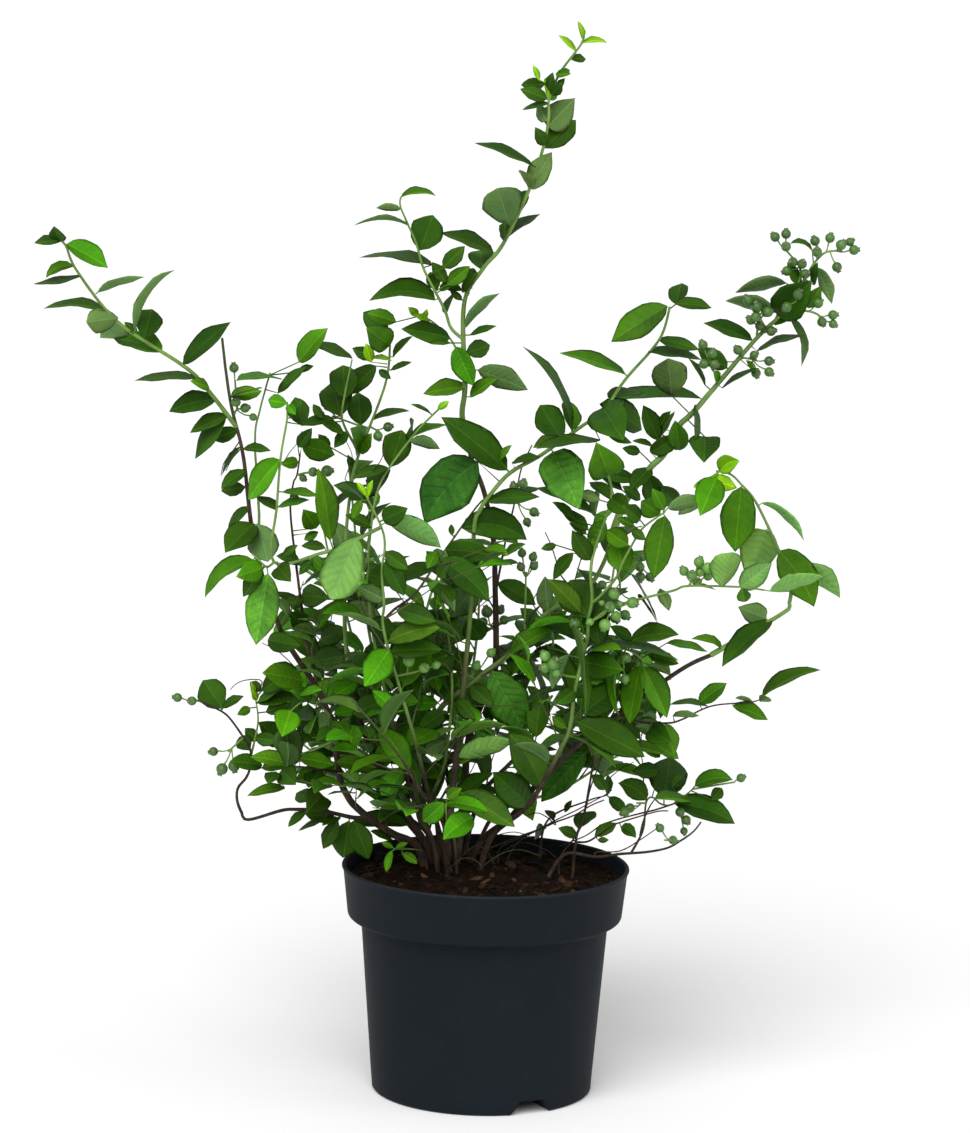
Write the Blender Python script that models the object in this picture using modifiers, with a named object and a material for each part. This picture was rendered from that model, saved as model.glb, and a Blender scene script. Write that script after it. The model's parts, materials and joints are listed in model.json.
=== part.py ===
"""A potted blueberry bush: a nursery pot filled with soil, canes, leafy shoots and trusses of green berries."""
import math

import bmesh
import bpy
import numpy as np
from mathutils import Vector
from mathutils.bvhtree import BVHTree

# Stems as seen: name, parent, kind, radius at root and tip (mm), depths along it (mm), path in picture points.
STEMS = [
    ("cane_left", None, "cane", 3.7, 2.1, (6, -20, -55),
     [(424, 858), (411, 846), (393, 834), (372, 820), (355, 806), (347, 795), (340, 778), (337, 755), (333, 730),
      (325, 705), (312, 680), (298, 660), (283, 635), (272, 610), (264, 585)]),
    ("cane_inner_left", None, "cane", 2.6, 1.5, (36, 50, 62),
     [(428, 858), (418, 840), (398, 812), (375, 785), (345, 745), (320, 690), (306, 640)]),
    ("stem_tall", None, "cane", 3.8, 2.0, (14, 22, 16, 20),
     [(456, 860), (461, 835), (463, 810), (464, 780), (467, 750), (474, 722), (484, 700), (491, 680), (496, 657),
      (496, 618), (495, 580), (494, 545), (490, 518), (485, 495), (478, 478), (472, 460), (468, 440)]),
    ("shoot_thick", None, "shoot", 3.4, 1.9, (24, -8, -14, 6, 30),
     [(436, 858), (426, 838), (419, 814), (417, 788), (415, 760), (417, 744), (426, 730), (438, 712), (449, 700),
      (464, 688), (479, 677), (490, 669), (500, 661), (512, 653), (530, 638), (541, 618), (556, 607), (575, 598),
      (592, 583), (604, 562), (611, 542)]),
    ("cane_right_low", None, "cane", 3.0, 1.8, (20, -30, -55),
     [(470, 861), (492, 842), (510, 818), (530, 792), (570, 752), (607, 722), (630, 706), (656, 687), (679, 671),
      (700, 661), (711, 655)]),
    ("twig_left", "cane_left", "shoot", 1.9, 0.9, (-55, -75),
     [(264, 585), (258, 560), (252, 530), (249, 500), (246, 478), (243, 455), (236, 430), (230, 400), (224, 352),
      (222, 338)]),
    ("shoot_far_left", "twig_left", "shoot", 1.4, 0.7, (-65, -100, -130),
     [(235, 427), (224, 412), (215, 400), (205, 388), (195, 378), (183, 366), (165, 355), (160, 350), (143, 339),
      (135, 332), (118, 322), (108, 311), (97, 296), (85, 281), (77, 271), (72, 262), (66, 246), (60, 240)]),
    ("twig_left_second", "twig_left", "shoot", 1.2, 0.7, (-58, -20, 20),
     [(254, 540), (259, 520), (257, 500), (255, 470), (255, 440), (258, 425), (260, 410), (265, 395), (268, 385),
      (270, 373)]),
    ("shoot_left", None, "shoot", 2.1, 0.8, (2, -60, -95, -100),
     [(446, 861), (437, 838), (430, 800), (415, 740), (400, 688), (394, 670), (389, 655), (385, 636), (384, 605),
      (382, 570), (385, 545), (381, 526), (374, 512), (367, 498)]),
    ("shoot_left_light", "shoot_left", "shoot", 1.5, 0.8, (-98, -118, -128),
     [(381, 527), (359, 537), (345, 545), (322, 553), (302, 556), (285, 559), (274, 562), (274, 548), (276, 530),
      (277, 505), (279, 480), (281, 455), (284, 435), (287, 420), (287, 402)]),
    ("spur_left", "shoot_left_light", "shoot", 1.0, 0.7, (-122, -124),
     [(274, 562), (267, 567), (260, 561), (252, 554)]),
    ("twig_inner_left", "cane_inner_left", "shoot", 1.4, 0.7, (62, 70),
     [(306, 640), (301, 605), (298, 570), (293, 540), (291, 520), (291, 500), (293, 485), (297, 475), (300, 455)]),
    ("shoot_inner_left", None, "shoot", 2.4, 0.8, (13, 30, 52, 60),
     [(432, 857), (424, 838), (400, 803), (375, 768), (356, 712), (345, 650), (343, 600), (345, 560), (346, 520),
      (350, 480), (355, 465), (357, 452), (362, 445), (368, 430), (372, 420), (378, 410), (384, 395), (386, 385),
      (389, 378), (391, 360), (390, 345)]),
    ("shoot_inner_second", "shoot_inner_left", "shoot", 1.2, 0.6, (48, 30, 20),
     [(357, 452), (350, 440), (343, 425), (342, 408), (346, 385), (352, 360)]),
    ("shoot_mid_left", None, "shoot", 2.2, 0.8, (-10, -30, -35, -30),
     [(438, 862), (430, 842), (412, 795), (392, 720), (376, 650), (369, 600), (368, 560), (372, 520), (378, 490),
      (390, 467), (400, 455), (410, 442), (418, 430), (430, 418), (440, 408)]),
    ("shoot_top", "stem_tall", "shoot", 1.9, 0.7, (20, 10, -5, -15),
     [(468, 440), (462, 415), (462, 400), (465, 385), (465, 370), (464, 345), (463, 325), (464, 305), (469, 292),
      (474, 283), (482, 270), (492, 258), (503, 244), (510, 228), (520, 208), (529, 190), (537, 170), (544, 145),
      (547, 130), (549, 115), (549, 100), (553, 90), (560, 73), (570, 59), (575, 52), (580, 46), (584, 36)]),
    ("shoot_top_left", "shoot_top", "shoot", 1.2, 0.6, (12, -8, -40),
     [(463, 340), (458, 334), (450, 328), (443, 308), (437, 297), (430, 282), (424, 270), (420, 256), (416, 243),
      (411, 230), (406, 218), (401, 208), (401, 197)]),
    ("shoot_young", "shoot_top", "shoot", 1.0, 0.6, (10, 40),
     [(466, 366), (458, 351), (450, 338), (440, 330), (430, 320), (418, 315)]),
    ("shoot_arching", None, "shoot", 2.3, 0.8, (-14, -36, -60, -105),
     [(450, 863), (447, 840), (452, 800), (454, 770), (457, 735), (461, 700), (465, 657), (470, 618), (472, 589),
      (474, 560), (474, 529), (480, 510), (490, 495), (500, 483), (510, 473), (525, 465), (541, 455), (560, 441),
      (570, 434), (585, 424), (597, 418), (605, 410), (612, 400), (617, 392), (625, 380), (635, 369), (643, 360),
      (653, 348), (659, 340), (663, 325), (667, 315), (670, 307)]),
    ("shoot_centre", None, "shoot", 1.8, 0.9, (8, -10, -20),
     [(444, 859), (436, 832), (431, 802), (437, 785), (444, 765), (448, 742), (451, 712), (452, 690), (451, 660),
      (448, 635)]),
    ("twig_centre", "shoot_left", "shoot", 1.1, 0.7, (-88, -55, -30),
     [(385, 620), (395, 609), (412, 597), (424, 582), (434, 567), (441, 556), (452, 541), (462, 527), (478, 505),
      (488, 499)]),
    ("twig_dark_centre", "stem_tall", "shoot", 1.1, 0.6, (18, 50, 60),
     [(496, 594), (499, 578), (503, 550), (508, 530), (513, 510), (515, 495), (521, 470), (526, 458), (532, 445)]),
    ("shoot_right", None, "shoot", 2.1, 0.8, (-4, -50, -70, -80),
     [(480, 864), (500, 838), (530, 803), (541, 785), (552, 765), (561, 748), (570, 727), (575, 690), (579, 675),
      (583, 662), (587, 640), (588, 620), (592, 600), (591, 578), (592, 560), (598, 540), (607, 517), (611, 500),
      (609, 485), (608, 475)]),
    ("shoot_right_top", "shoot_thick", "shoot", 1.9, 0.7, (30, 48, 56, 60),
     [(611, 542), (618, 518), (628, 497), (640, 481), (650, 468), (664, 454), (672, 440), (679, 426), (690, 415), (697, 408), (705, 397), (715, 385), (728, 370), (740, 357),
      (755, 340), (770, 325), (785, 310), (800, 285), (815, 262)]),
    ("shoot_right_mid", "shoot_right", "shoot", 1.3, 0.7, (-72, -90, -100),
     [(592, 603), (600, 597), (607, 588), (617, 577), (623, 562), (630, 548), (636, 538), (645, 526), (655, 519),
      (665, 512)]),
    ("shoot_right_tip", "cane_right_low", "shoot", 1.7, 0.6, (-55, -62, -72, -80),
     [(711, 655), (722, 650), (745, 636), (770, 621), (783, 613), (789, 604), (791, 590), (787, 570), (778, 550), (772, 534), (765, 520), (758, 506), (750, 495), (740, 483),
      (730, 474), (716, 471)]),
    ("shoot_right_light", "shoot_right", "shoot", 1.2, 0.7, (-66, -95, -135),
     [(588, 625), (605, 612), (625, 603), (649, 597), (672, 591), (688, 586), (700, 586), (718, 588), (740, 587),
      (764, 590)]),
    ("twig_right_thin", "cane_right_low", "shoot", 1.1, 0.5, (-40, -20, 0),
     [(607, 722), (622, 715), (640, 722), (668, 723), (683, 719), (693, 715), (703, 709), (712, 706), (725, 705),
      (740, 703), (752, 702), (762, 698)]),
    ("shoot_right_inner", "shoot_right", "shoot", 1.2, 0.7, (-66, -60, -55),
     [(583, 662), (592, 655), (605, 650), (620, 648), (632, 652), (643, 660)]),
    ("twig_low_right", None, "shoot", 1.3, 0.7, (10, 16, 24),
     [(573, 853), (578, 837), (583, 820), (586, 801), (590, 780), (592, 770), (592, 755), (588, 740), (580, 728)]),
    ("twig_low_right_thin", "twig_low_right", "shoot", 0.9, 0.5, (10, -30, -50),
     [(577, 842), (590, 841), (597, 836), (612, 826), (622, 822), (640, 816), (655, 812), (668, 811)]),
    ("twig_back_right", None, "shoot", 1.1, 0.5, (62, 55, 45),
     [(540, 832), (552, 821), (572, 808), (590, 800), (606, 795), (609, 783)]),
    ("twig_over_rim", None, "shoot", 1.3, 0.5, (0, -10, -40),
     [(548, 862), (575, 859), (596, 857), (620, 854), (646, 852), (667, 848), (680, 841), (693, 832), (701, 822)]),
    ("shoot_low_right", "twig_over_rim", "shoot", 1.0, 0.6, (-12, 8, 10),
     [(631, 853), (638, 842), (643, 830), (645, 815), (646, 803), (652, 797), (661, 804), (673, 804), (686, 796),
      (693, 789)]),
    ("twig_low_left", "cane_left", "shoot", 1.8, 0.7, (-6, -30, -60),
     [(366, 817), (354, 819), (340, 816), (323, 812), (296, 810), (281, 811), (265, 816), (248, 820), (241, 812),
      (237, 800), (238, 788), (246, 778), (250, 768), (251, 755), (248, 745), (240, 735), (232, 721), (221, 711),
      (206, 703), (197, 700)]),
    ("shoot_low_left", "cane_left", "shoot", 1.3, 0.7, (-14, -50, -75),
     [(339, 772), (325, 769), (312, 768), (300, 767), (288, 769), (276, 776), (268, 783)]),
    ("shoot_mid_left_low", "cane_left", "shoot", 1.2, 0.6, (-18, 10, 30),
     [(336, 740), (322, 747), (308, 752), (298, 753), (290, 747), (282, 737), (275, 728)]),
    ("shoot_left_cluster", "twig_low_left", "shoot", 1.0, 0.6, (-45, -30, -25),
     [(251, 756), (255, 740), (258, 722), (257, 708), (255, 696)]),
    ("shoot_left_bright", "cane_left", "shoot", 1.2, 0.6, (-30, -80, -100),
     [(334, 733), (330, 716), (320, 706), (310, 701), (300, 703), (291, 711)]),
    ("shoot_front_low", None, "shoot", 1.2, 0.6, (-22, -60, -80),
     [(457, 865), (452, 845), (447, 822), (446, 804)]),
    ("sprig_front", None, "shoot", 1.1, 0.6, (-8, -30, -48),
     [(427, 861), (419, 855), (407, 851), (394, 849)]),
]

# Shoots that only the back and the inside of the bush have: they fill its depth behind the leaves in view.
BACK_STEMS = [
    ("shoot_back_left", None, "shoot", 2.2, 0.8, (40, 100, 155, 190),
     [(440, 855), (425, 800), (390, 730), (362, 670), (345, 610), (330, 560), (320, 510)]),
    ("shoot_back_mid", None, "shoot", 2.2, 0.8, (44, 110, 170, 205),
     [(452, 855), (450, 800), (440, 740), (430, 680), (425, 620), (440, 570), (455, 535)]),
    ("shoot_back_right", None, "shoot", 2.2, 0.8, (40, 110, 175, 215),
     [(464, 856), (490, 800), (530, 740), (560, 690), (590, 640), (610, 590), (618, 530)]),
    ("shoot_back_low_right", None, "shoot", 1.8, 0.8, (34, 105, 160),
     [(474, 857), (510, 820), (560, 790), (610, 760), (650, 740)]),
    ("shoot_back_low_left", None, "shoot", 1.8, 0.8, (31, 95, 150),
     [(430, 853), (400, 820), (360, 790), (320, 760), (285, 730)]),
    ("shoot_back_high", None, "shoot", 2.2, 0.8, (47, 72, 92, 104),
     [(447, 853), (456, 790), (466, 720), (476, 650), (482, 600), (480, 550)]),
    ("shoot_back_inner", None, "shoot", 2.0, 0.8, (46, 72, 92, 84),
     [(436, 852), (405, 790), (385, 720), (372, 650), (360, 580), (352, 510), (348, 455)]),
    ("shoot_front_mid", None, "shoot", 1.8, 0.7, (-20, -90, -120),
     [(448, 866), (440, 830), (420, 790), (395, 750), (370, 720), (352, 700)]),
]

# Leaves as seen: stem they grow from, then for each the blade's base, tip, apparent width and tone, and
# where it bows to one side, how far its middle stands off the straight line.
LEAVES = {
    "shoot_far_left": [
        (61, 241, 34, 243, 10, "D"), (61, 241, 54, 226, 14, "D"), (67, 244, 108, 268, 20, "B"),
        (73, 266, 46, 278, 10, "M", -4, -7), (81, 276, 33, 284, 7, "D", 0, 3), (98, 292, 145, 277, 8, "G"),
        (108, 311, 43, 309, 9, "M", 0, -8), (118, 322, 100, 338, 32, "G"), (135, 331, 175, 270, 8, "G", -9, -12),
        (144, 338, 152, 309, 26, "D"), (137, 334, 124, 322, 8, "D"), (162, 352, 112, 337, 12, "M"),
        (183, 364, 231, 322, 18, "D"), (196, 378, 134, 381, 9, "D"), (209, 388, 190, 381, 8, "M"),
        (216, 400, 169, 412, 20, "D", -2, -4), (228, 416, 190, 433, 20, "D"), (226, 417, 195, 459, 16, "D"),
    ],
    "twig_left": [
        (230, 398, 263, 388, 12, "M"), (245, 487, 221, 491, 14, "D"), (250, 508, 229, 540, 9, "D", -5, -2),
        (240, 447, 222, 475, 5, "D"), (254, 524, 225, 553, 26, "D"), (258, 524, 268, 562, 30, "G"),
    ],
    "twig_left_second": [
        (281, 379, 236, 381, 7, "M", 0, -4), (278, 393, 307, 366, 10, "D"), (299, 362, 328, 328, 20, "M"),
    ],
    "shoot_left_light": [
        (287, 403, 268, 400, 14, "B"), (288, 405, 296, 415, 10, "B"), (303, 425, 295, 397, 20, "D"),
        (280, 460, 248, 500, 30, "B"), (277, 510, 256, 496, 10, "D"), (278, 507, 310, 500, 8, "M"),
        (283, 492, 320, 497, 8, "M"), (278, 567, 291, 582, 20, "D"),
        (357, 537, 331, 600, 42, "P"), (330, 540, 318, 468, 26, "G"), (283, 556, 298, 545, 8, "D"),
        (325, 548, 301, 546, 10, "D"), (312, 556, 326, 572, 12, "M"),
    ],
    "shoot_left": [
        (389, 521, 441, 548, 22, "P", 3, -4), (383, 520, 408, 508, 20, "D"), (389, 650, 364, 687, 28, "B"),
        (366, 496, 356, 482, 6, "L"), (368, 496, 373, 480, 6, "L"), (389, 641, 441, 628, 22, "M", 0, -6),
        (390, 652, 443, 650, 20, "D"), (397, 712, 372, 690, 16, "B"), (410, 745, 436, 730, 22, "M"),
        (385, 600, 356, 585, 18, "G"), (386, 560, 404, 596, 20, "D"), (385, 552, 409, 570, 16, "D"),
    ],
    "twig_inner_left": [
        (316, 528, 303, 509, 18, "M"), (318, 532, 304, 540, 9, "M"), (299, 500, 289, 492, 6, "D"),
        (302, 595, 330, 598, 22, "D"), (306, 628, 288, 612, 18, "D"), (304, 600, 284, 606, 8, "D"),
        (302, 445, 335, 455, 22, "M"), (298, 462, 280, 464, 12, "M"),
    ],
    "shoot_inner_left": [
        (388, 330, 363, 312, 20, "D"), (390, 345, 366, 328, 26, "M"), (393, 357, 413, 336, 7, "D"),
        (391, 370, 412, 362, 6, "D"), (372, 420, 410, 411, 7, "D"), (361, 425, 358, 392, 24, "D"),
        (371, 362, 366, 343, 11, "L"), (357, 452, 350, 428, 16, "M"), (357, 452, 372, 433, 16, "M"),
        (372, 502, 333, 485, 16, "D"), (345, 606, 384, 621, 20, "G"), (347, 560, 333, 520, 18, "G"),
        (345, 655, 312, 662, 26, "D"), (346, 630, 320, 640, 20, "D"), (350, 682, 303, 702, 15, "B"), (353, 700, 336, 704, 12, "M"),
    ],
    "shoot_inner_second": [
        (341, 416, 332, 382, 32, "D"), (345, 398, 343, 365, 28, "D"), (352, 358, 305, 342, 10, "D"),
        (335, 422, 300, 426, 10, "D"), (346, 432, 334, 448, 12, "D"),
    ],
    "spur_left": [
        (253, 560, 205, 598, 15, "M", -9, -8), (262, 568, 236, 577, 22, "B"), (268, 574, 256, 645, 32, "M"),
        (262, 570, 243, 597, 16, "D"),
    ],
    "shoot_mid_left": [
        (438, 409, 449, 401, 7, "L"), (430, 413, 410, 404, 4, "D"), (413, 437, 414, 420, 16, "D"),
        (413, 436, 448, 425, 8, "M"), (410, 441, 440, 449, 12, "G"), (390, 467, 402, 430, 28, "D"),
        (388, 468, 352, 478, 11, "D"), (390, 470, 366, 495, 14, "D"), (369, 560, 340, 578, 20, "G"),
        (370, 575, 404, 583, 24, "D"), (371, 620, 398, 640, 22, "D"), (379, 660, 350, 668, 22, "D"),
        (392, 712, 420, 690, 22, "D"), (386, 700, 352, 714, 24, "D"), (399, 745, 372, 760, 22, "M"),
        (404, 770, 382, 800, 22, "B"),
    ],
    "shoot_top": [
        (582, 38, 578, 21, 6, "L"), (582, 43, 607, 43, 6, "L", 2, -4), (576, 51, 558, 35, 6, "L"),
        (571, 59, 586, 59, 5, "D"), (562, 72, 570, 70, 4, "M"), (556, 74, 571, 74, 5, "M"),
        (539, 80, 533, 65, 6, "L"), (547, 99, 520, 89, 14, "D"), (549, 100, 548, 78, 12, "B"),
        (552, 95, 562, 82, 8, "D"), (549, 103, 522, 110, 6, "D"), (548, 127, 575, 98, 28, "G"),
        (545, 148, 576, 120, 24, "D"), (533, 166, 474, 143, 9, "D"), (529, 189, 552, 152, 22, "G"),
        (510, 225, 497, 188, 38, "G"), (512, 222, 526, 190, 14, "D"), (503, 240, 541, 214, 12, "D"),
        (504, 240, 506, 222, 9, "D"), (493, 252, 440, 233, 14, "D"), (483, 270, 480, 250, 24, "M"),
        (466, 285, 474, 268, 14, "D"), (462, 290, 442, 288, 8, "D"), (466, 327, 500, 293, 10, "G"),
        (470, 335, 497, 326, 7, "D"), (456, 347, 474, 386, 22, "B"), (466, 353, 490, 345, 18, "D"),
        (478, 370, 528, 390, 22, "G"), (470, 397, 498, 378, 12, "M"), (466, 387, 423, 394, 16, "M"), (472, 446, 490, 458, 12, "M"),
        (450, 343, 430, 344, 6, "D"),
    ],
    "shoot_young": [(418, 315, 408, 307, 8, "L"), (450, 338, 401, 329, 14, "D"), (437, 328, 444, 344, 8, "M")],
    "shoot_top_left": [
        (401, 197, 436, 196, 7, "M", 0, -7), (401, 209, 376, 208, 8, "G"), (408, 225, 353, 226, 10, "G", 4, -10),
        (420, 250, 433, 215, 32, "D"), (432, 265, 358, 258, 9, "D", 0, -9), (443, 268, 465, 246, 16, "D"),
        (435, 300, 369, 301, 18, "D", 6, -16), (437, 290, 430, 272, 14, "D"), (446, 314, 456, 291, 7, "D"),
    ],
    "shoot_arching": [
        (667, 306, 611, 342, 28, "M"), (676, 304, 712, 308, 12, "D"), (676, 304, 682, 283, 18, "D"),
        (659, 340, 700, 350, 12, "M"), (648, 352, 702, 360, 10, "D"), (625, 374, 559, 353, 13, "M"),
        (608, 397, 645, 392, 10, "D"),
        (603, 408, 624, 441, 40, "O"), (562, 440, 540, 405, 28, "D"), (572, 432, 522, 346, 15, "D", 14, -4),
        (570, 440, 533, 448, 13, "O"), (553, 452, 580, 510, 42, "M"), (478, 462, 425, 524, 52, "D"),
        (507, 470, 441, 417, 30, "O"), (462, 528, 527, 540, 27, "D", 0, -18), (487, 501, 540, 497, 15, "D"),
        (512, 463, 540, 457, 8, "D"), (470, 592, 450, 618, 30, "G"),
        (468, 618, 482, 640, 18, "D"), (459, 757, 514, 741, 20, "P"),
        (458, 700, 476, 720, 16, "D"), (455, 765, 474, 745, 16, "M"), (461, 793, 515, 827, 26, "O"),
    ],
    "shoot_centre": [
        (445, 712, 418, 728, 20, "D"), (447, 740, 424, 752, 18, "G"), (451, 700, 430, 676, 18, "D"),
        (451, 668, 474, 652, 18, "D"), (440, 778, 420, 765, 14, "M"), (447, 655, 420, 664, 18, "M"),
    ],
    "twig_centre": [
        (440, 560, 489, 602, 28, "O", 6, -6), (445, 550, 494, 557, 26, "D", 0, -6), (438, 568, 386, 587, 14, "D"),
        (436, 552, 427, 569, 14, "M"), (397, 610, 437, 622, 20, "D"), (452, 535, 451, 524, 6, "D"),
        (432, 580, 455, 612, 14, "G"), (430, 584, 442, 594, 10, "D"),
    ],
    "twig_dark_centre": [(503, 556, 526, 544, 8, "M"), (498, 583, 536, 605, 20, "D"), (515, 495, 540, 488, 8, "D")],
    "shoot_thick": [
        (492, 671, 524, 730, 38, "B"), (524, 648, 551, 720, 15, "D"), (438, 703, 400, 706, 16, "B"),
        (548, 612, 545, 576, 16, "G"), (417, 770, 398, 790, 18, "D"), (418, 745, 396, 728, 20, "M"),
        (425, 730, 448, 738, 18, "D"), (470, 686, 494, 706, 18, "D"), (540, 624, 520, 608, 14, "D"),
    ],
    "shoot_right": [
        (609, 475, 596, 442, 34, "M"), (572, 626, 585, 716, 15, "O"),
        (583, 714, 620, 684, 28, "D"), (583, 662, 624, 670, 28, "D"), (588, 618, 570, 580, 38, "O"),
        (541, 788, 508, 733, 32, "M", 8, -6),
        (577, 722, 645, 757, 32, "O"), (530, 806, 493, 772, 32, "D"), (568, 655, 552, 690, 14, "G"), (575, 690, 556, 704, 16, "D"),
        (590, 560, 572, 530, 18, "D"), (611, 498, 632, 515, 20, "D"), (588, 530, 560, 510, 12, "D"),
        (590, 545, 605, 520, 18, "M"), (600, 500, 578, 492, 12, "G"),
    ],
    "shoot_right_top": [
        (786, 283, 735, 293, 13, "G"), (775, 312, 725, 301, 14, "M"), (752, 340, 703, 323, 14, "D"),
        (727, 368, 697, 348, 18, "M"), (757, 351, 806, 336, 7, "M"), (790, 318, 801, 367, 8, "M"),
        (818, 268, 832, 304, 14, "M"), (812, 250, 790, 244, 6, "M"), (705, 385, 688, 358, 7, "M"),
        (722, 388, 760, 368, 8, "M"), (778, 315, 812, 280, 34, "M"), (775, 325, 795, 310, 12, "D"),
        (695, 405, 695, 440, 7, "D"), (705, 437, 704, 463, 34, "D"), (658, 440, 643, 405, 18, "D"),
        (658, 440, 675, 411, 8, "M"), (650, 452, 680, 435, 18, "D"), (680, 450, 675, 420, 20, "M"),
        (648, 474, 658, 505, 22, "D"), (662, 486, 674, 504, 20, "D"), (650, 468, 630, 490, 14, "D"), (672, 396, 668, 358, 34, "G"), (700, 398, 602, 402, 12, "D"),
        (640, 452, 622, 448, 10, "D"), (635, 480, 600, 475, 14, "D"),
    ],
    "shoot_right_mid": [
        (665, 516, 654, 579, 28, "M"), (660, 514, 641, 501, 22, "M"), (668, 508, 705, 499, 14, "G"),
        (664, 510, 652, 488, 14, "M"), (632, 575, 658, 624, 10, "D"), (623, 572, 617, 538, 26, "M"),
        (632, 530, 646, 540, 10, "D"), (628, 545, 606, 530, 20, "M"),
        (640, 520, 622, 505, 16, "D"),
    ],
    "shoot_right_tip": [
        (720, 472, 740, 461, 18, "L", -2, -8), (708, 478, 737, 488, 16, "L"), (716, 478, 700, 516, 28, "B"),
        (706, 484, 693, 487, 9, "L"), (741, 487, 735, 552, 34, "B"), (762, 503, 804, 541, 10, "M", 4, -9),
        (779, 551, 814, 607, 34, "M", 6, -5), (795, 570, 840, 598, 20, "M", 5, -9), (772, 620, 722, 667, 20, "D"),
        (766, 618, 738, 607, 22, "G"), (722, 649, 691, 639, 8, "M", 5, -5), (702, 498, 678, 515, 14, "G"),
        (766, 530, 747, 580, 36, "P"),
    ],
    "shoot_right_light": [
        (722, 587, 732, 552, 28, "P"), (660, 589, 669, 611, 12, "G"), (770, 591, 824, 576, 15, "P"),
        (740, 587, 772, 563, 22, "P"), (742, 588, 745, 602, 14, "M"), (700, 586, 716, 590, 8, "M"),
    ],
    "twig_right_thin": [
        (699, 703, 727, 683, 16, "M"), (733, 706, 768, 720, 14, "M"), (762, 697, 821, 670, 13, "M", -6, -6),
        (752, 701, 735, 698, 5, "G"), (760, 701, 770, 698, 9, "G"), (707, 706, 669, 705, 6, "M", 0, -5),
        (673, 716, 700, 716, 7, "G"), (660, 724, 634, 727, 12, "G"), (650, 729, 672, 743, 22, "D"),
        (665, 724, 674, 756, 12, "M"),
    ],
    "shoot_right_inner": [
        (592, 647, 680, 661, 9, "D", 0, -8), (631, 641, 679, 635, 18, "D", 0, -6), (667, 643, 708, 652, 8, "M"),
        (648, 655, 679, 664, 14, "D"), (643, 667, 667, 718, 24, "B"), (641, 666, 630, 725, 24, "M"),
        (632, 640, 610, 626, 12, "D"),
    ],
    "twig_low_right": [
        (586, 752, 541, 802, 28, "D"), (592, 775, 606, 790, 12, "D"), (590, 752, 612, 765, 26, "D"), (592, 765, 575, 742, 20, "D"),
        (578, 828, 594, 811, 15, "D"),
    ],
    "twig_low_right_thin": [(595, 836, 617, 823, 12, "D"), (621, 827, 636, 838, 12, "D", 3, -4),
                            (598, 840, 609, 840, 6, "D")],
    "twig_back_right": [(545, 828, 535, 838, 10, "D"), (565, 812, 572, 800, 6, "D"), (553, 820, 546, 810, 8, "D"),
                         (609, 797, 627, 812, 12, "D")],
    "shoot_low_right": [
        (664, 797, 671, 757, 38, "D"), (660, 770, 632, 771, 16, "D"), (646, 800, 618, 783, 20, "D", 6, -6),
        (674, 803, 735, 824, 24, "D", 4, -6), (695, 786, 733, 780, 15, "G", 0, -8), (712, 800, 722, 788, 16, "G"),
        (672, 787, 682, 776, 12, "D"),
    ],
    "twig_low_left": [
        (222, 708, 203, 680, 28, "D"), (223, 708, 244, 696, 9, "D"), (250, 750, 239, 737, 20, "D"),
        (306, 812, 288, 827, 9, "D"), (325, 819, 298, 831, 6, "D"), (338, 821, 323, 849, 16, "D"),
        (349, 821, 343, 858, 26, "D"), (354, 822, 369, 860, 22, "D"), (312, 800, 296, 793, 16, "D"),
        (322, 795, 306, 813, 26, "O"), (340, 818, 322, 826, 10, "D"),
    ],
    "shoot_low_left": [
        (290, 764, 250, 757, 15, "M"), (299, 758, 335, 765, 16, "M"), (325, 775, 294, 782, 20, "M"),
        (285, 788, 247, 796, 10, "M"), (282, 770, 296, 785, 22, "D"), (276, 772, 268, 784, 14, "D"),
        (337, 762, 375, 768, 16, "M"), (318, 770, 308, 788, 18, "D"),
    ],
    "shoot_mid_left_low": [
        (280, 742, 258, 722, 22, "D"), (328, 742, 311, 748, 12, "M"),
        (308, 752, 334, 754, 10, "D"), (303, 730, 318, 742, 16, "D"),
    ],
    "shoot_left_cluster": [
        (258, 702, 298, 676, 10, "M"), (258, 703, 298, 697, 18, "D"), (254, 696, 251, 682, 6, "L"),
        (250, 708, 237, 715, 9, "M"), (256, 738, 280, 741, 14, "D"), (262, 690, 294, 672, 18, "D"), (257, 700, 252, 690, 5, "L"),
    ],
    "shoot_left_bright": [
        (290, 711, 282, 737, 26, "B"), (308, 704, 300, 720, 20, "D"), (322, 708, 310, 734, 20, "M"), (312, 698, 290, 690, 14, "D"),
        (330, 716, 322, 735, 18, "O"),
    ],
    "shoot_front_low": [(444, 803, 423, 822, 20, "B"), (448, 803, 489, 812, 15, "B", 0, -4),
                        (473, 818, 443, 840, 19, "B", -5, -3), (447, 797, 462, 788, 12, "M")],
    "sprig_front": [(393, 848, 381, 842, 6, "B"), (392, 851, 386, 873, 8, "B"), (402, 853, 418, 864, 9, "B"),
                    (396, 848, 408, 843, 6, "B")],
}

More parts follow.
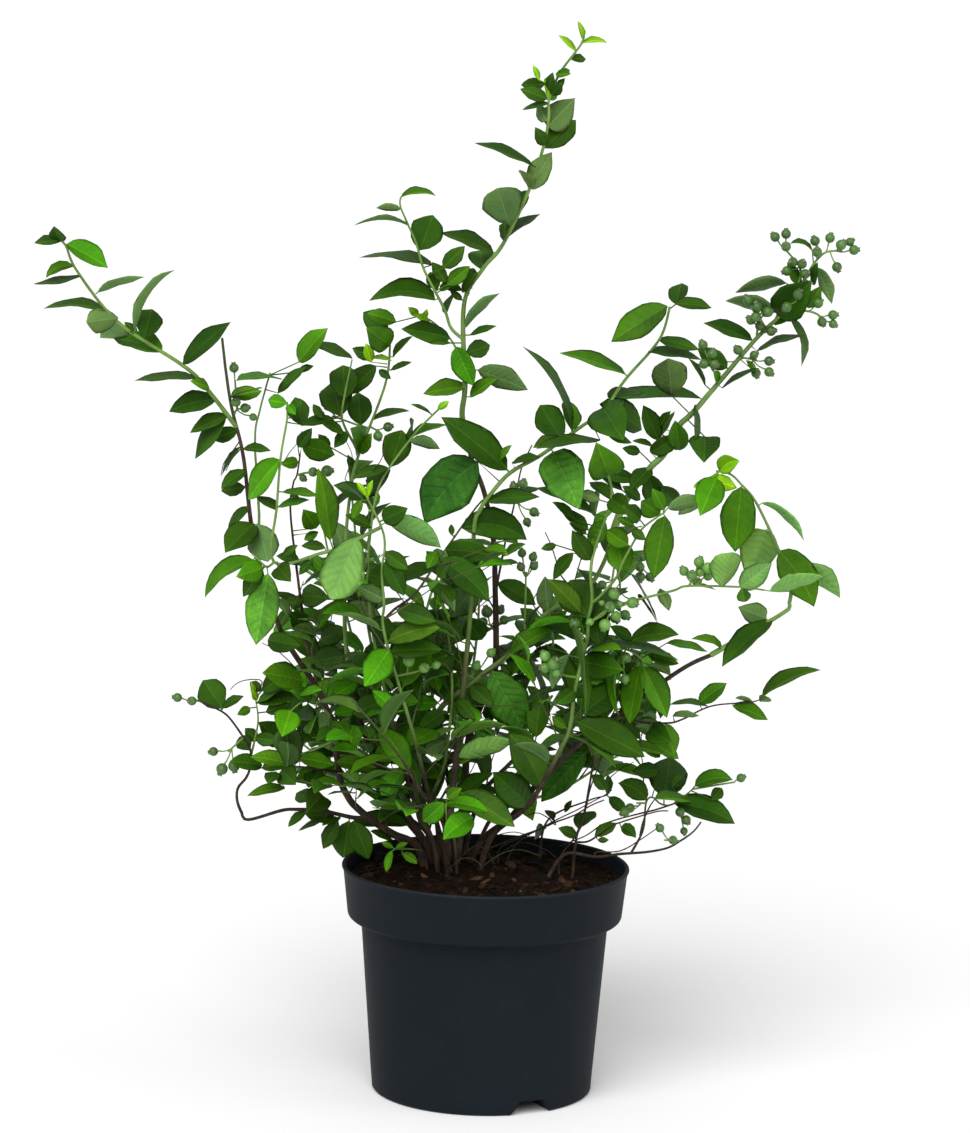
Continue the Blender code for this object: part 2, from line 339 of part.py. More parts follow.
# Berry trusses: name, stem, where the truss leaves it, its heart, and the berries with their radius in points.
TRUSSES = [
    ("berries_far_left", "twig_left", (235, 415), (237, 408),
     [(234, 368, 5), (236, 402, 5), (245, 408, 5), (253, 417, 4)]),
    ("berries_inner_left", "shoot_inner_left", (345, 420), (332, 416), [(320, 415, 5), (328, 406, 5)]),
    ("berries_mid_left", "shoot_inner_left", (374, 428), (380, 432), [(378, 436, 5), (388, 427, 5)]),
    ("berries_left_small", "twig_inner_left", (297, 475), (305, 473), [(303, 478, 4), (313, 472, 5), (327, 471, 6)]),
    ("berries_centre", "shoot_thick", (523, 641), (526, 572),
     [(522, 553, 4.6), (533, 557, 4.6), (521, 567, 4.6), (534, 566, 4.6)]),
    ("berries_upper_centre", "twig_dark_centre", (514, 500), (520, 505),
     [(514, 487, 5), (523, 484, 5), (534, 512, 5), (527, 522, 4.5)]),
    ("berries_stem", "stem_tall", (496, 632), (490, 625), [(487, 612, 6), (483, 622, 5), (500, 610, 5), (504, 620, 5)]),
    ("berries_light", "shoot_thick", (476, 679), (464, 674),
     [(463, 662, 6.5), (476, 666, 5), (491, 653, 5), (452, 665, 5.5)]),
    ("berries_light_left", "shoot_left", (396, 676), (415, 672),
     [(409, 661, 6), (424, 668, 5.5), (436, 665, 4.6)]),
    ("berries_ribbed", "shoot_thick", (548, 612), (553, 640), [(551, 662, 10)]),
    ("berries_right_mid", "shoot_thick", (612, 540), (620, 588),
     [(613, 595, 6), (609, 607, 5.5), (618, 605, 4.5), (615, 618, 5.5), (604, 626, 6), (633, 602, 5.5),
      (602, 585, 5), (625, 615, 5.5), (601, 603, 4.5)]),
    ("berries_dark_mid", "shoot_thick", (618, 518), (638, 560),
     [(643, 557, 4.6), (640, 567, 5), (640, 577, 5.5), (650, 577, 5)]),
    ("berries_low_mid", "shoot_right", (587, 640), (580, 634), [(575, 624, 6)]),
    ("berries_pair_right", "shoot_right_inner", (620, 648), (624, 668), [(626, 657, 5), (625, 679, 5)]),
    ("berries_light_right", "shoot_right_light", (689, 586), (694, 577),
     [(684, 571, 5), (692, 575, 5), (699, 562, 5.5), (708, 568, 6), (700, 572, 5), (697, 582, 5), (708, 576, 5)]),
    ("berries_top_right", "shoot_right_top", (797, 290), (800, 268),
     [(775, 237, 5), (786, 234, 5), (786, 246.5, 5.2), (787, 271, 5.2), (793, 262, 5), (802, 264, 5),
      (805, 274, 5.2)]),
    ("berries_top_far_right", "shoot_right_top", (813, 265), (826, 252),
     [(830, 238, 5), (841, 245, 5.5), (815, 241, 5), (854, 250, 5.2), (837, 267, 5.2), (817, 252, 5.2),
      (850, 242, 4.6)]),
    ("berries_upper_right", "shoot_right_top", (786, 309), (812, 312),
     [(818, 303, 5.5), (833, 315, 5), (822, 322, 5), (833, 324, 4.6), (798, 296, 5.8), (788, 309, 5)]),
    ("berries_upper_mid", "shoot_right_top", (757, 339), (758, 318),
     [(748, 300, 5), (756, 308, 5), (766, 312, 5.5), (751, 320, 5), (760, 326, 5), (771, 331, 5.2)]),
    ("berries_right_pair", "shoot_right_top", (740, 357), (757, 360),
     [(738, 350, 5), (754, 355, 4.6), (769, 361, 5), (769, 372, 5), (756, 373, 5), (712, 358, 5)]),
    ("berries_low_right", "twig_over_rim", (680, 841), (664, 840),
     [(660, 828, 4.6), (673, 840, 4.6)]),
    ("berries_low_right_upper", "shoot_low_right", (676, 804), (680, 808),
     [(680, 812, 5), (686, 820, 5), (684, 831, 4)]),
    ("berries_low_mid_right", "shoot_low_right", (645, 803), (636, 803), [(630, 808, 5), (625, 812, 5)]),
    ("berries_right_end", "shoot_low_right", (693, 789), (735, 782), [(741, 778, 4.6)]),
    ("berries_low_left", "twig_low_left", (243, 738), (228, 752), [(213.5, 751.5, 4.8), (222, 769, 6), (234, 766, 6)]),
    ("berries_low_far_left", "twig_low_left", (200, 701), (188, 698), [(177.5, 697.5, 4.8), (192, 701, 4.8)]),
]

# Side stems that are one piece with the stem they leave.
SIDE_STEMS = {
    "shoot_young": "shoot_top",
    "twig_low_right_thin": "twig_low_right",
    "shoot_left_cluster": "twig_low_left",
    "twig_left_second": "twig_left",
    "spur_left": "shoot_left_light",
    "shoot_inner_second": "shoot_inner_left",
}

# The thick of the foliage in the picture, and the open gaps in it: leaves set by rule keep to the one and
# out of the other.
THICKET = [
    (268, 600), (262, 560), (300, 556), (330, 560), (338, 480), (372, 440), (400, 470), (396, 560), (440, 540),
    (520, 540), (520, 600), (560, 600), (600, 470), (640, 470), (650, 570), (632, 640), (676, 650), (672, 760),
    (640, 790), (560, 770), (530, 830), (470, 830), (440, 845), (400, 830), (350, 850), (320, 812), (290, 790),
    (262, 740), (262, 700), (290, 668), (268, 640),
]
OPEN_GAPS = [
    (425, 530, 14), (405, 545, 8), (357, 520, 9), (375, 540, 10), (530, 590, 14), (545, 560, 16), (512, 600, 10),
    (480, 650, 12), (345, 625, 8), (365, 632, 10), (300, 645, 8), (480, 775, 6), (440, 785, 6), (505, 755, 9),
    (395, 825, 12), (430, 760, 6), (545, 735, 6), (560, 810, 12), (535, 690, 5), (640, 610, 8), (600, 570, 8),
    (300, 740, 6), (388, 752, 5), (610, 760, 4),
]
FILLERS = [
    ("shoot_inner_left", 0.16, 0.62, 9), ("shoot_mid_left", 0.12, 0.7, 8), ("shoot_left", 0.12, 0.5, 5),
    ("shoot_centre", 0.2, 1.0, 6), ("shoot_arching", 0.06, 0.4, 6), ("shoot_right", 0.2, 0.75, 6),
    ("shoot_right_inner", 0.2, 1.0, 3), ("twig_low_right", 0.45, 1.0, 4), ("twig_inner_left", 0.1, 0.5, 3),
    ("shoot_low_left", 0.1, 0.8, 3), ("shoot_mid_left_low", 0.2, 0.9, 3),
    ("shoot_back_left", 0.2, 1.0, 12), ("shoot_back_mid", 0.2, 1.0, 12), ("shoot_back_right", 0.2, 1.0, 12),
    ("shoot_back_low_right", 0.25, 1.0, 8), ("shoot_back_low_left", 0.25, 1.0, 8), ("shoot_front_mid", 0.3, 1.0, 6),
    ("shoot_back_high", 0.2, 1.0, 10), ("shoot_back_inner", 0.2, 1.0, 11),
]

MM = 0.001
UP = Vector((0.0, 0.0, 1.0))

# The photograph's view: where its middle lies, its focal length in points, and how the camera stood.
VIEW_CENTRE = (485.0, 566.5)
VIEW_FOCAL = 4400.0
VIEW_PITCH = math.radians(8.86)
VIEW_ROLL = math.radians(1.2)
VIEW_STAND = Vector((-0.0054, -3.38, 0.9436))

# Pot sizes.
POT_HEIGHT = 0.180
RIM_RADIUS = 0.113
COLLAR_HEIGHT = 0.042
COLLAR_RADIUS = 0.108
BODY_TOP_RADIUS = 0.0974
BASE_RADIUS = 0.0865
WALL = 0.0018
GAP = 0.0003
SOIL_EDGE = 0.168
SOIL_CROWN = 0.177
CROWN_CENTRE = (-0.030, 0.014)
ROOT_DEPTH = 0.030

LEAF_RATIO = 0.50
LEAF_LONGEST = 0.060
BLADE = 0.0008
STALK_HALF = 0.00045
RING_FROM = 0.006
SMALL_LEAF = 0.029


def photo_ray(px, py):
    """Direction, from the camera, of a picture point."""
    u = px - VIEW_CENTRE[0]
    v = py - VIEW_CENTRE[1]
    across = u * math.cos(VIEW_ROLL) + v * math.sin(VIEW_ROLL)
    rise = u * math.sin(VIEW_ROLL) - v * math.cos(VIEW_ROLL)
    sine = math.sin(VIEW_PITCH)
    cosine = math.cos(VIEW_PITCH)
    return Vector((across, VIEW_FOCAL * cosine + rise * sine, -VIEW_FOCAL * sine + rise * cosine)).normalized()


def photo_point(px, py, depth):
    """The point at this depth behind the pot's axis that shows at a picture point."""
    ray = photo_ray(px, py)
    return VIEW_STAND + ray * ((depth - VIEW_STAND.y) / ray.y)


def point_scale(place):
    """Metres that one picture point spans at a place."""
    return (place - VIEW_STAND).length / VIEW_FOCAL


def draw(*seed):
    """A repeatable number from 0 to 1 for a named thing."""
    total = 17.0
    for item in seed:
        text = str(item)
        for place, letter in enumerate(text):
            total += math.sin(total * 12.9898 + ord(letter) * (78.233 + place)) * 43.7585
    return abs(math.sin(total * 91.17) * 4371.33) % 1.0


def soil_height(x, y):
    """Top of the soil: mounded to the crown, with small lumps."""
    reach = math.hypot(x - CROWN_CENTRE[0], y - CROWN_CENTRE[1]) / 0.085
    mound = max(0.0, 1.0 - reach * reach)
    edge = max(0.0, min(1.0, (0.104 - math.hypot(x, y)) / 0.02))
    lumps = math.sin(x * 171.0 + 1.3) * math.cos(y * 143.0 - 0.4) + 0.6 * math.sin(x * 310.0 - y * 270.0)
    return SOIL_EDGE + (SOIL_CROWN - SOIL_EDGE) * mound + 0.0011 * lumps * edge


def mix_depth(depths, share):
    place = share * (len(depths) - 1)
    low = min(int(place), len(depths) - 2)
    return depths[low] + (depths[low + 1] - depths[low]) * (place - low)


def nearest_on_path(path, px, py):
    """Place on a picture path, as a vertex number and a share, nearest to a picture point."""
    best = (1e9, 0, 0.0)
    for index in range(len(path) - 1):
        ax, ay = path[index]
        bx, by = path[index + 1]
        dx = bx - ax
        dy = by - ay
        share = ((px - ax) * dx + (py - ay) * dy) / max(dx * dx + dy * dy, 1e-9)
        share = min(1.0, max(0.0, share))
        away = math.hypot(ax + dx * share - px, ay + dy * share - py)
        if away < best[0]:
            best = (away, index, share)
    return best


def to_picture(place):
    """Picture point at which a place shows."""
    sine = math.sin(VIEW_PITCH)
    cosine = math.cos(VIEW_PITCH)
    off = place - VIEW_STAND
    forward = off.y * cosine - off.z * sine
    rise = (off.y * sine + off.z * cosine) / forward * VIEW_FOCAL
    across = off.x / forward * VIEW_FOCAL
    u = across * math.cos(VIEW_ROLL) + rise * math.sin(VIEW_ROLL)
    v = across * math.sin(VIEW_ROLL) - rise * math.cos(VIEW_ROLL)
    return VIEW_CENTRE[0] + u, VIEW_CENTRE[1] + v


class Stem:
    """A cane, shoot or twig: its line in space, its radii, and the picture path it follows."""

    def __init__(self, row, order):
        self.name, self.parent, self.kind, self.thick, self.thin, self.depths, self.path = row
        self.node = SIDE_STEMS.get(self.name, self.name)
        self.order = order
        self.points = []
        self.radii = []

    def radius_at(self, share):
        return (self.thick + (self.thin - self.thick) * share ** 0.8) * MM

    def inside(self, index, share):
        """Like at, but never nearer than 2 mm to either end of the stem's own solid."""
        place, around = self.at(index, share)
        lead = getattr(self, "lead", 0.0) + 0.002
        if (place - self.points[-1]).length < 0.002:
            place = self.points[-1] - self.direction(len(self.points)) * 0.002
        if self.parent is not None and (place - self.points[0]).length < lead:
            length = (self.points[1] - self.points[0]).length
            if length > lead:
                place = self.points[0] + self.direction(0) * lead
            else:
                place = self.points[1] + self.direction(1) * max(0.0, lead - length)
        return place, around

    def at(self, index, share):
        index = min(index, len(self.points) - 2)
        place = self.points[index].lerp(self.points[index + 1], share)
        return place, self.radii[index] * (1 - share) + self.radii[index + 1] * share

    def direction(self, index):
        index = min(index, len(self.points) - 2)
        return (self.points[index + 1] - self.points[index]).normalized()

    def near(self, px, py):
        """The place on the finished stem that shows nearest to a picture point."""
        seen = [to_picture(point) for point in self.points]
        away, index, share = nearest_on_path(seen, px, py)
        return away, index, share


def segment_gap(a0, a1, b0, b1):
    """Shortest distances between every segment a and every segment b, with the nearest points on both."""
    d1 = (a1 - a0)[:, None, :]
    d2 = (b1 - b0)[None, :, :]
    r = a0[:, None, :] - b0[None, :, :]
    a = np.sum(d1 * d1, axis=2) + 1e-12
    e = np.sum(d2 * d2, axis=2) + 1e-12
    f = np.sum(d2 * r, axis=2)
    c = np.sum(d1 * r, axis=2)
    b = np.sum(d1 * d2, axis=2)
    across = a * e - b * b
    s = np.clip(np.where(across > 1e-12, (b * f - c * e) / np.maximum(across, 1e-12), 0.0), 0.0, 1.0)
    t = (b * s + f) / e
    t_in = np.clip(t, 0.0, 1.0)
    s = np.where(t != t_in, np.clip((b * t_in - c) / a, 0.0, 1.0), s)
    pa = a0[:, None, :] + d1 * s[:, :, None]
    pb = b0[None, :, :] + d2 * t_in[:, :, None]
    return np.linalg.norm(pa - pb, axis=2), pa, pb, s


def lay_stem(stem, stems):
    """Give a stem its line in space, bent clear along the line of sight of those already laid."""
    lengths = [0.0]
    for index in range(1, len(stem.path)):
        ax, ay = stem.path[index - 1]
        bx, by = stem.path[index]
        lengths.append(lengths[-1] + math.hypot(bx - ax, by - ay))
    total = lengths[-1]
    raw = []
    for (px, py), length in zip(stem.path, lengths):
        raw.append(photo_point(px, py, mix_depth(stem.depths, length / total) * MM))
    parent = stems.get(stem.parent)
    if parent is not None:
        away, index, share = parent.near(*stem.path[0])
        start, around = parent.at(index, share)
        ends = index >= len(parent.points) - 2 and share > 0.97
        stem.tip_joint = ends
        shift = start - raw[0]
        for number in range(len(raw)):
            fade = max(0.0, 1.0 - lengths[number] / max(total * 0.6, 1.0))
            raw[number] = raw[number] + shift * fade
        raw[0] = start
    else:
        stem.tip_joint = False
        foot = raw[0]
        foot.z = soil_height(foot.x, foot.y)
        raw[0] = foot
        raw[1] = raw[1].lerp(foot + UP * (raw[1] - foot).length, 0.35)
        around = 0.0
    dense = [raw[0]]
    for index in range(1, len(raw)):
        step = (raw[index] - raw[index - 1]).length
        cuts = max(1, int(math.ceil(step / 0.016)))
        for cut in range(1, cuts + 1):
            dense.append(raw[index - 1].lerp(raw[index], cut / cuts))
    line = np.array([tuple(point) for point in dense])
    walked = np.concatenate([[0.0], np.cumsum(np.linalg.norm(np.diff(line, axis=0), axis=1))])
    shares = walked / walked[-1]
    radii = np.array([stem.radius_at(share) for share in shares])
    firm = np.clip((walked - around - 0.004) / 0.03, 0.0, 1.0)
    if parent is None:
        firm = np.clip(walked / 0.045, 0.0, 1.0)
    firm[0] = 0.0
    starts = []
    ends = []
    thick = []
    own = []
    for other in stems.values():
        if not other.points:
            continue
        spots = np.array([tuple(point) for point in other.points])
        starts.append(spots[:-1])
        ends.append(spots[1:])
        thick.append(np.maximum(other.radii[:-1], other.radii[1:]))
        own.append(np.full(len(spots) - 1, other is parent))
    if starts:
        starts = np.concatenate(starts)
        ends = np.concatenate(ends)
        thick = np.concatenate(thick)
        own = np.concatenate(own)
        for turn in range(60):
            gap, pa, pb, s = segment_gap(line[:-1], line[1:], starts, ends)
            mine = np.maximum(radii[:-1], radii[1:])
            need = mine[:, None] + thick[None, :] + 0.0013
            lack = need - gap
            joint = walked[1:] < around + 0.022
            lack[np.ix_(joint, own)] = -1.0
            worst = np.argmax(lack, axis=1)
            rows = np.arange(len(worst))
            amount = lack[rows, worst]
            if np.max(amount) < 0.0:
                break
            moves = np.zeros_like(line)
            for row in np.nonzero(amount > 0.0)[0]:
                off = pa[row, worst[row]] - pb[row, worst[row]]
                middle = Vector(line[row])
                sight = (middle - VIEW_STAND).normalized()
                side = off[0] * sight.x + off[1] * sight.y + off[2] * sight.z
                sign = 1.0 if side > 0.0 else -1.0
                if abs(side) < 0.0002:
                    sign = 1.0 if stem.order % 2 else -1.0
                push = np.array(tuple(sight)) * sign * amount[row] * 0.7
                away = off / max(np.linalg.norm(off), 1e-6) * amount[row] * 0.15
                for place, weight in ((row - 2, 0.2), (row - 1, 0.6), (row, 1.0), (row + 1, 1.0), (row + 2, 0.6),
                                      (row + 3, 0.2)):
                    if 0 <= place < len(line):
                        moves[place] += (push + away) * weight
            size = np.linalg.norm(moves, axis=1)
            cap = np.minimum(1.0, 0.004 / np.maximum(size, 1e-9))
            line += moves * (cap * firm)[:, None]
            smooth = line.copy()
            smooth[1:-1] = line[1:-1] * 0.9 + (line[:-2] + line[2:]) * 0.05
            line = line + (smooth - line) * firm[:, None]
    for index in range(1, len(line)):
        x, y, z = line[index]
        out = math.hypot(x, y)
        if out < 0.104:
            line[index][2] = max(z, soil_height(x, y) + radii[index] + 0.0016)
        elif out < 0.122:
            line[index][2] = max(z, POT_HEIGHT + radii[index] + 0.0012)
    keep = simplify(line, 0.0012)
    stem.points = [Vector(line[index]) for index in keep]
    stem.radii = np.array([radii[index] for index in keep])


def simplify(line, slack):
    """Vertices that a line keeps so that it strays no more than slack."""
    keep = [0, len(line) - 1]
    todo = [(0, len(line) - 1)]
    while todo:
        low, high = todo.pop()
        if high - low < 2:
            continue
        a = line[low]
        b = line[high]
        along = (b - a) / max(np.linalg.norm(b - a), 1e-9)
        between = line[low + 1:high] - a
        off = np.linalg.norm(between - np.outer(between @ along, along), axis=1)
        far = int(np.argmax(off))
        if off[far] > slack:
            middle = low + 1 + far
            keep.append(middle)
            todo.append((low, middle))
            todo.append((middle, high))
    return sorted(set(keep))


def joint_line(stem, parent):
    """A stem's vertices, with its end face set just off the parent that carries it."""
    points = [point.copy() for point in stem.points]
    radii = list(stem.radii)
    if parent is None:
        foot = points[0].copy()
        foot.z = foot.z - ROOT_DEPTH
        level = points[0].copy()
        level.z = level.z + 0.0015
        points = [foot, level] + points[1:]
        radii = [radii[0], radii[0]] + radii[1:]
        return points, radii
    away, index, share = parent.near(*to_picture(points[0]))
    start, around = parent.at(index, share)
    course = (points[1] - points[0]).normalized()
    lean = parent.direction(index)
    slope = max(0.30, course.cross(lean).length)
    if stem.tip_joint:
        reach = GAP
    else:
        reach = (around + GAP + 0.0001 + radii[0] * abs(course.dot(lean))) / slope
    length = (points[1] - points[0]).length
    while reach > length - 0.001 and len(points) > 2:
        reach -= length
        points.pop(0)
        radii.pop(0)
        course = (points[1] - points[0]).normalized()
        length = (points[1] - points[0]).length
        reach = max(reach, 0.0)
    points[0] = points[0] + course * reach
    return points, radii


def lay_stems(rows):
    stems = {}
    for order, row in enumerate(rows):
        stem = Stem(row, order)
        lay_stem(stem, stems)
        stems[stem.name] = stem
    return stems


def strip(near, far):
    """Triangles between two rows of one, two or three corners."""
    if len(near) == 1:
        return [(near[0], far[place + 1], far[place]) for place in range(len(far) - 1)]
    if len(far) == 1:
        return [(near[place], near[place + 1], far[0]) for place in range(len(near) - 1)]
    if len(near) == len(far):
        faces = []
        for place in range(len(near) - 1):
            faces.append((near[place], near[place + 1], far[place + 1]))
            faces.append((near[place], far[place + 1], far[place]))
        return faces
    if len(near) < len(far):
        return [(near[0], near[1], far[1]), (near[0], far[1], far[0]), (near[1], far[2], far[1])]
    return [(near[0], near[1], far[0]), (near[1], far[1], far[0]), (near[1], near[2], far[1])]


class Leaf:
    """One blade: the stem it grows from, its middle line, its widths and the way it faces."""

    def __init__(self, stem, root, base, tip, facing, width, bow, tone, fold=0.22):
        self.stem = stem
        self.root = root
        self.base = base
        self.tip = tip
        self.facing = facing
        self.width = width
        self.bow = bow
        self.tone = tone
        self.fold = fold
        self.length = (tip - base).length

    def middle(self, share):
        control = (self.base + self.tip) * 0.5 + self.bow * 2.0
        return (self.base * (1 - share) ** 2 + control * (2 * share * (1 - share)) + self.tip * share ** 2)

    def course(self, share):
        control = (self.base + self.tip) * 0.5 + self.bow * 2.0
        return ((control - self.base) * (1 - share) + (self.tip - control) * share).normalized()

    def frame(self, share):
        """Middle point, sideways and upward directions at a share of the blade."""
        along = self.course(share)
        side = along.cross(self.facing)
        if side.length < 1e-4:
            side = along.orthogonal()
        side.normalize()
        return self.middle(share), side, side.cross(along).normalized()

    def stations(self):
        length = max(self.length, (self.middle(0.5) - self.base).length * 2)
        if length < 0.032:
            return (0.45,)
        return (0.28, 0.66)

    def ribbed(self):
        """Only the longest blades show their fold along the rib in the plain solid."""
        return self.length > 0.054

    def blade(self, grow=0.0, skip_root=False):
        """Vertices and triangles of the plain blade, grown a little all round where asked."""
        half_thick = BLADE * 0.5 + grow
        rings = []
        along = self.base - self.root
        if along.length < 0.002:
            along = self.course(0.0)
        along.normalize()
        side = along.cross(self.facing)
        if side.length < 1e-3:
            side = along.orthogonal()
        side.normalize()
        rise = side.cross(along).normalized()
        if skip_root:
            place, side, rise = self.frame(0.12)
            rings.append((place - self.course(0.12) * 0.001, side, rise, 0.0))
            rings.append((place, side, rise, self.half(0.12) + grow))
        else:
            rings.append((self.root, side, rise, STALK_HALF + grow))
            if (self.base - self.root).length > RING_FROM:
                place, side, rise = self.frame(0.0)
                rings.append((place, side, rise, STALK_HALF + grow))
        for share in self.stations():
            place, side, rise = self.frame(share)
            rings.append((place, side, rise, self.half(share) * 1.04 + grow))
        place, side, rise = self.frame(1.0)
        rings.append((place + self.course(1.0) * grow, side, rise, 0.0))
        ribbed = self.ribbed()
        vertices = [rings[-1][0]]
        sheets = []
        for face in (1.0, -1.0):
            row = []
            for place, side, rise, half in rings:
                thick = rise * (face * half_thick)
                first = len(vertices)
                if place is rings[-1][0]:
                    row.append((0, 0, 0))
                    continue
                if half == 0.0:
                    vertices.append(place + thick)
                    row.append((first, first, first))
                    continue
                lift = rise * (half * self.fold if half > 0.003 and ribbed else 0.0)
                vertices.append(place - side * half + lift + thick)
                if ribbed and half > 0.003:
                    vertices.append(place + thick)
                    middle = first + 1
                else:
                    middle = None
                vertices.append(place + side * half + lift + thick)
                row.append((first, middle, len(vertices) - 1))
            sheets.append(row)
        faces = []
        for row, turned_over in ((sheets[0], False), (sheets[1], True)):
            for (l0, m0, r0), (l1, m1, r1) in zip(row[:-1], row[1:]):
                near = [l0] if l0 == r0 else [l0, r0] if m0 is None else [l0, m0, r0]
                far = [l1] if l1 == r1 else [l1, r1] if m1 is None else [l1, m1, r1]
                for a, b, c in strip(near, far):
                    faces.append((a, c, b) if turned_over else (a, b, c))
        top, low = sheets
        outline = [(entry[0], other[0]) for entry, other in zip(top, low)]
        outline += [(entry[2], other[2]) for entry, other in zip(reversed(top), reversed(low))
                    if entry[0] != entry[2]]
        for index in range(len(outline)):
            a, b = outline[index]
            c, d = outline[(index + 1) % len(outline)]
            if c != d:
                faces.append((a, c, d))
            if a != b:
                faces.append((a, d, b))
        return vertices, faces

    def half(self, share):
        """Half the blade's width at a share of its length: widest near the middle, pointed at both ends."""
        return 0.5 * self.width * (4.0 * share * (1.0 - share)) ** 0.72 * (1.06 - 0.14 * share)


def view_leaf(stem, spec, number, turn):
    """A leaf that shows at the given picture points, varied by (lean, roll, swell) for clearance."""
    bx, by, tx, ty, width, tone = spec[:6]
    sway = spec[6:8] if len(spec) > 6 else (0, 0)
    lean_more, roll_more, scale = turn
    away, index, share = stem.near(bx, by)
    root, around = stem.inside(index, share)
    size = point_scale(root)
    base_depth = root.y
    seen_length = math.hypot(tx - bx, ty - by) * size
    seen_width = width * size
    full = max(seen_length, seen_width / LEAF_RATIO * 0.94)
    full = min(full, max(LEAF_LONGEST, seen_length))
    lean = math.acos(min(1.0, seen_length / full))
    lean = math.copysign(min(lean, math.radians(62)), 1.0)
    droops = ty > by - 4
    sign = -1.0 if droops else 1.0
    if stem.depths[-1] > 20:
        sign = -sign
    if draw(stem.name, number, "lean") < 0.25:
        sign = -sign
    lean = lean * sign + math.radians(lean_more) + math.radians(10.0 * (draw(stem.name, number, "tilt") - 0.5))
    reach = min(away * size, 0.03)
    base = photo_point(bx, by, base_depth + 0.35 * reach * math.sin(lean))
    ray = photo_ray(tx, ty)
    tip = photo_point(tx, ty, base.y + seen_length * math.tan(max(-1.12, min(1.12, lean))) * 1.0)
    along = tip - base
    length = along.length
    along.normalize()
    true_width = min(max(seen_width, LEAF_RATIO * length), 0.62 * length)
    if length > 0.048:
        true_width = min(max(seen_width, 0.44 * length), 0.6 * length)
    to_eye = (VIEW_STAND - base).normalized()
    flat = (to_eye - along * to_eye.dot(along)).normalized()
    cross = along.cross(flat).normalized()
    ratio = min(1.0, seen_width / true_width)
    roll = math.acos(ratio) + math.radians(roll_more)
    if cross.z < 0 or (abs(cross.z) < 0.15 and draw(stem.name, number, "roll") < 0.5):
        cross = -cross
    facing = flat * math.cos(roll) + cross * math.sin(roll)
    if tone in "GP":
        facing = cross * math.sin(roll) - flat * math.cos(roll)
    if facing.z < -0.35 and tone not in "GP":
        facing = flat * math.cos(roll) - cross * math.sin(roll)
    if scale < 1.0:
        tip = base.lerp(tip, scale)
        true_width *= scale
        length *= scale
    bow = facing * (0.055 * length)
    if sway[0] or sway[1]:
        mx = (bx + tx) * 0.5 + sway[0]
        my = (by + ty) * 0.5 + sway[1]
        bow = photo_point(mx, my, (base.y + tip.y) * 0.5) - (base + tip) * 0.5 + facing * (0.02 * length)
    return Leaf(stem, root, base, tip, facing.normalized(), true_width, bow, tone)


def grown_leaf(stem, place_share, number, turn, tone):
    """A leaf set by rule: each a golden turn round the stem from the last, rising and arching out."""
    lean_more, roll_more, scale = turn
    count = len(stem.points) - 1
    place = place_share * count
    index = min(int(place), count - 1)
    root, around = stem.at(index, place - index)
    along = stem.direction(index)
    first = along.orthogonal().normalized()
    second = along.cross(first).normalized()
    angle = number * 2.399963 + stem.order * 0.7 + math.radians(roll_more)
    outward = first * math.cos(angle) + second * math.sin(angle)
    pitch = math.radians(52 + 26 * draw(stem.name, number, "pitch") + lean_more * 0.6)
    course = (along * math.cos(pitch) + outward * math.sin(pitch)).normalized()
    course.z -= 0.12
    course.normalize()
    length = (0.036 + 0.016 * draw(stem.name, number, "long")) * scale
    base = root + course * (around + 0.0035)
    tip = base + course * length
    side = course.cross(UP)
    if side.length < 0.2:
        side = course.cross(outward)
    facing = side.normalized().cross(course).normalized()
    tilt = math.radians(50.0 * (draw(stem.name, number, "tilt") - 0.5))
    facing = (facing * math.cos(tilt) + side.normalized() * math.sin(tilt)).normalized()
    bow = facing * (0.07 * length)
    return Leaf(stem, root, base, tip, facing, 0.48 * length, bow, tone)


def box_of(vertices):
    spots = np.array([tuple(vertex) for vertex in vertices])
    return spots.min(axis=0), spots.max(axis=0)


class Crowd:
    """Everything already in place, so that a newcomer can be tested against it."""

    def __init__(self):
        self.trees = []
        self.lows = []
        self.highs = []
        self.owners = []

    def add(self, vertices, faces, owner):
        low, high = box_of(vertices)
        self.trees.append(BVHTree.FromPolygons(vertices, faces))
        self.lows.append(low)
        self.highs.append(high)
        self.owners.append(owner)

    def pack(self):
        self.low_array = np.array(self.lows)
        self.high_array = np.array(self.highs)

    def hits(self, vertices, faces, allow=None):
        """How many things in place the newcomer meets, leaving out the node named in allow."""
        low, high = box_of(vertices)
        if len(self.lows) != len(getattr(self, "low_array", ())):
            self.pack()
        near = np.all(self.low_array <= high, axis=1) & np.all(self.high_array >= low, axis=1)
        picks = np.nonzero(near)[0]
        if not len(picks):
            return 0
        tree = BVHTree.FromPolygons(vertices, faces)
        found = 0
        for pick in picks:
            if allow is not None and self.owners[pick] == allow:
                continue
            if tree.overlap(self.trees[pick]):
                return 1
        return found


def tube_mesh(points, radii, sides=6, grow=0.0):
    """Plain tube round a line, for clearance tests."""
    vertices = []
    faces = []
    reference = None
    for index, point in enumerate(points):
        before = points[max(0, index - 1)]
        after = points[min(len(points) - 1, index + 1)]
        along = (after - before).normalized()
        if reference is None:
            reference = along.orthogonal().normalized()
        reference = (reference - along * reference.dot(along)).normalized()
        other = along.cross(reference)
        for side in range(sides):
            angle = 2 * math.pi * side / sides
            spread = reference * math.cos(angle) + other * math.sin(angle)
            vertices.append(point + spread * (radii[index] + grow))
    for index in range(len(points) - 1):
        for side in range(sides):
            a = index * sides + side
            b = index * sides + (side + 1) % sides
            faces.append((a, b, b + sides))
            faces.append((a, b + sides, a + sides))
    last = len(vertices) - sides
    for side in range(1, sides - 1):
        faces.append((0, side + 1, side))
        faces.append((last, last + side, last + side + 1))
    return vertices, faces


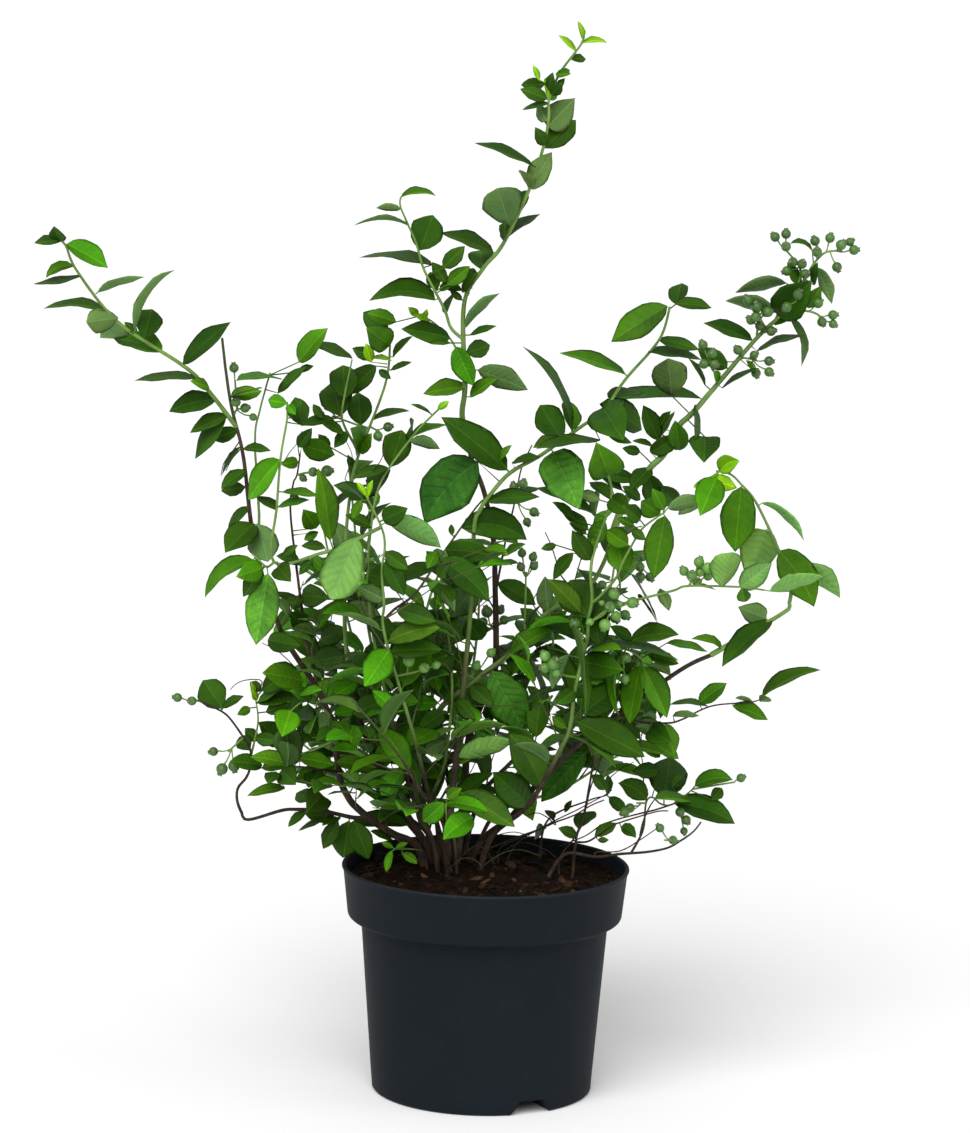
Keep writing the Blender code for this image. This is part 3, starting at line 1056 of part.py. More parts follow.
def ball_mesh(centre, radius):
    """A berry as an icosahedron."""
    golden = (1 + 5 ** 0.5) / 2
    unit = 1 / math.sqrt(1 + golden * golden)
    corners = []
    for a, b in ((-1, golden), (1, golden), (-1, -golden), (1, -golden)):
        corners.append(Vector((a, b, 0)))
    for a, b in ((-1, golden), (1, golden), (-1, -golden), (1, -golden)):
        corners.append(Vector((0, a, b)))
    for a, b in ((golden, -1), (golden, 1), (-golden, -1), (-golden, 1)):
        corners.append(Vector((a, 0, b)))
    faces = [(0, 11, 5), (0, 5, 1), (0, 1, 7), (0, 7, 10), (0, 10, 11), (1, 5, 9), (5, 11, 4), (11, 10, 2),
             (10, 7, 6), (7, 1, 8), (3, 9, 4), (3, 4, 2), (3, 2, 6), (3, 6, 8), (3, 8, 9), (4, 9, 5), (2, 4, 11),
             (6, 2, 10), (8, 6, 7), (9, 8, 1)]
    return [centre + corner * (unit * radius) for corner in corners], faces


def berry_on_stalk(centre, radius, start):
    """A berry and its stalk in one skin: the stalk grows out of one of the berry's faces."""
    corners, faces = ball_mesh(Vector((0.0, 0.0, 0.0)), radius)
    inward = (start - centre).normalized()
    mouth = (corners[faces[0][0]] + corners[faces[0][1]] + corners[faces[0][2]]).normalized()
    turn = mouth.rotation_difference(inward)
    corners = [centre + turn @ corner for corner in corners]
    mouth_corners = faces[0]
    faces = list(faces[1:])
    neck = centre + inward * (radius * 1.02)
    if (start - centre).dot(inward) < radius * 1.2:
        neck = centre + inward * (radius * 0.85)
    rings = []
    for place, size in ((neck, 0.0008), (start + inward * 0.0004, 0.0008)):
        ring = []
        for corner in mouth_corners:
            spread = corners[corner] - centre
            spread = (spread - inward * spread.dot(inward)).normalized()
            ring.append(len(corners))
            corners.append(place + spread * size)
        rings.append(ring)
    levels = [list(mouth_corners)] + rings
    for low, high in zip(levels[:-1], levels[1:]):
        for index in range(3):
            a = low[index]
            b = low[(index + 1) % 3]
            c = high[(index + 1) % 3]
            d = high[index]
            faces.append((a, b, c))
            faces.append((a, c, d))
    faces.append(tuple(levels[-1]))
    return corners, faces


TURNS = []
for _lean in (0, 9, -9, 18, -18, 28, -28, 40, -40):
    for _roll in (0, 16, -16, 32, -32, 50):
        TURNS.append((abs(_lean) + abs(_roll) * 0.7, _lean, _roll))
TURNS.sort()
TURNS = [(lean, roll) for _, lean, roll in TURNS]


def inside_outline(px, py):
    """Whether a picture point lies in the thick of the foliage, clear of the open gaps."""
    inside = False
    count = len(THICKET)
    for index in range(count):
        ax, ay = THICKET[index]
        bx, by = THICKET[(index + 1) % count]
        if (ay > py) != (by > py) and px < (bx - ax) * (py - ay) / (by - ay) + ax:
            inside = not inside
    if not inside:
        return False
    for gx, gy, reach in OPEN_GAPS:
        if math.hypot(px - gx, py - gy) < reach:
            return False
    return True


def leaf_in_thicket(leaf):
    for share in (0.35, 0.7, 1.0):
        place, side, rise = leaf.frame(share)
        half = leaf.half(share) if share < 1.0 else 0.0
        for off in (-half, half):
            if not inside_outline(*to_picture(place + side * off)):
                return False
    return True


def place_leaves(stems, crowd, fillers):
    """Every leaf that shows, then those set by rule, each clear of all that is already there."""
    placed = []
    report = [0, 0, 0]
    order = []
    for name, rows in LEAVES.items():
        for number, spec in enumerate(rows):
            size = max(math.hypot(spec[2] - spec[0], spec[3] - spec[1]), spec[4] * 1.9)
            order.append((-size, name, number, spec))
    order.sort(key=lambda item: item[:3])
    for size, name, number, spec in order:
        stem = stems[name]
        done = None
        for scale in (1.0, 0.85, 0.7):
            for lean, roll in TURNS:
                leaf = view_leaf(stem, spec, number, (lean, roll, scale))
                full = leaf.blade(0.00045)
                short = leaf.blade(0.00045, skip_root=True)
                if crowd.hits(*full, allow=stem.node) or crowd.hits(*short):
                    continue
                done = leaf
                break
            if done:
                break
        report[0 if done and scale == 1.0 else 1 if done else 2] += 1
        if done:
            done.number = number
            done.key = name + str(number)
            crowd.add(*done.blade(), stem.node)
            placed.append(done)
    for name, low, high, count in fillers:
        stem = stems[name]
        for number in range(count):
            share = low + (high - low) * (number + 0.5) / count
            tone = "DDMDGDM"[int(draw(name, number, "tone") * 7) % 7]
            for lean, roll in TURNS[:26]:
                leaf = grown_leaf(stem, share, number, (lean, roll, 1.0), tone)
                if not leaf_in_thicket(leaf):
                    continue
                full = leaf.blade(0.00045)
                short = leaf.blade(0.00045, skip_root=True)
                if crowd.hits(*full, allow=stem.node) == 0 and crowd.hits(*short) == 0:
                    leaf.number = 100 + number
                    leaf.key = name + str(100 + number)
                    crowd.add(*leaf.blade(), stem.node)
                    placed.append(leaf)
                    break
    return placed, report


class Truss:
    pass


def place_trusses(stems, crowd):
    """Berries on short stalks from the heart of each truss, each clear of the leaves and of each other."""
    trusses = []
    for name, stem_name, leave, heart, berries in TRUSSES:
        stem = stems[stem_name]
        away, index, share = stem.near(*leave)
        root, around = stem.at(index, share)
        truss = Truss()
        truss.name = name
        truss.fused = stem.kind != "cane" and len(berries) <= 3
        truss.node = stem.node if truss.fused else name
        truss.stem = stem
        truss.root = root
        truss.around = around
        truss.course = stem.direction(index)
        best = None
        for shift in (0, -4, 4, -8, 8, -13, 13, -18, 18, -24, 24):
            centre = photo_point(heart[0], heart[1], root.y + shift * MM)
            line, radii = stalk_line(truss, centre, berries)
            test = tube_mesh(line, [r + 0.0004 for r in radii], 4)
            if crowd.hits(*test, allow=truss.node) == 0:
                best = centre
                break
        if best is None:
            truss.berries = []
            truss.missing = len(berries)
            trusses.append(truss)
            continue
        truss.heart = best
        line, radii = stalk_line(truss, best, berries)
        truss.line = line
        truss.line_radii = radii
        crowd.add(*tube_mesh(line, radii, 4), truss.node)
        truss.berries = []
        truss.missing = 0
        for number, (px, py, size) in enumerate(berries):
            scale = point_scale(best)
            radius = size * scale * 0.98
            spot = None
            for shift in (0, -3, 3, -6, 6, -9, 9, -12, 12, -16, 16):
                centre = photo_point(px, py, best.y + shift * MM)
                ball = ball_mesh(centre, radius + 0.0006)
                if crowd.hits(*ball):
                    continue
                leave_at = leaving_place(line, centre, radius)
                off = centre - leave_at
                stalk = tube_mesh([leave_at, leave_at + off * 0.6], [0.0007, 0.0006], 3, 0.0003)
                if crowd.hits(*stalk, allow=truss.node):
                    continue
                spot = (centre, radius, leave_at)
                break
            if spot is None:
                truss.missing += 1
                continue
            truss.berries.append(spot)
            crowd.add(*ball_mesh(spot[0], radius), name + "_" + str(number))
            crowd.add(*tube_mesh([spot[2], spot[2].lerp(spot[0], 0.7)], [0.0006, 0.0006], 3), truss.node)
        trusses.append(truss)
    return trusses


def leaving_place(line, centre, radius):
    """Where on a truss's stalk a berry's own stalk leaves it: a little back from the nearest place."""
    spots = []
    for low, high in zip(line[:-1], line[1:]):
        steps = max(2, int((high - low).length / 0.001))
        for step in range(steps):
            spots.append(low.lerp(high, step / steps))
    spots.append(line[-1].lerp(line[-2], min(0.5, 0.0004 / max((line[-1] - line[-2]).length, 1e-5))))
    away = [(centre - spot).length for spot in spots]
    best = min(range(len(spots)), key=lambda index: away[index])
    best = max(1, best - 4)
    while best > 1 and away[best] < radius * 1.25:
        best -= 1
    return spots[min(best, len(spots) - 1)]


def stalk_line(truss, centre, berries):
    course = (centre - truss.root).normalized()
    slope = max(0.35, course.cross(truss.course).length)
    reach = (truss.around + GAP + 0.0001 + 0.0009 * abs(course.dot(truss.course))) / slope
    start = truss.root
    end_of_stem = truss.stem.points[-1]
    if (start - end_of_stem).length < 0.004 and course.dot(truss.course) > 0.3:
        start = end_of_stem
        reach = GAP + 0.0001 + (truss.around + 0.0009) * course.cross(truss.course).length
    if truss.fused:
        reach = 0.0
        start = truss.root
    start = start + course * reach
    far = max(berries, key=lambda item: (photo_point(item[0], item[1], centre.y) - centre).length)
    end = photo_point(far[0], far[1], centre.y)
    if (end - centre).length > 0.016 and (end - centre).dot(course) > -0.3 * (end - centre).length:
        end = centre.lerp(end, 1.0 - 0.009 / (end - centre).length)
        return [start, centre, end], [0.0009, 0.0009, 0.0008]
    return [start, centre], [0.0009, 0.0009]


def turned(profile, sides):
    """Plain turned solid round the upright axis, for clearance tests."""
    vertices = []
    faces = []
    for radius, height in profile:
        for side in range(sides):
            angle = 2 * math.pi * side / sides
            vertices.append(Vector((radius * math.cos(angle), radius * math.sin(angle), height)))
    for ring in range(len(profile) - 1):
        for side in range(sides):
            a = ring * sides + side
            b = ring * sides + (side + 1) % sides
            faces.append((a, b, b + sides))
            faces.append((a, b + sides, a + sides))
    return vertices, faces


def soil_sheet():
    vertices = []
    faces = []
    radii = (0.0, 0.02, 0.04, 0.06, 0.08, 0.095, 0.1068)
    for radius in radii:
        for side in range(36):
            angle = 2 * math.pi * side / 36
            x = radius * math.cos(angle)
            y = radius * math.sin(angle)
            vertices.append(Vector((x, y, soil_height(x, y) + 0.0004)))
    for ring in range(len(radii) - 1):
        for side in range(36):
            a = ring * 36 + side
            b = ring * 36 + (side + 1) % 36
            faces.append((a, b, b + 36))
            faces.append((a, b + 36, a + 36))
    return vertices, faces


def grow_bush():
    """The whole plant: stems, then leaves in view, then the leaves and shoots that fill the bush."""
    stems = lay_stems(STEMS + BACK_STEMS)
    crowd = Crowd()
    walls = [(BASE_RADIUS, 0.0), (BODY_TOP_RADIUS, POT_HEIGHT - COLLAR_HEIGHT), (COLLAR_RADIUS, POT_HEIGHT - COLLAR_HEIGHT),
             (RIM_RADIUS, POT_HEIGHT), (RIM_RADIUS - 0.0036, POT_HEIGHT), (RIM_RADIUS - 0.006, SOIL_EDGE)]
    crowd.add(*turned(walls, 40), "pot")
    crowd.add(*soil_sheet(), "soil")
    for stem in stems.values():
        points, radii = joint_line(stem, stems.get(stem.parent))
        stem.tube_points = points
        stem.tube_radii = radii
        stem.lead = 0.0
        if stem.parent is not None and stem.node == stem.name:
            stem.lead = (points[0] - stem.points[0]).length
        above = [(point, radius) for point, radius in zip(points, radii)]
        crowd.add(*tube_mesh([item[0] for item in above], [item[1] for item in above], 6), stem.node)
    trusses = place_trusses(stems, crowd)
    leaves, report = place_leaves(stems, crowd, FILLERS)
    return stems, leaves, trusses, report

PLASTIC = (0.030, 0.036, 0.042)
SOIL_BROWN = (0.055, 0.033, 0.020)
BARK_BROWN = (0.090, 0.050, 0.030)
LEAF_GREEN = (0.060, 0.170, 0.030)
BERRY_GREEN = (0.160, 0.330, 0.120)
TURNS_ROUND_POT = 30
NOTCH_TURNS = (-63.0, 57.0, 177.0)
NOTCH_INNER = 0.044
NOTCH_HEIGHT = 0.011
NOTCH_FOOT = 0.035
NOTCH_TOP = 0.020
FAR_BACK = 0.15


def clear_scene():
    for item in list(bpy.data.objects):
        bpy.data.objects.remove(item, do_unlink=True)


def make_collection(name):
    group = bpy.data.collections.new(name)
    bpy.context.scene.collection.children.link(group)
    return group


def make_material(name, colour, roughness):
    material = bpy.data.materials.new(name)
    material.use_nodes = True
    shader = material.node_tree.nodes["Principled BSDF"]
    shader.inputs["Base Color"].default_value = (colour[0], colour[1], colour[2], 1.0)
    shader.inputs["Roughness"].default_value = roughness
    return material


def add_mesh(name, vertices, faces, group):
    mesh = bpy.data.meshes.new(name)
    mesh.from_pydata([tuple(vertex) for vertex in vertices], [], faces)
    mesh.update()
    item = bpy.data.objects.new(name, mesh)
    group.objects.link(item)
    return item


def applied_mesh(item):
    bpy.context.view_layer.update()
    graph = bpy.context.evaluated_depsgraph_get()
    graph.update()
    return bpy.data.meshes.new_from_object(item.evaluated_get(graph), depsgraph=graph)


def swap_mesh(item, mesh):
    item.modifiers.clear()
    old = item.data
    item.data = mesh
    bpy.data.meshes.remove(old)


def add_tube(name, points, radii, group, rings):
    """A round tapered stem along a line, closed at both ends."""
    curve = bpy.data.curves.new(name + "_line", "CURVE")
    curve.dimensions = "3D"
    curve.resolution_u = 1
    curve.bevel_depth = max(radii)
    curve.bevel_resolution = rings
    curve.use_fill_caps = True
    spline = curve.splines.new("POLY")
    spline.points.add(len(points) - 1)
    for place, point, radius in zip(spline.points, points, radii):
        place.co = (point.x, point.y, point.z, 1.0)
        place.radius = radius / max(radii)
    route = bpy.data.objects.new(name + "_line", curve)
    group.objects.link(route)
    mesh = applied_mesh(route)
    shell = bmesh.new()
    shell.from_mesh(mesh)
    bmesh.ops.remove_doubles(shell, verts=shell.verts, dist=0.000005)
    bmesh.ops.recalc_face_normals(shell, faces=shell.faces)
    shell.to_mesh(mesh)
    shell.free()
    item = bpy.data.objects.new(name, mesh)
    item.matrix_world = route.matrix_world.copy()
    group.objects.link(item)
    bpy.data.objects.remove(route, do_unlink=True)
    bpy.data.curves.remove(curve)
    return item


def loose_bodies(shell):
    """Groups of faces that hang together."""
    left = set(shell.faces)
    bodies = []
    while left:
        first = left.pop()
        body = [first]
        todo = [first]
        while todo:
            face = todo.pop()
            for edge in face.edges:
                for other in edge.link_faces:
                    if other in left:
                        left.remove(other)
                        body.append(other)
                        todo.append(other)
        bodies.append(body)
    return bodies


def body_volume(body):
    total = 0.0
    for face in body:
        corners = [vertex.co for vertex in face.verts]
        for index in range(1, len(corners) - 1):
            total += corners[0].dot(corners[index].cross(corners[index + 1])) / 6.0
    return total


def keep_one_body(mesh, flatten=True, slack=0.000003):
    """Drop loose scraps and fill sealed hollows, so that one closed body is left."""
    shell = bmesh.new()
    shell.from_mesh(mesh)
    if not shell.faces:
        shell.free()
        return 0, 1
    if slack < 0.0:
        bmesh.ops.remove_doubles(shell, verts=shell.verts, dist=-slack)
    elif slack > 0.0:
        bmesh.ops.dissolve_degenerate(shell, edges=shell.edges, dist=slack)
    if flatten:
        bmesh.ops.dissolve_limit(shell, angle_limit=math.radians(2.5), use_dissolve_boundaries=False,
                                 verts=shell.verts, edges=shell.edges)
    bmesh.ops.triangulate(shell, faces=shell.faces, quad_method="BEAUTY", ngon_method="BEAUTY")
    if slack > 0.0:
        bmesh.ops.dissolve_degenerate(shell, edges=shell.edges, dist=slack)
        bmesh.ops.triangulate(shell, faces=shell.faces)
    elif slack < 0.0:
        bmesh.ops.remove_doubles(shell, verts=shell.verts, dist=-slack)
    bodies = loose_bodies(shell)
    volumes = [body_volume(body) for body in bodies]
    largest = max(range(len(bodies)), key=lambda index: volumes[index])
    for index, body in enumerate(bodies):
        if index != largest:
            for face in body:
                shell.faces.remove(face)
    for edge in list(shell.edges):
        if not edge.link_faces:
            shell.edges.remove(edge)
    for vertex in list(shell.verts):
        if not vertex.link_faces:
            shell.verts.remove(vertex)
    open_edges = sum(1 for edge in shell.edges if len(edge.link_faces) != 2)
    doubles = 1000 * len(bmesh.ops.find_doubles(shell, verts=shell.verts, dist=0.0000015)["targetmap"])
    shell.to_mesh(mesh)
    shell.free()
    return len(bodies), open_edges + doubles


def combine(item, others, operation, solver):
    """Join or cut with a collection of solids in one step, then remove them."""
    group = make_collection(item.name + "_set")
    group.hide_render = True
    for other in others:
        for holder in list(other.users_collection):
            holder.objects.unlink(other)
        group.objects.link(other)
        other.hide_render = True
        other.display_type = "WIRE"
    modifier = item.modifiers.new("set", "BOOLEAN")
    modifier.operation = operation
    modifier.operand_type = "COLLECTION"
    modifier.collection = group
    modifier.solver = solver
    mesh = applied_mesh(item)
    item.modifiers.clear()
    return mesh, group


def remove_group(group):
    for other in list(group.objects):
        bpy.data.objects.remove(other, do_unlink=True)
    bpy.data.collections.remove(group)


def joined(item, group, solver, flatten, slack):
    """The item's mesh joined with a collection of solids, and how many edges are left open."""
    modifier = item.modifiers.new("set", "BOOLEAN")
    modifier.operation = "UNION"
    modifier.operand_type = "COLLECTION"
    modifier.collection = group
    modifier.solver = solver
    mesh = applied_mesh(item)
    item.modifiers.clear()
    bodies, open_edges = keep_one_body(mesh, flatten, slack)
    return mesh, bodies, open_edges


WAYS = [("MANIFOLD", True, 0.000003), ("MANIFOLD", True, -0.000003), ("EXACT", True, 0.000003),
        ("MANIFOLD", False, 0.000003), ("MANIFOLD", False, -0.000003)]
NUDGES = [(0.0, 0.0, 0.0), (0.0001, 0.0, 0.0001), (-0.0001, 0.0001, 0.0), (0.0, -0.0001, -0.0001),
          (0.0002, 0.0001, 0.0), (0.0, -0.0001, 0.0002), (-0.0002, 0.0, -0.0001)]


def fits_on(item, other, group):
    """Join one piece, moved by up to a fifth of a millimetre where it doesn't join cleanly as it lies."""
    for nudge in NUDGES:
        other.location = nudge
        for solver, flatten, slack in WAYS:
            mesh, bodies, open_edges = joined(item, group, solver, flatten, slack)
            if open_edges == 0 and bodies == 1 and len(mesh.polygons) > len(item.data.polygons) + 4:
                swap_mesh(item, mesh)
                return True
            bpy.data.meshes.remove(mesh)
    return False


def fuse(item, others):
    """Join a node's leaves, side stems and berries to its stem."""
    if not others:
        keep_one_body(item.data)
        return
    group = make_collection(item.name + "_set")
    group.hide_render = True
    for other in others:
        for holder in list(other.users_collection):
            holder.objects.unlink(other)
        group.objects.link(other)
    for nudge in NUDGES[:5]:
        for other in others:
            other.location = nudge
        for solver, flatten, slack in WAYS:
            mesh, bodies, open_edges = joined(item, group, solver, flatten, slack)
            if open_edges == 0 and bodies == 1 and len(mesh.polygons) > len(item.data.polygons):
                swap_mesh(item, mesh)
                remove_group(group)
                return
            bpy.data.meshes.remove(mesh)
    for other in list(group.objects):
        group.objects.unlink(other)
    for other in others:
        group.objects.link(other)
        fits_on(item, other, group)
        group.objects.unlink(other)
    for other in others:
        group.objects.link(other)
    remove_group(group)


def turned_solid(name, profile, group, steps):
    """A solid turned round the upright axis from a half outline that starts and ends on it."""
    mesh = bpy.data.meshes.new(name)
    corners = [(radius, 0.0, height) for radius, height in profile]
    edges = [(index, index + 1) for index in range(len(corners) - 1)]
    mesh.from_pydata(corners, edges, [])
    item = bpy.data.objects.new(name, mesh)
    group.objects.link(item)
    screw = item.modifiers.new("turn", "SCREW")
    screw.axis = "Z"
    screw.angle = 2.0 * math.pi
    screw.steps = steps
    screw.render_steps = steps
    screw.use_merge_vertices = True
    screw.merge_threshold = 0.00001
    turned_mesh = applied_mesh(item)
    swap_mesh(item, turned_mesh)
    shell = bmesh.new()
    shell.from_mesh(item.data)
    bmesh.ops.remove_doubles(shell, verts=shell.verts, dist=0.00001)
    bmesh.ops.recalc_face_normals(shell, faces=shell.faces)
    bmesh.ops.triangulate(shell, faces=shell.faces)
    shell.to_mesh(item.data)
    shell.free()
    return item


def wedge(name, turn, inner, outer, low, high, foot, top, group):
    """A notch-shaped block: wide at the foot, narrow at the top, lying along a spoke of the base."""
    angle = math.radians(turn)
    spoke = Vector((math.cos(angle), math.sin(angle), 0.0))
    across = Vector((-math.sin(angle), math.cos(angle), 0.0))
    corners = []
    for reach in (inner, outer):
        for half, height in ((-foot, low), (foot, low), (top, high), (-top, high)):
            corners.append(spoke * reach + across * (half * 0.5) + UP * height)
    faces = [(0, 1, 2, 3), (7, 6, 5, 4), (4, 5, 1, 0), (5, 6, 2, 1), (6, 7, 3, 2), (7, 4, 0, 3)]
    item = add_mesh(name, corners, faces, group)
    shell = bmesh.new()
    shell.from_mesh(item.data)
    bmesh.ops.recalc_face_normals(shell, faces=shell.faces)
    bmesh.ops.triangulate(shell, faces=shell.faces)
    shell.to_mesh(item.data)
    shell.free()
    return item


def build_pot(group):
    ledge = POT_HEIGHT - COLLAR_HEIGHT
    outer = [(0.0, 0.0), (BASE_RADIUS - 0.0030, 0.0), (BASE_RADIUS, 0.0038), (BODY_TOP_RADIUS, ledge),
             (COLLAR_RADIUS - 0.0018, ledge + 0.0006), (COLLAR_RADIUS, ledge + 0.0044),
             (RIM_RADIUS - 0.0010, POT_HEIGHT - 0.0034), (RIM_RADIUS, POT_HEIGHT - 0.0016),
             (RIM_RADIUS - 0.0010, POT_HEIGHT), (RIM_RADIUS - 0.0024, POT_HEIGHT)]
    inner = [(RIM_RADIUS - 0.0032, POT_HEIGHT - 0.0012), (COLLAR_RADIUS - WALL, ledge + 0.0050),
             (COLLAR_RADIUS - 0.0032, ledge + 0.0024), (BODY_TOP_RADIUS - WALL, ledge + 0.0004),
             (BASE_RADIUS - WALL, 0.0040), (BASE_RADIUS - WALL - 0.0012, 0.0030), (0.0, 0.0030)]
    pot = turned_solid("pot", outer + inner, group, TURNS_ROUND_POT)
    core_profile = [(0.0, -0.010), (BASE_RADIUS - 0.0008, -0.010), (BASE_RADIUS - 0.0008, 0.0042),
                    (BASE_RADIUS - 0.0008 + 0.0016, 0.030), (0.0, 0.030)]
    housings = []
    for number, turn in enumerate(NOTCH_TURNS):
        housing = wedge("housing_%d" % number, turn, NOTCH_INNER - WALL, 0.100, 0.0005, NOTCH_HEIGHT + WALL,
                        NOTCH_FOOT + 2 * WALL, NOTCH_TOP + 2 * WALL, group)
        core = turned_solid("core_%d" % number, core_profile, group, TURNS_ROUND_POT)
        mesh, cutter_group = combine(housing, [core], "INTERSECT", "EXACT")
        swap_mesh(housing, mesh)
        remove_group(cutter_group)
        housings.append(housing)
    fuse(pot, housings)
    notches = []
    for number, turn in enumerate(NOTCH_TURNS):
        notches.append(wedge("notch_%d" % number, turn, NOTCH_INNER, 0.110, -0.010, NOTCH_HEIGHT, NOTCH_FOOT
                             + (NOTCH_FOOT - NOTCH_TOP) * 0.010 / NOTCH_HEIGHT, NOTCH_TOP, group))
    mesh, cutter_group = combine(pot, notches, "DIFFERENCE", "EXACT")
    keep_one_body(mesh)
    swap_mesh(pot, mesh)
    remove_group(cutter_group)
    return pot


def build_soil(group, stems):
    ledge = POT_HEIGHT - COLLAR_HEIGHT
    collar_top = COLLAR_RADIUS - WALL + (RIM_RADIUS - 0.0032 - COLLAR_RADIUS + WALL) * 0.68
    profile = [(0.0, 0.0030 + GAP), (BASE_RADIUS - WALL - 0.0012 - GAP, 0.0030 + GAP),
               (BASE_RADIUS - WALL - GAP - 0.0001, 0.0042), (BODY_TOP_RADIUS - WALL - GAP - 0.0001, ledge + 0.0007),
               (COLLAR_RADIUS - 0.0032 - GAP, ledge + 0.0028), (COLLAR_RADIUS - WALL - GAP - 0.0002, ledge + 0.0052),
               (collar_top - GAP - 0.0002, SOIL_EDGE - 0.0012), (collar_top - 0.0016, SOIL_EDGE)]
    for radius in (0.092, 0.068, 0.044, 0.020, 0.0):
        profile.append((radius, SOIL_EDGE + 0.004))
    soil = turned_solid("soil", profile, group, TURNS_ROUND_POT)
    for vertex in soil.data.vertices:
        if vertex.co.z > SOIL_EDGE + 0.003:
            vertex.co.z = soil_height(vertex.co.x, vertex.co.y)
    cutters = []
    for number, turn in enumerate(NOTCH_TURNS):
        cutters.append(wedge("seat_%d" % number, turn, NOTCH_INNER - WALL - GAP, 0.110, -0.010,
                             NOTCH_HEIGHT + WALL + GAP, NOTCH_FOOT + 2 * WALL + 3 * GAP
                             + (NOTCH_FOOT - NOTCH_TOP) * 0.010 / NOTCH_HEIGHT, NOTCH_TOP + 2 * WALL + 2 * GAP, group))
    sides = 6
    for stem in stems.values():
        if stem.parent is not None:
            continue
        foot = stem.points[0]
        radius = (stem.tube_radii[0] + GAP) / math.cos(math.pi / sides)
        bottom = foot.z - ROOT_DEPTH - GAP
        ring = []
        for height in (bottom, foot.z + 0.012):
            for side in range(sides):
                angle = 2.0 * math.pi * side / sides
                ring.append(Vector((foot.x + radius * math.cos(angle), foot.y + radius * math.sin(angle), height)))
        faces = [tuple(reversed(range(sides))), tuple(range(sides, 2 * sides))]
        for side in range(sides):
            other = (side + 1) % sides
            faces.append((side, other, sides + other, sides + side))
        cutters.append(add_mesh("hole_" + stem.name, ring, faces, group))
    mesh, cutter_group = combine(soil, cutters, "DIFFERENCE", "EXACT")
    keep_one_body(mesh)
    swap_mesh(soil, mesh)
    remove_group(cutter_group)
    return soil


def build_plant(group, stems, leaves, trusses):
    nodes = {}
    bodies = {}
    for stem in stems.values():
        rings = 1 if stem.kind == "cane" else 0
        points = stem.tube_points
        radii = stem.tube_radii
        if stem.node != stem.name:
            away, index, share = stems[stem.parent].near(*to_picture(stem.points[0]))
            start, around = stems[stem.parent].inside(index, share)
            points = [start] + [point for point in stem.points[1:]]
            radii = list(stem.radii)
        item = add_tube(stem.name, points, radii, group, rings)
        nodes.setdefault(stem.node, []).append(item)
        bodies[stem.node] = stem
    for leaf in leaves:
        if leaf.length < SMALL_LEAF or (leaf.number >= 100 and leaf.number % 3 > 0 and leaf.tip.y < FAR_BACK):
            continue
        vertices, faces = leaf.blade()
        nodes[leaf.stem.node].append(add_mesh("leaf_" + leaf.key, vertices, faces, group))
    for truss in trusses:
        if not truss.berries:
            continue
        line = truss.line
        pieces = [add_tube(truss.name, line, truss.line_radii, group, 0)]
        for number, (centre, radius, start) in enumerate(truss.berries):
            if len(truss.berries) > 3 and number % 2 == 1:
                continue
            vertices, faces = berry_on_stalk(centre, radius, start)
            pieces.append(add_mesh("%s_%d" % (truss.name, number), vertices, faces, group))
        nodes.setdefault(truss.node, []).extend(pieces)
    for name, pieces in nodes.items():
        main = [piece for piece in pieces if piece.name == name][0]
        others = [piece for piece in pieces if piece is not main]
        fuse(main, others)
    return nodes


def main():
    clear_scene()
    group = make_collection("potted_blueberry_bush")
    stems, leaves, trusses, report = grow_bush()
    pot = build_pot(group)
    soil = build_soil(group, stems)
    build_plant(group, stems, leaves, trusses)
    kinds = {stem.node: stem.kind for stem in stems.values()}
    for item in group.objects:
        if item.name == "pot":
            colour, roughness = PLASTIC, 0.45
        elif item.name == "soil":
            colour, roughness = SOIL_BROWN, 0.95
        elif item.name.startswith("berries"):
            colour, roughness = BERRY_GREEN, 0.5
        elif kinds[item.name] == "cane":
            colour, roughness = BARK_BROWN, 0.8
        else:
            colour, roughness = LEAF_GREEN, 0.5
        item.data.materials.clear()
        item.data.materials.append(make_material(item.name, colour, roughness))
        if item.data.materials[0] is None:
            item.data.materials[0] = make_material(item.name, colour, roughness)


main()
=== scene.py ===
"""A potted blueberry bush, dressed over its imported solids: pot, soil, stems, leaves and green berries."""

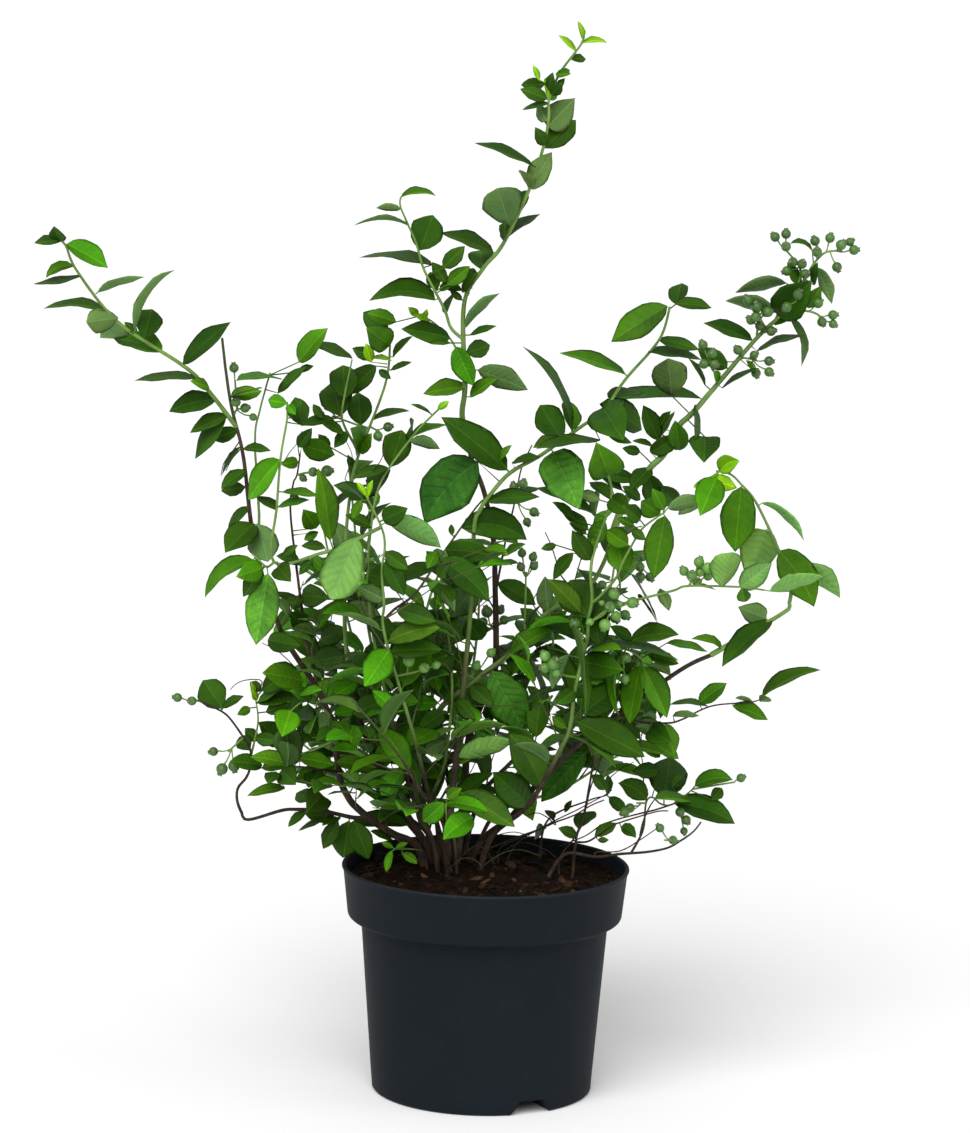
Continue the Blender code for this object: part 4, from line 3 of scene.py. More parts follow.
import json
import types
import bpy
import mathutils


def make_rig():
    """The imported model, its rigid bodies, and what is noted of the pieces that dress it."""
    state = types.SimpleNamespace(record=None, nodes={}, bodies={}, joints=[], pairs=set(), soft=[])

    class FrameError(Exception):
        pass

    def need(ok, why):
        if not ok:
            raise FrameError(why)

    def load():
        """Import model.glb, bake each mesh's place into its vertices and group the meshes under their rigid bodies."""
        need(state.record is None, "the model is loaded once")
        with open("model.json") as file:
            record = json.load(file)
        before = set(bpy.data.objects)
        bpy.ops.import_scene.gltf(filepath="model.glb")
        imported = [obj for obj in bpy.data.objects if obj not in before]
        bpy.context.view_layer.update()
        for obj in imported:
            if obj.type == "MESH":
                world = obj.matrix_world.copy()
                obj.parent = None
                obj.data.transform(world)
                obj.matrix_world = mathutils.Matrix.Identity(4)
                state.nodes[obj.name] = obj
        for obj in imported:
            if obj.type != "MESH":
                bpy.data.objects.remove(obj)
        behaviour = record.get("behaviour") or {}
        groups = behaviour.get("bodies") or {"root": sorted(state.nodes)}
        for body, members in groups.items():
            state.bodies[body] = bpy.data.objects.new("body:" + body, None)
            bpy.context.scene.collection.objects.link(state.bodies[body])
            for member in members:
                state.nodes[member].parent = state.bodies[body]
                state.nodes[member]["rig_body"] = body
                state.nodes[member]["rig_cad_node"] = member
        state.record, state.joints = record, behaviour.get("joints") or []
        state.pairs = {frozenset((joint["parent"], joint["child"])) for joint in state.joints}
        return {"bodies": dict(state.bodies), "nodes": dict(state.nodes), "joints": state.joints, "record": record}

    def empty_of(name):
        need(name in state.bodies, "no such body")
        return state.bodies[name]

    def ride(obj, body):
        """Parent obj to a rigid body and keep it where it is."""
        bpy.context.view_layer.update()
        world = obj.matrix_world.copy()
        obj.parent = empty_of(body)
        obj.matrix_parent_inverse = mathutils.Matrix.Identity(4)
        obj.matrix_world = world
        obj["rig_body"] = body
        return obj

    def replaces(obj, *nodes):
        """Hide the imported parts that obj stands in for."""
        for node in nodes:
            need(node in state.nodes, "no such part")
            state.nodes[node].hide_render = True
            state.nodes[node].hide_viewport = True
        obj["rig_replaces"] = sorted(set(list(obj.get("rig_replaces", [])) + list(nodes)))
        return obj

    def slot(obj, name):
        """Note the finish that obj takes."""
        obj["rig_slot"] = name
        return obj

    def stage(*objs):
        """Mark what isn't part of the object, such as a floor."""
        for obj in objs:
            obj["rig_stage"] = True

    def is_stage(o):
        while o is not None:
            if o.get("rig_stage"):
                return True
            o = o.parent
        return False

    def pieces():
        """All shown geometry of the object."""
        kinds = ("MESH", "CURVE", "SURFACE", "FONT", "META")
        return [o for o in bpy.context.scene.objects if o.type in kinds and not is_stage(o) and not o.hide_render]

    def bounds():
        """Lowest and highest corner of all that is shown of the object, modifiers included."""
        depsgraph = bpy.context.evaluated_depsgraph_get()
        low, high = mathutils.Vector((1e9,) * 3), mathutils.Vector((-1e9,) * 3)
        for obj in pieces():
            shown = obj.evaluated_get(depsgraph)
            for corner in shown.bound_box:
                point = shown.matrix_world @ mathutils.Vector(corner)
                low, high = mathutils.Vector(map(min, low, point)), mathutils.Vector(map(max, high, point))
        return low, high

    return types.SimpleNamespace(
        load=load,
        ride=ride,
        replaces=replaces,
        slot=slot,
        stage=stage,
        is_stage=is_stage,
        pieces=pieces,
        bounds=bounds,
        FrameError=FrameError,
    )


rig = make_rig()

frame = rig.load()
solid_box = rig.bounds()

import json
import math
from collections import defaultdict
from itertools import accumulate

import bmesh
import bpy
from mathutils import Matrix, Vector, noise

# Stems: radius at root and tip in mm, clear length at the root in tenths of a millimetre, whether the stem
# ends behind the pot or before it, and its node where that has another name; then its line in tenths of a
# millimetre.
STEMS = """
cane_left: 3.7 2.1 0 front; -486 60 1764; -553 42 1938; -732 -2 2028; -898 -42 2145; -1032 -77 2262; -1095 -99 2353;
 -1151 -128 2493; -1209 -206 2888; -1272 -262 3095; -1373 -322 3301; -1597 -436 3669; -1742 -550 4074
cane_inner_left: 2.6 1.5 0 back; -458 360 1767; -512 375 1908; -891 460 2321; -1136 513 2629; -1344 571 3058;
 -1463 620 3450
stem_tall: 3.8 2 0 front; -234 140 1776; -187 168 2195; -165 202 2671; -115 218 2893; 12 202 3235; 47 193 3421;
 26 160 4037; 13 170 4312; -66 184 4703; -173 194 4974; -207 200 5130
shoot_thick: 3.4 1.9 0 back; -393 240 1761; -446 194 1973; -532 90 2173; -569 -80 2639; -556 -90 2768;
 -396 -112 3030; -312 -122 3129; -83 -125 3316; 308 2 3610; 391 47 3763; 507 89 3845; 654 139 3911; 786 192 4024;
 877 250 4184; 929 300 4336
cane_right_low: 3 1.8 0 front; -124 200 1771; -13 141 1985; 183 15 2172; 335 -87 2405; 636 -264 2765; 915 -356 3026;
 1454 -494 3463; 1693 -550 3603
twig_left: 1.9 0.9 3 front; -1742 -550 4074; -1837 -595 4504; -1909 -655 5087; -2010 -700 5511; -2073 -750 5986
shoot_far_left: 1.4 0.7 67 front; -1961 -678 5305; -2187 -802 5612; -2352 -880 5783; -2832 -1067 6123;
 -3126 -1217 6511; -3203 -1280 6700; -3246 -1300 6746
twig_left_second: 1.2 0.7 0 front twig_left; -1820 -587 4426; -1789 -493 4567; -1848 -125 5136; -1820 19 5353;
 -1755 200 5622
shoot_left: 2.1 0.8 0 front; -312 20 1781; -360 -60 2039; -443 -294 2368; -564 -600 2900; -801 -903 3758;
 -812 -956 4005; -831 -970 4275; -812 -980 4468; -844 -987 4613; -953 -1000 4826
shoot_left_light: 1.5 0.8 17 front; -842 -987 4606; -1110 -1044 4472; -1281 -1079 4412; -1639 -1148 4347;
 -1620 -1204 4788; -1593 -1241 5170; -1551 -1267 5437; -1552 -1280 5574
spur_left: 1 0.7 0 front shoot_left_light; -1639 -1148 4347; -1689 -1190 4314; -1740 -1233 4365; -1800 -1240 4418
twig_inner_left: 1.4 0.7 3 back; -1463 620 3450; -1597 672 4402; -1586 687 4680; -1556 691 4760; -1535 700 4919
shoot_inner_left: 2.4 0.8 0 back; -424 130 1774; -495 109 1970; -556 116 2060; -817 214 2431; -934 250 2663;
 -1062 304 3055; -1146 379 3557; -1154 488 4279; -1118 533 4718; -1067 548 4947; -869 582 5502; -836 600 5818
shoot_inner_second: 1.2 0.6 0 front shoot_inner_left; -1061 549 4965; -1179 399 5199; -1192 315 5345; -1120 200 5737
shoot_mid_left: 2.2 0.8 0 front; -374 -100 1756; -416 -117 2001; -586 -189 2382; -750 -285 2992; -882 -318 3546;
 -942 -334 3939; -955 -346 4253; -930 -341 4564; -888 -332 4796; -799 -324 4975; -589 -310 5264; -424 -300 5436
shoot_top: 1.9 0.7 3 front; -207 200 5130; -257 182 5327; -239 161 5564; -259 106 6192; -125 69 6469; 33 34 6676;
 223 -28 7099; 329 -68 7448; 362 -89 7678; 359 -99 7792; 438 -119 8000; 585 -143 8208; 614 -150 8284
shoot_top_left: 1.2 0.6 38 front; -250 130 5917; -354 84 6013; -413 28 6173; -568 -87 6473; -633 -202 6689;
 -749 -356 6965; -750 -400 7052
shoot_young: 1 0.6 0 back shoot_top; -243 148 5713; -365 246 5919; -522 346 6046; -617 400 6078
shoot_arching: 2.3 0.8 0 front; -279 -140 1764; -297 -156 2025; -161 -397 3826; -144 -497 4533; -101 -519 4684;
 -27 -539 4804; 121 -573 4981; 354 -625 5131; 680 -738 5389; 769 -766 5440; 827 -790 5505; 970 -866 5745;
 1213 -977 6063; 1286 -1050 6320
shoot_centre: 1.8 0.9 0 front; -329 80 1778; -372 51 2047; -435 -12 2294; -342 -74 2603; -293 -166 3038;
 -289 -187 3220; -303 -183 3455; -329 -200 3655
twig_centre: 1.1 0.7 22 front; -807 -930 3886; -733 -861 3960; -607 -765 4040; -518 -676 4143; -392 -538 4325;
 -118 -336 4696; -42 -300 4740
twig_dark_centre: 1.1 0.6 66 back; 30 166 3925; 119 447 4392; 157 510 4543; 214 565 4854; 296 600 5050
shoot_right: 2.1 0.8 0 front; -44 -40 1759; 54 -110 2065; 334 -298 2361; 561 -502 2842; 626 -534 3015;
 656 -587 3315; 737 -660 3718; 740 -689 3878; 767 -709 4037; 758 -737 4349; 890 -782 4819; 862 -800 5012
shoot_right_top: 1.9 0.7 3 back; 929 300 4336; 980 339 4521; 1056 374 4684; 1224 431 4909; 1332 461 5019;
 1445 493 5238; 1583 511 5381; 2025 566 5921; 2254 581 6160; 2478 600 6540
shoot_right_mid: 1.3 0.7 38 front; 763 -706 4014; 822 -738 4067; 947 -823 4236; 989 -875 4360; 1081 -934 4555;
 1146 -959 4651; 1292 -1000 4767
shoot_right_tip: 1.7 0.6 3 front; 1693 -550 3603; 2231 -618 3952; 2273 -630 4025; 2284 -647 4136; 2247 -671 4294;
 2007 -747 4792; 1863 -774 4969; 1785 -787 5037; 1678 -800 5060
shoot_right_light: 1.2 0.7 33 front; 739 -682 3838; 865 -745 3952; 1014 -809 4035; 1363 -952 4158; 1480 -1020 4210;
 1859 -1245 4246; 2033 -1350 4244
twig_right_thin: 1.1 0.5 70 front; 915 -356 3026; 1030 -323 3077; 1172 -284 3017; 1392 -228 3003; 1509 -196 3031;
 1735 -126 3126; 2051 -27 3146; 2130 0 3174
shoot_right_inner: 1.2 0.7 36 front; 702 -629 3543; 772 -617 3596; 875 -603 3634; 993 -589 3649; 1086 -570 3617;
 1173 -550 3553
twig_low_right: 1.3 0.7 0 back; 686 100 1681; 710 110 2010; 759 132 2143; 822 185 2535; 819 203 2652; 785 222 2768;
 721 240 2859
twig_low_right_thin: 0.9 0.5 0 front twig_low_right; 707 109 1971; 809 0 2005; 975 -221 2176; 1051 -305 2228;
 1301 -447 2343; 1399 -500 2364
twig_back_right: 1.1 0.5 0 back; 430 620 1677; 491 603 2035; 820 515 2224; 946 478 2275; 966 450 2379
twig_over_rim: 1.3 0.5 0 front; 489 0 1691; 626 -22 1900; 864 -59 1890; 1050 -89 1925; 1251 -162 1961;
 1411 -241 2014; 1508 -295 2084; 1604 -353 2170; 1661 -400 2261
shoot_low_right: 1 0.6 17 front; 1135 -120 1940; 1228 -25 2106; 1249 73 2302; 1296 82 2350; 1368 87 2294;
 1463 91 2295; 1617 100 2417
twig_low_left: 1.8 0.7 64 front; -937 -53 2180; -1031 -74 2166; -1274 -132 2227; -1484 -181 2247; -1600 -208 2242;
 -1855 -270 2176; -1910 -289 2242; -1941 -315 2341; -1934 -342 2442; -1871 -370 2527; -1840 -394 2612;
 -1832 -423 2720; -1855 -445 2803; -1977 -509 3001; -2061 -542 3084; -2242 -600 3177
shoot_low_left: 1.3 0.7 44 front; -1158 -137 2542; -1448 -509 2651; -1537 -589 2650; -1682 -750 2570
shoot_mid_left_low: 1.2 0.6 42 back; -1196 -189 2804; -1414 46 2659; -1493 116 2636; -1558 171 2672; -1684 300 2796
shoot_left_cluster: 1 0.6 0 front twig_low_left; -1833 -420 2712; -1788 -292 2956; -1816 -250 3152
shoot_left_bright: 1.2 0.6 54 front; -1205 -201 2863; -1225 -514 3057; -1292 -767 3182; -1365 -863 3237;
 -1438 -926 3232; -1502 -1000 3183
shoot_front_low: 1.2 0.6 0 front; -224 -220 1753; -250 -384 2086; -305 -684 2280; -314 -800 2446
sprig_front: 1.1 0.6 0 front; -460 -80 1764; -500 -160 1928; -713 -480 2014
shoot_back_left: 2.2 0.8 0 back; -364 400 1768; -449 582 2199; -792 1058 2652; -1035 1356 3085; -1188 1605 3534;
 -1322 1754 3921; -1416 1900 4311
shoot_back_mid: 2.2 0.8 0 back; -268 440 1754; -286 656 2189; -388 1137 2563; -483 1472 2993; -536 1760 3439;
 -423 1928 3830; -306 2050 4105
shoot_back_right: 2.2 0.8 0 back; -173 400 1756; -44 631 2216; 339 1165 2573; 820 1774 3299; 979 1951 3689;
 1038 2150 4160
shoot_back_low_right: 1.8 0.8 0 back; -93 340 1764; 90 564 2103; 590 1068 2185; 997 1369 2381; 1327 1600 2508
shoot_back_low_left: 1.8 0.8 0 back; -442 310 1764; -442 375 1885; -501 464 1969; -705 699 2068; -1136 1039 2255;
 -1659 1500 2547
shoot_back_high: 2.2 0.8 0 back; -309 470 1766; -329 496 1891; -322 519 2019; -273 563 2283; -185 763 2804;
 -133 877 3207; -98 957 3609; -97 1040 4138
shoot_back_inner: 2 0.8 0 back; -396 460 1767; -582 565 2284; -799 714 2803; -879 776 3071; -968 849 3482;
 -1020 882 3758; -1065 892 4039; -1160 840 4909
shoot_front_mid: 1.8 0.7 0 front; -294 -200 1753; -337 -372 2197; -516 -787 2548; -708 -997 2898; -1035 -1200 3315
"""

# Leaves that show, by stem: base and tip in picture points, width and tone; then, where they aren't 0, how far
# the blade leans and rolls from facing the eye in degrees, and where its middle swings aside.
LEAVES = """
shoot_far_left: 61 241 34 243 10 D; 61 241 54 226 14 D -9; 67 244 108 268 20 B; 73 266 46 278 10 M 0 0 -4 -7;
 81 276 33 284 7 D 0 0 0 3; 98 292 145 277 8 G; 108 311 43 309 9 M 0 0 0 -8; 118 322 100 338 32 G;
 135 331 175 270 8 G 0 0 -9 -12; 144 338 152 309 26 D; 137 334 124 322 8 D; 162 352 112 337 12 M 28 -16;
 183 364 231 322 18 D; 196 378 134 381 9 D; 209 388 190 381 8 M -40 -16; 216 400 169 412 20 D 0 0 -2 -4;
 228 416 190 433 20 D -9 32; 226 417 195 459 16 D; 118 318 86 322 24 G
twig_left: 230 398 263 388 12 M -40 32; 245 487 221 491 14 D; 250 508 229 540 9 D 18 0 -5 -2; 240 447 222 475 5 D;
 254 524 225 553 26 D -18; 258 524 268 562 30 G; 231 397 262 391 11 M 28 -16; 243 449 271 451 9 D;
 246 470 221 489 13 D -28; 238 430 214 440 15 D
twig_left_second: 281 379 236 381 7 M -40 0 0 -4; 278 393 307 366 10 D; 299 362 328 328 20 M -9; 298 372 314 366 7 D
shoot_left_light: 287 403 268 400 14 B; 288 405 296 415 10 B; 303 425 295 397 20 D; 280 460 248 500 30 B 0 32;
 277 510 256 496 10 D 40; 278 507 310 500 8 M; 283 492 320 497 8 M; 278 567 291 582 20 D; 357 537 331 600 42 P -18;
 330 540 318 468 22 M; 283 556 298 545 8 D; 325 548 301 546 10 D; 312 556 326 572 12 M 0 -16;
 290 418 302 400 14 D 28; 312 560 299 575 9 D
shoot_left: 389 521 441 548 22 P 0 0 3 -4; 383 520 408 508 20 D; 389 650 364 687 28 B; 366 496 356 482 6 L;
 368 496 373 480 6 L -18; 389 641 441 628 22 O 0 0 0 -6; 390 652 443 650 20 D; 397 712 372 690 16 B;
 410 745 436 730 22 M 18; 385 600 356 585 18 G; 386 560 404 596 20 D; 385 552 409 570 16 D; 362 500 352 520 10 M;
 418 703 402 697 12 M
twig_inner_left: 316 528 303 509 18 M; 318 532 304 540 9 M; 299 500 289 492 6 D -18; 302 595 330 598 22 D;
 306 628 288 612 18 D; 304 600 284 606 8 D -40 -16; 302 445 335 455 22 M; 298 462 280 464 12 M;
 298 447 312 428 13 D; 290 608 278 629 11 D; 300 562 276 556 10 D -28 -16
shoot_inner_left: 388 330 363 312 20 D; 390 345 366 328 26 M; 393 357 413 336 7 D; 391 370 412 362 6 D;
 372 420 410 411 7 D; 361 425 358 392 24 D; 371 362 366 343 11 L; 357 452 350 428 16 M -28; 357 452 372 433 16 M;
 372 502 333 485 16 D -18; 345 606 384 621 20 G; 347 560 333 520 18 G 28 -16; 345 655 312 662 26 D -9;
 346 630 320 640 20 D; 350 682 303 702 15 B; 353 700 336 704 12 M; 376 366 346 395 20 D 9; 374 358 352 348 13 D 9;
 372 357 392 361 5 L -18; 379 370 391 379 8 D -9; 356 683 326 701 14 B -40 -16
shoot_inner_second: 341 416 332 382 32 D; 345 398 343 365 28 D; 352 358 305 342 10 D; 335 422 300 426 10 D;
 346 432 334 448 12 D; 322 418 313 404 9 D; 320 420 345 436 10 D -18
spur_left: 253 560 205 598 15 M 0 0 -9 -8; 262 568 236 577 22 B; 268 574 256 645 32 F; 262 570 243 597 16 D -9
shoot_mid_left: 438 409 449 401 7 L; 430 413 410 404 4 D; 413 437 414 420 16 D 9 50; 413 436 448 425 8 M 28;
 410 441 440 449 12 G; 390 467 402 430 28 D; 388 468 352 478 11 D; 390 470 366 495 14 D 40 -16;
 369 560 340 578 20 G -9; 370 575 404 583 24 D -9; 371 620 398 640 22 D; 379 660 350 668 22 D; 392 712 420 690 22 D;
 386 700 352 714 24 D; 399 745 372 760 22 M; 404 770 382 800 22 B 9; 372 527 345 515 12 D -18;
 395 705 372 692 9 P 28 -16
shoot_top: 582 38 578 21 6 L 28; 582 43 607 43 6 L 0 0 2 -4; 576 51 558 35 6 L; 571 59 586 59 5 D 40 -32;
 562 72 570 70 4 M 40 -16; 556 74 571 74 5 M -40 -32; 539 80 533 65 6 L; 547 99 520 89 14 D; 549 100 548 78 12 B 40;
 552 95 562 82 8 D -40 -32; 549 103 522 110 6 D; 548 127 575 98 28 G; 545 148 576 120 24 D 9; 533 166 474 143 9 D;
 529 189 552 152 22 G 18; 510 225 497 188 38 G; 512 222 526 190 14 D 40 -16; 503 240 541 214 12 D 40;
 504 240 506 222 9 D -40 16; 493 252 440 233 14 D; 483 270 480 250 24 M; 466 285 474 268 14 D; 462 290 442 288 8 D;
 466 327 500 293 10 G; 470 335 497 326 7 D; 456 347 474 386 22 B 0 -16; 466 353 490 345 18 D; 478 370 528 390 22 G;
 470 397 498 378 12 M -9; 466 387 423 394 16 M; 472 446 490 458 12 M; 450 343 430 344 6 D -9; 545 84 521 85 13 D 9;
 549 90 553 72 9 D -18; 556 90 565 78 7 D 9; 548 98 545 80 9 L 9 32; 547 121 537 104 14 G; 546 145 535 127 13 D;
 530 188 521 170 11 G -40; 520 200 505 187 14 D; 462 292 478 272 10 D -18; 462 300 450 291 7 D
shoot_young: 418 315 408 307 8 L; 450 338 401 329 14 D -18 -16; 437 328 444 344 8 M 28; 396 322 366 313 15 M;
 430 325 413 314 7 L; 424 322 427 309 5 L 28 -16
shoot_top_left: 401 197 436 196 7 M 0 0 0 -7; 401 209 376 208 8 G; 408 225 353 226 10 G 0 16 4 -10;
 420 250 433 215 32 D; 432 265 358 258 9 D 28 0 0 -9; 443 268 465 246 16 D; 435 300 369 301 18 D 0 0 6 -16;
 437 290 430 272 14 D -9; 446 314 456 291 7 D 40; 446 282 432 262 13 D; 447 285 470 266 15 M; 440 291 455 279 9 D 9
shoot_arching: 667 306 611 342 28 M; 676 304 712 308 12 D; 676 304 682 283 18 D 9; 659 340 700 350 12 D;
 648 352 702 360 10 D; 625 374 559 353 13 M; 608 397 645 392 10 D 40; 603 408 624 441 40 D; 562 440 540 405 28 D;
 572 432 522 346 7 D 0 0 14 -4; 570 440 533 448 13 O -40; 553 452 580 510 42 F; 478 462 425 524 54 E 0 0 -10 -9;
 507 470 441 417 30 D; 462 528 527 540 27 D 18 -16 0 -18; 487 501 540 497 15 D; 512 463 540 457 8 D -18;
 470 592 450 618 30 G; 468 618 482 640 18 D 18 -32; 459 757 514 741 20 P; 458 700 476 720 16 D -9 -16;
 455 765 474 745 16 M 28 -16; 461 793 515 827 26 O -9; 572 430 566 399 17 M 40; 600 404 642 430 26 D 40;
 600 440 536 449 11 D -28; 610 437 632 443 8 D; 500 460 512 445 7 M -9
shoot_centre: 445 712 418 728 20 D -28 -16; 447 740 424 752 18 G; 451 700 430 676 18 D 9; 451 668 474 652 18 D;
 440 778 420 765 14 M 9; 447 655 420 664 18 M
twig_centre: 440 560 489 602 28 D 0 0 6 -6; 445 550 494 557 26 D 0 -16 0 -6; 438 568 386 587 14 D 28;
 436 552 427 569 14 M; 397 610 437 622 20 D -9; 452 535 451 524 6 D; 432 580 455 612 14 G; 430 584 442 594 10 D
twig_dark_centre: 503 556 526 544 8 M -18; 498 583 536 605 20 D; 515 495 540 488 8 D 40
shoot_thick: 492 671 524 730 40 F; 524 648 551 720 15 D 0 16; 438 703 400 706 16 B; 548 612 545 576 16 G -9;
 417 770 398 790 18 D 28 50; 418 745 396 728 20 M 18; 425 730 448 738 18 D 9; 470 686 494 706 18 D;
 540 624 520 608 14 D; 512 674 500 664 9 D
shoot_right: 609 475 596 442 34 M; 572 626 585 716 15 O -40 16; 583 714 620 684 28 D; 583 662 624 670 28 D -9;
 588 618 570 580 38 O; 541 788 508 733 32 D 18 0 8 -6; 577 722 645 757 32 D; 530 806 493 772 32 D;
 568 655 552 690 14 G; 575 690 556 704 16 D; 590 560 572 530 18 D -9; 611 498 632 515 20 D; 588 530 560 510 12 D;
 590 545 605 520 18 M; 600 500 578 492 12 G; 592 513 535 488 13 D; 575 520 552 502 9 D -9; 612 500 589 482 12 D 40;
 580 612 547 579 20 O; 573 553 553 580 13 D; 556 545 541 549 8 D; 566 728 552 716 11 M; 586 534 569 523 10 D 0 16
shoot_right_top: 786 283 735 293 13 G; 775 312 725 301 14 G; 752 340 703 323 14 D; 727 368 697 348 18 D;
 757 351 806 336 7 D 0 0 0 -6; 790 318 801 367 8 D 0 0 12 -4; 818 268 832 304 13 G; 812 250 790 244 5 D 0 0 0 -8;
 705 385 688 358 5 D; 722 388 760 368 5 D -9; 778 315 812 280 34 D; 775 325 795 310 12 D 28;
 695 405 695 440 7 D -40; 705 437 704 463 34 D -124; 658 440 643 405 18 D; 658 440 675 411 8 M 28;
 650 452 680 435 18 D -9 -16; 680 450 675 420 20 M; 648 474 658 505 22 D; 662 486 674 504 20 D -9;
 650 468 630 490 14 D -40 -16; 672 396 668 358 34 G; 700 398 602 402 12 D; 640 452 622 448 10 D;
 635 480 600 475 14 D; 652 446 632 441 6 D; 657 432 645 406 14 D 9; 660 426 671 411 8 D -9; 622 490 598 474 9 D 9;
 800 286 787 262 11 D; 808 308 821 286 13 D; 814 285 818 262 8 D -18; 640 500 622 486 11 D -18;
 718 383 713 371 8 M -28; 755 372 746 360 6 M 9
shoot_right_mid: 665 516 654 579 28 M; 660 514 641 501 22 M; 668 508 705 499 14 G 9; 664 510 652 488 14 M;
 632 575 658 624 10 D 28 16; 623 572 617 538 26 M; 632 530 646 540 10 D; 628 545 606 530 20 M; 640 520 622 505 16 D;
 634 526 617 518 9 M
shoot_right_tip: 720 472 740 461 18 L 0 0 -2 -8; 708 478 737 488 16 L 9; 716 478 700 516 28 B; 706 484 693 487 9 L;
 741 487 735 552 34 M; 762 503 804 541 8 P 0 0 4 -9; 779 551 814 607 34 M -9 0 6 -5; 795 570 840 598 20 P 0 0 5 -9;
 772 620 722 667 20 D -28; 766 618 738 607 22 G; 722 649 691 639 8 M 0 0 5 -5; 702 498 678 515 14 G;
 766 530 747 580 36 P
shoot_right_light: 722 587 732 552 28 P; 660 589 669 611 12 G 18; 770 591 824 576 15 P; 740 587 772 563 22 P;
 742 588 745 602 14 M; 700 586 716 590 8 M 40 32; 638 595 657 623 8 D 28 16
twig_right_thin: 699 703 727 683 16 M; 733 706 768 720 14 M 9; 762 697 821 670 13 M 0 0 -6 -6;
 752 701 735 698 5 G 18; 760 701 770 698 9 G -9; 707 706 669 705 6 M 0 0 0 -5; 673 716 700 716 7 G -28;
 660 724 634 727 12 G 28; 650 729 672 743 22 D; 665 724 674 756 12 M
shoot_right_inner: 592 647 680 661 9 D 0 0 0 -8; 631 641 679 635 18 D 0 0 0 -6; 667 643 708 652 8 M;
 648 655 679 664 14 D; 643 667 667 718 24 M; 641 666 630 725 24 M; 632 640 610 626 12 D -9
twig_low_right: 586 752 541 802 28 E; 592 775 606 790 12 D 9; 590 752 612 765 26 D; 592 765 575 742 20 D;
 578 828 594 811 15 D 18; 577 836 558 828 11 D -28
twig_low_right_thin: 595 836 617 823 12 D 18; 621 827 636 838 12 D 0 0 3 -4; 598 840 609 840 6 D
twig_back_right: 545 828 535 838 10 D 18; 565 812 572 800 6 D; 553 820 546 810 8 D 18; 609 797 627 812 12 D;
 608 775 607 796 8 D -18
shoot_low_right: 664 797 671 757 38 D; 660 770 632 771 16 D -9; 646 800 618 783 20 D 0 0 6 -6;
 674 803 735 824 24 D 9 0 4 -6; 695 786 733 780 15 M 0 0 0 -8; 712 800 722 788 16 D -18; 672 787 682 776 12 D -9;
 690 801 654 799 11 M -40
twig_low_left: 222 708 203 680 28 D; 223 708 244 696 9 D; 250 750 239 737 20 D -9; 306 812 288 827 9 D;
 325 819 298 831 6 D; 338 821 323 849 16 D; 349 821 343 858 26 D -9; 354 822 369 860 22 D -9; 312 800 296 793 16 D;
 322 795 306 813 26 O; 340 818 322 826 10 D -40 16; 262 765 229 762 16 D -28; 262 768 295 762 13 M;
 335 819 305 814 9 D 28 -32
shoot_low_left: 290 764 250 757 15 M; 299 758 335 765 16 M; 325 775 294 782 20 M -9; 285 788 247 796 10 M;
 282 770 296 785 22 D; 276 772 268 784 14 D -9; 337 762 375 768 16 M -18; 318 770 308 788 18 D 0 16
shoot_mid_left_low: 280 742 258 722 22 D; 328 742 311 748 12 M 28 50; 308 752 334 754 10 D 18; 303 730 318 742 16 D
shoot_left_cluster: 258 702 298 676 10 M; 258 703 298 697 18 D 0 16; 254 696 251 682 6 L; 250 708 237 715 9 M;
 256 738 280 741 14 D; 262 690 294 672 18 D -28; 257 700 252 690 5 L -40 -32; 262 691 250 682 10 D;
 266 712 292 704 13 D; 258 741 245 728 12 D
shoot_left_bright: 290 711 282 737 26 B; 308 704 300 720 20 D; 322 708 310 734 20 M -18 32; 312 698 290 690 14 D -9;
 330 716 322 735 18 O 9; 300 694 322 690 9 B -40
shoot_front_low: 444 803 423 822 20 B; 448 803 489 812 15 B 0 0 0 -4; 473 818 443 840 19 B -40 -32 -5 -3;
 447 797 462 788 12 M
sprig_front: 393 848 381 842 6 M; 392 851 386 873 8 B; 402 853 418 864 9 M; 396 848 408 843 6 M
shoot_back_inner: 349 456 351 473 8 D -28; 330 447 318 434 9 D
shoot_back_low_right: 655 745 679 759 13 M; 630 746 665 755 11 M; 660 757 641 744 11 M
shoot_back_right: 512 776 533 821 22 M; 540 696 527 686 9 M; 602 600 617 588 10 M
cane_left: 268 640 301 646 20 D; 303 681 262 673 15 M -40 -32; 392 840 370 831 13 D 0 50
stem_tall: 492 722 485 706 11 D
"""

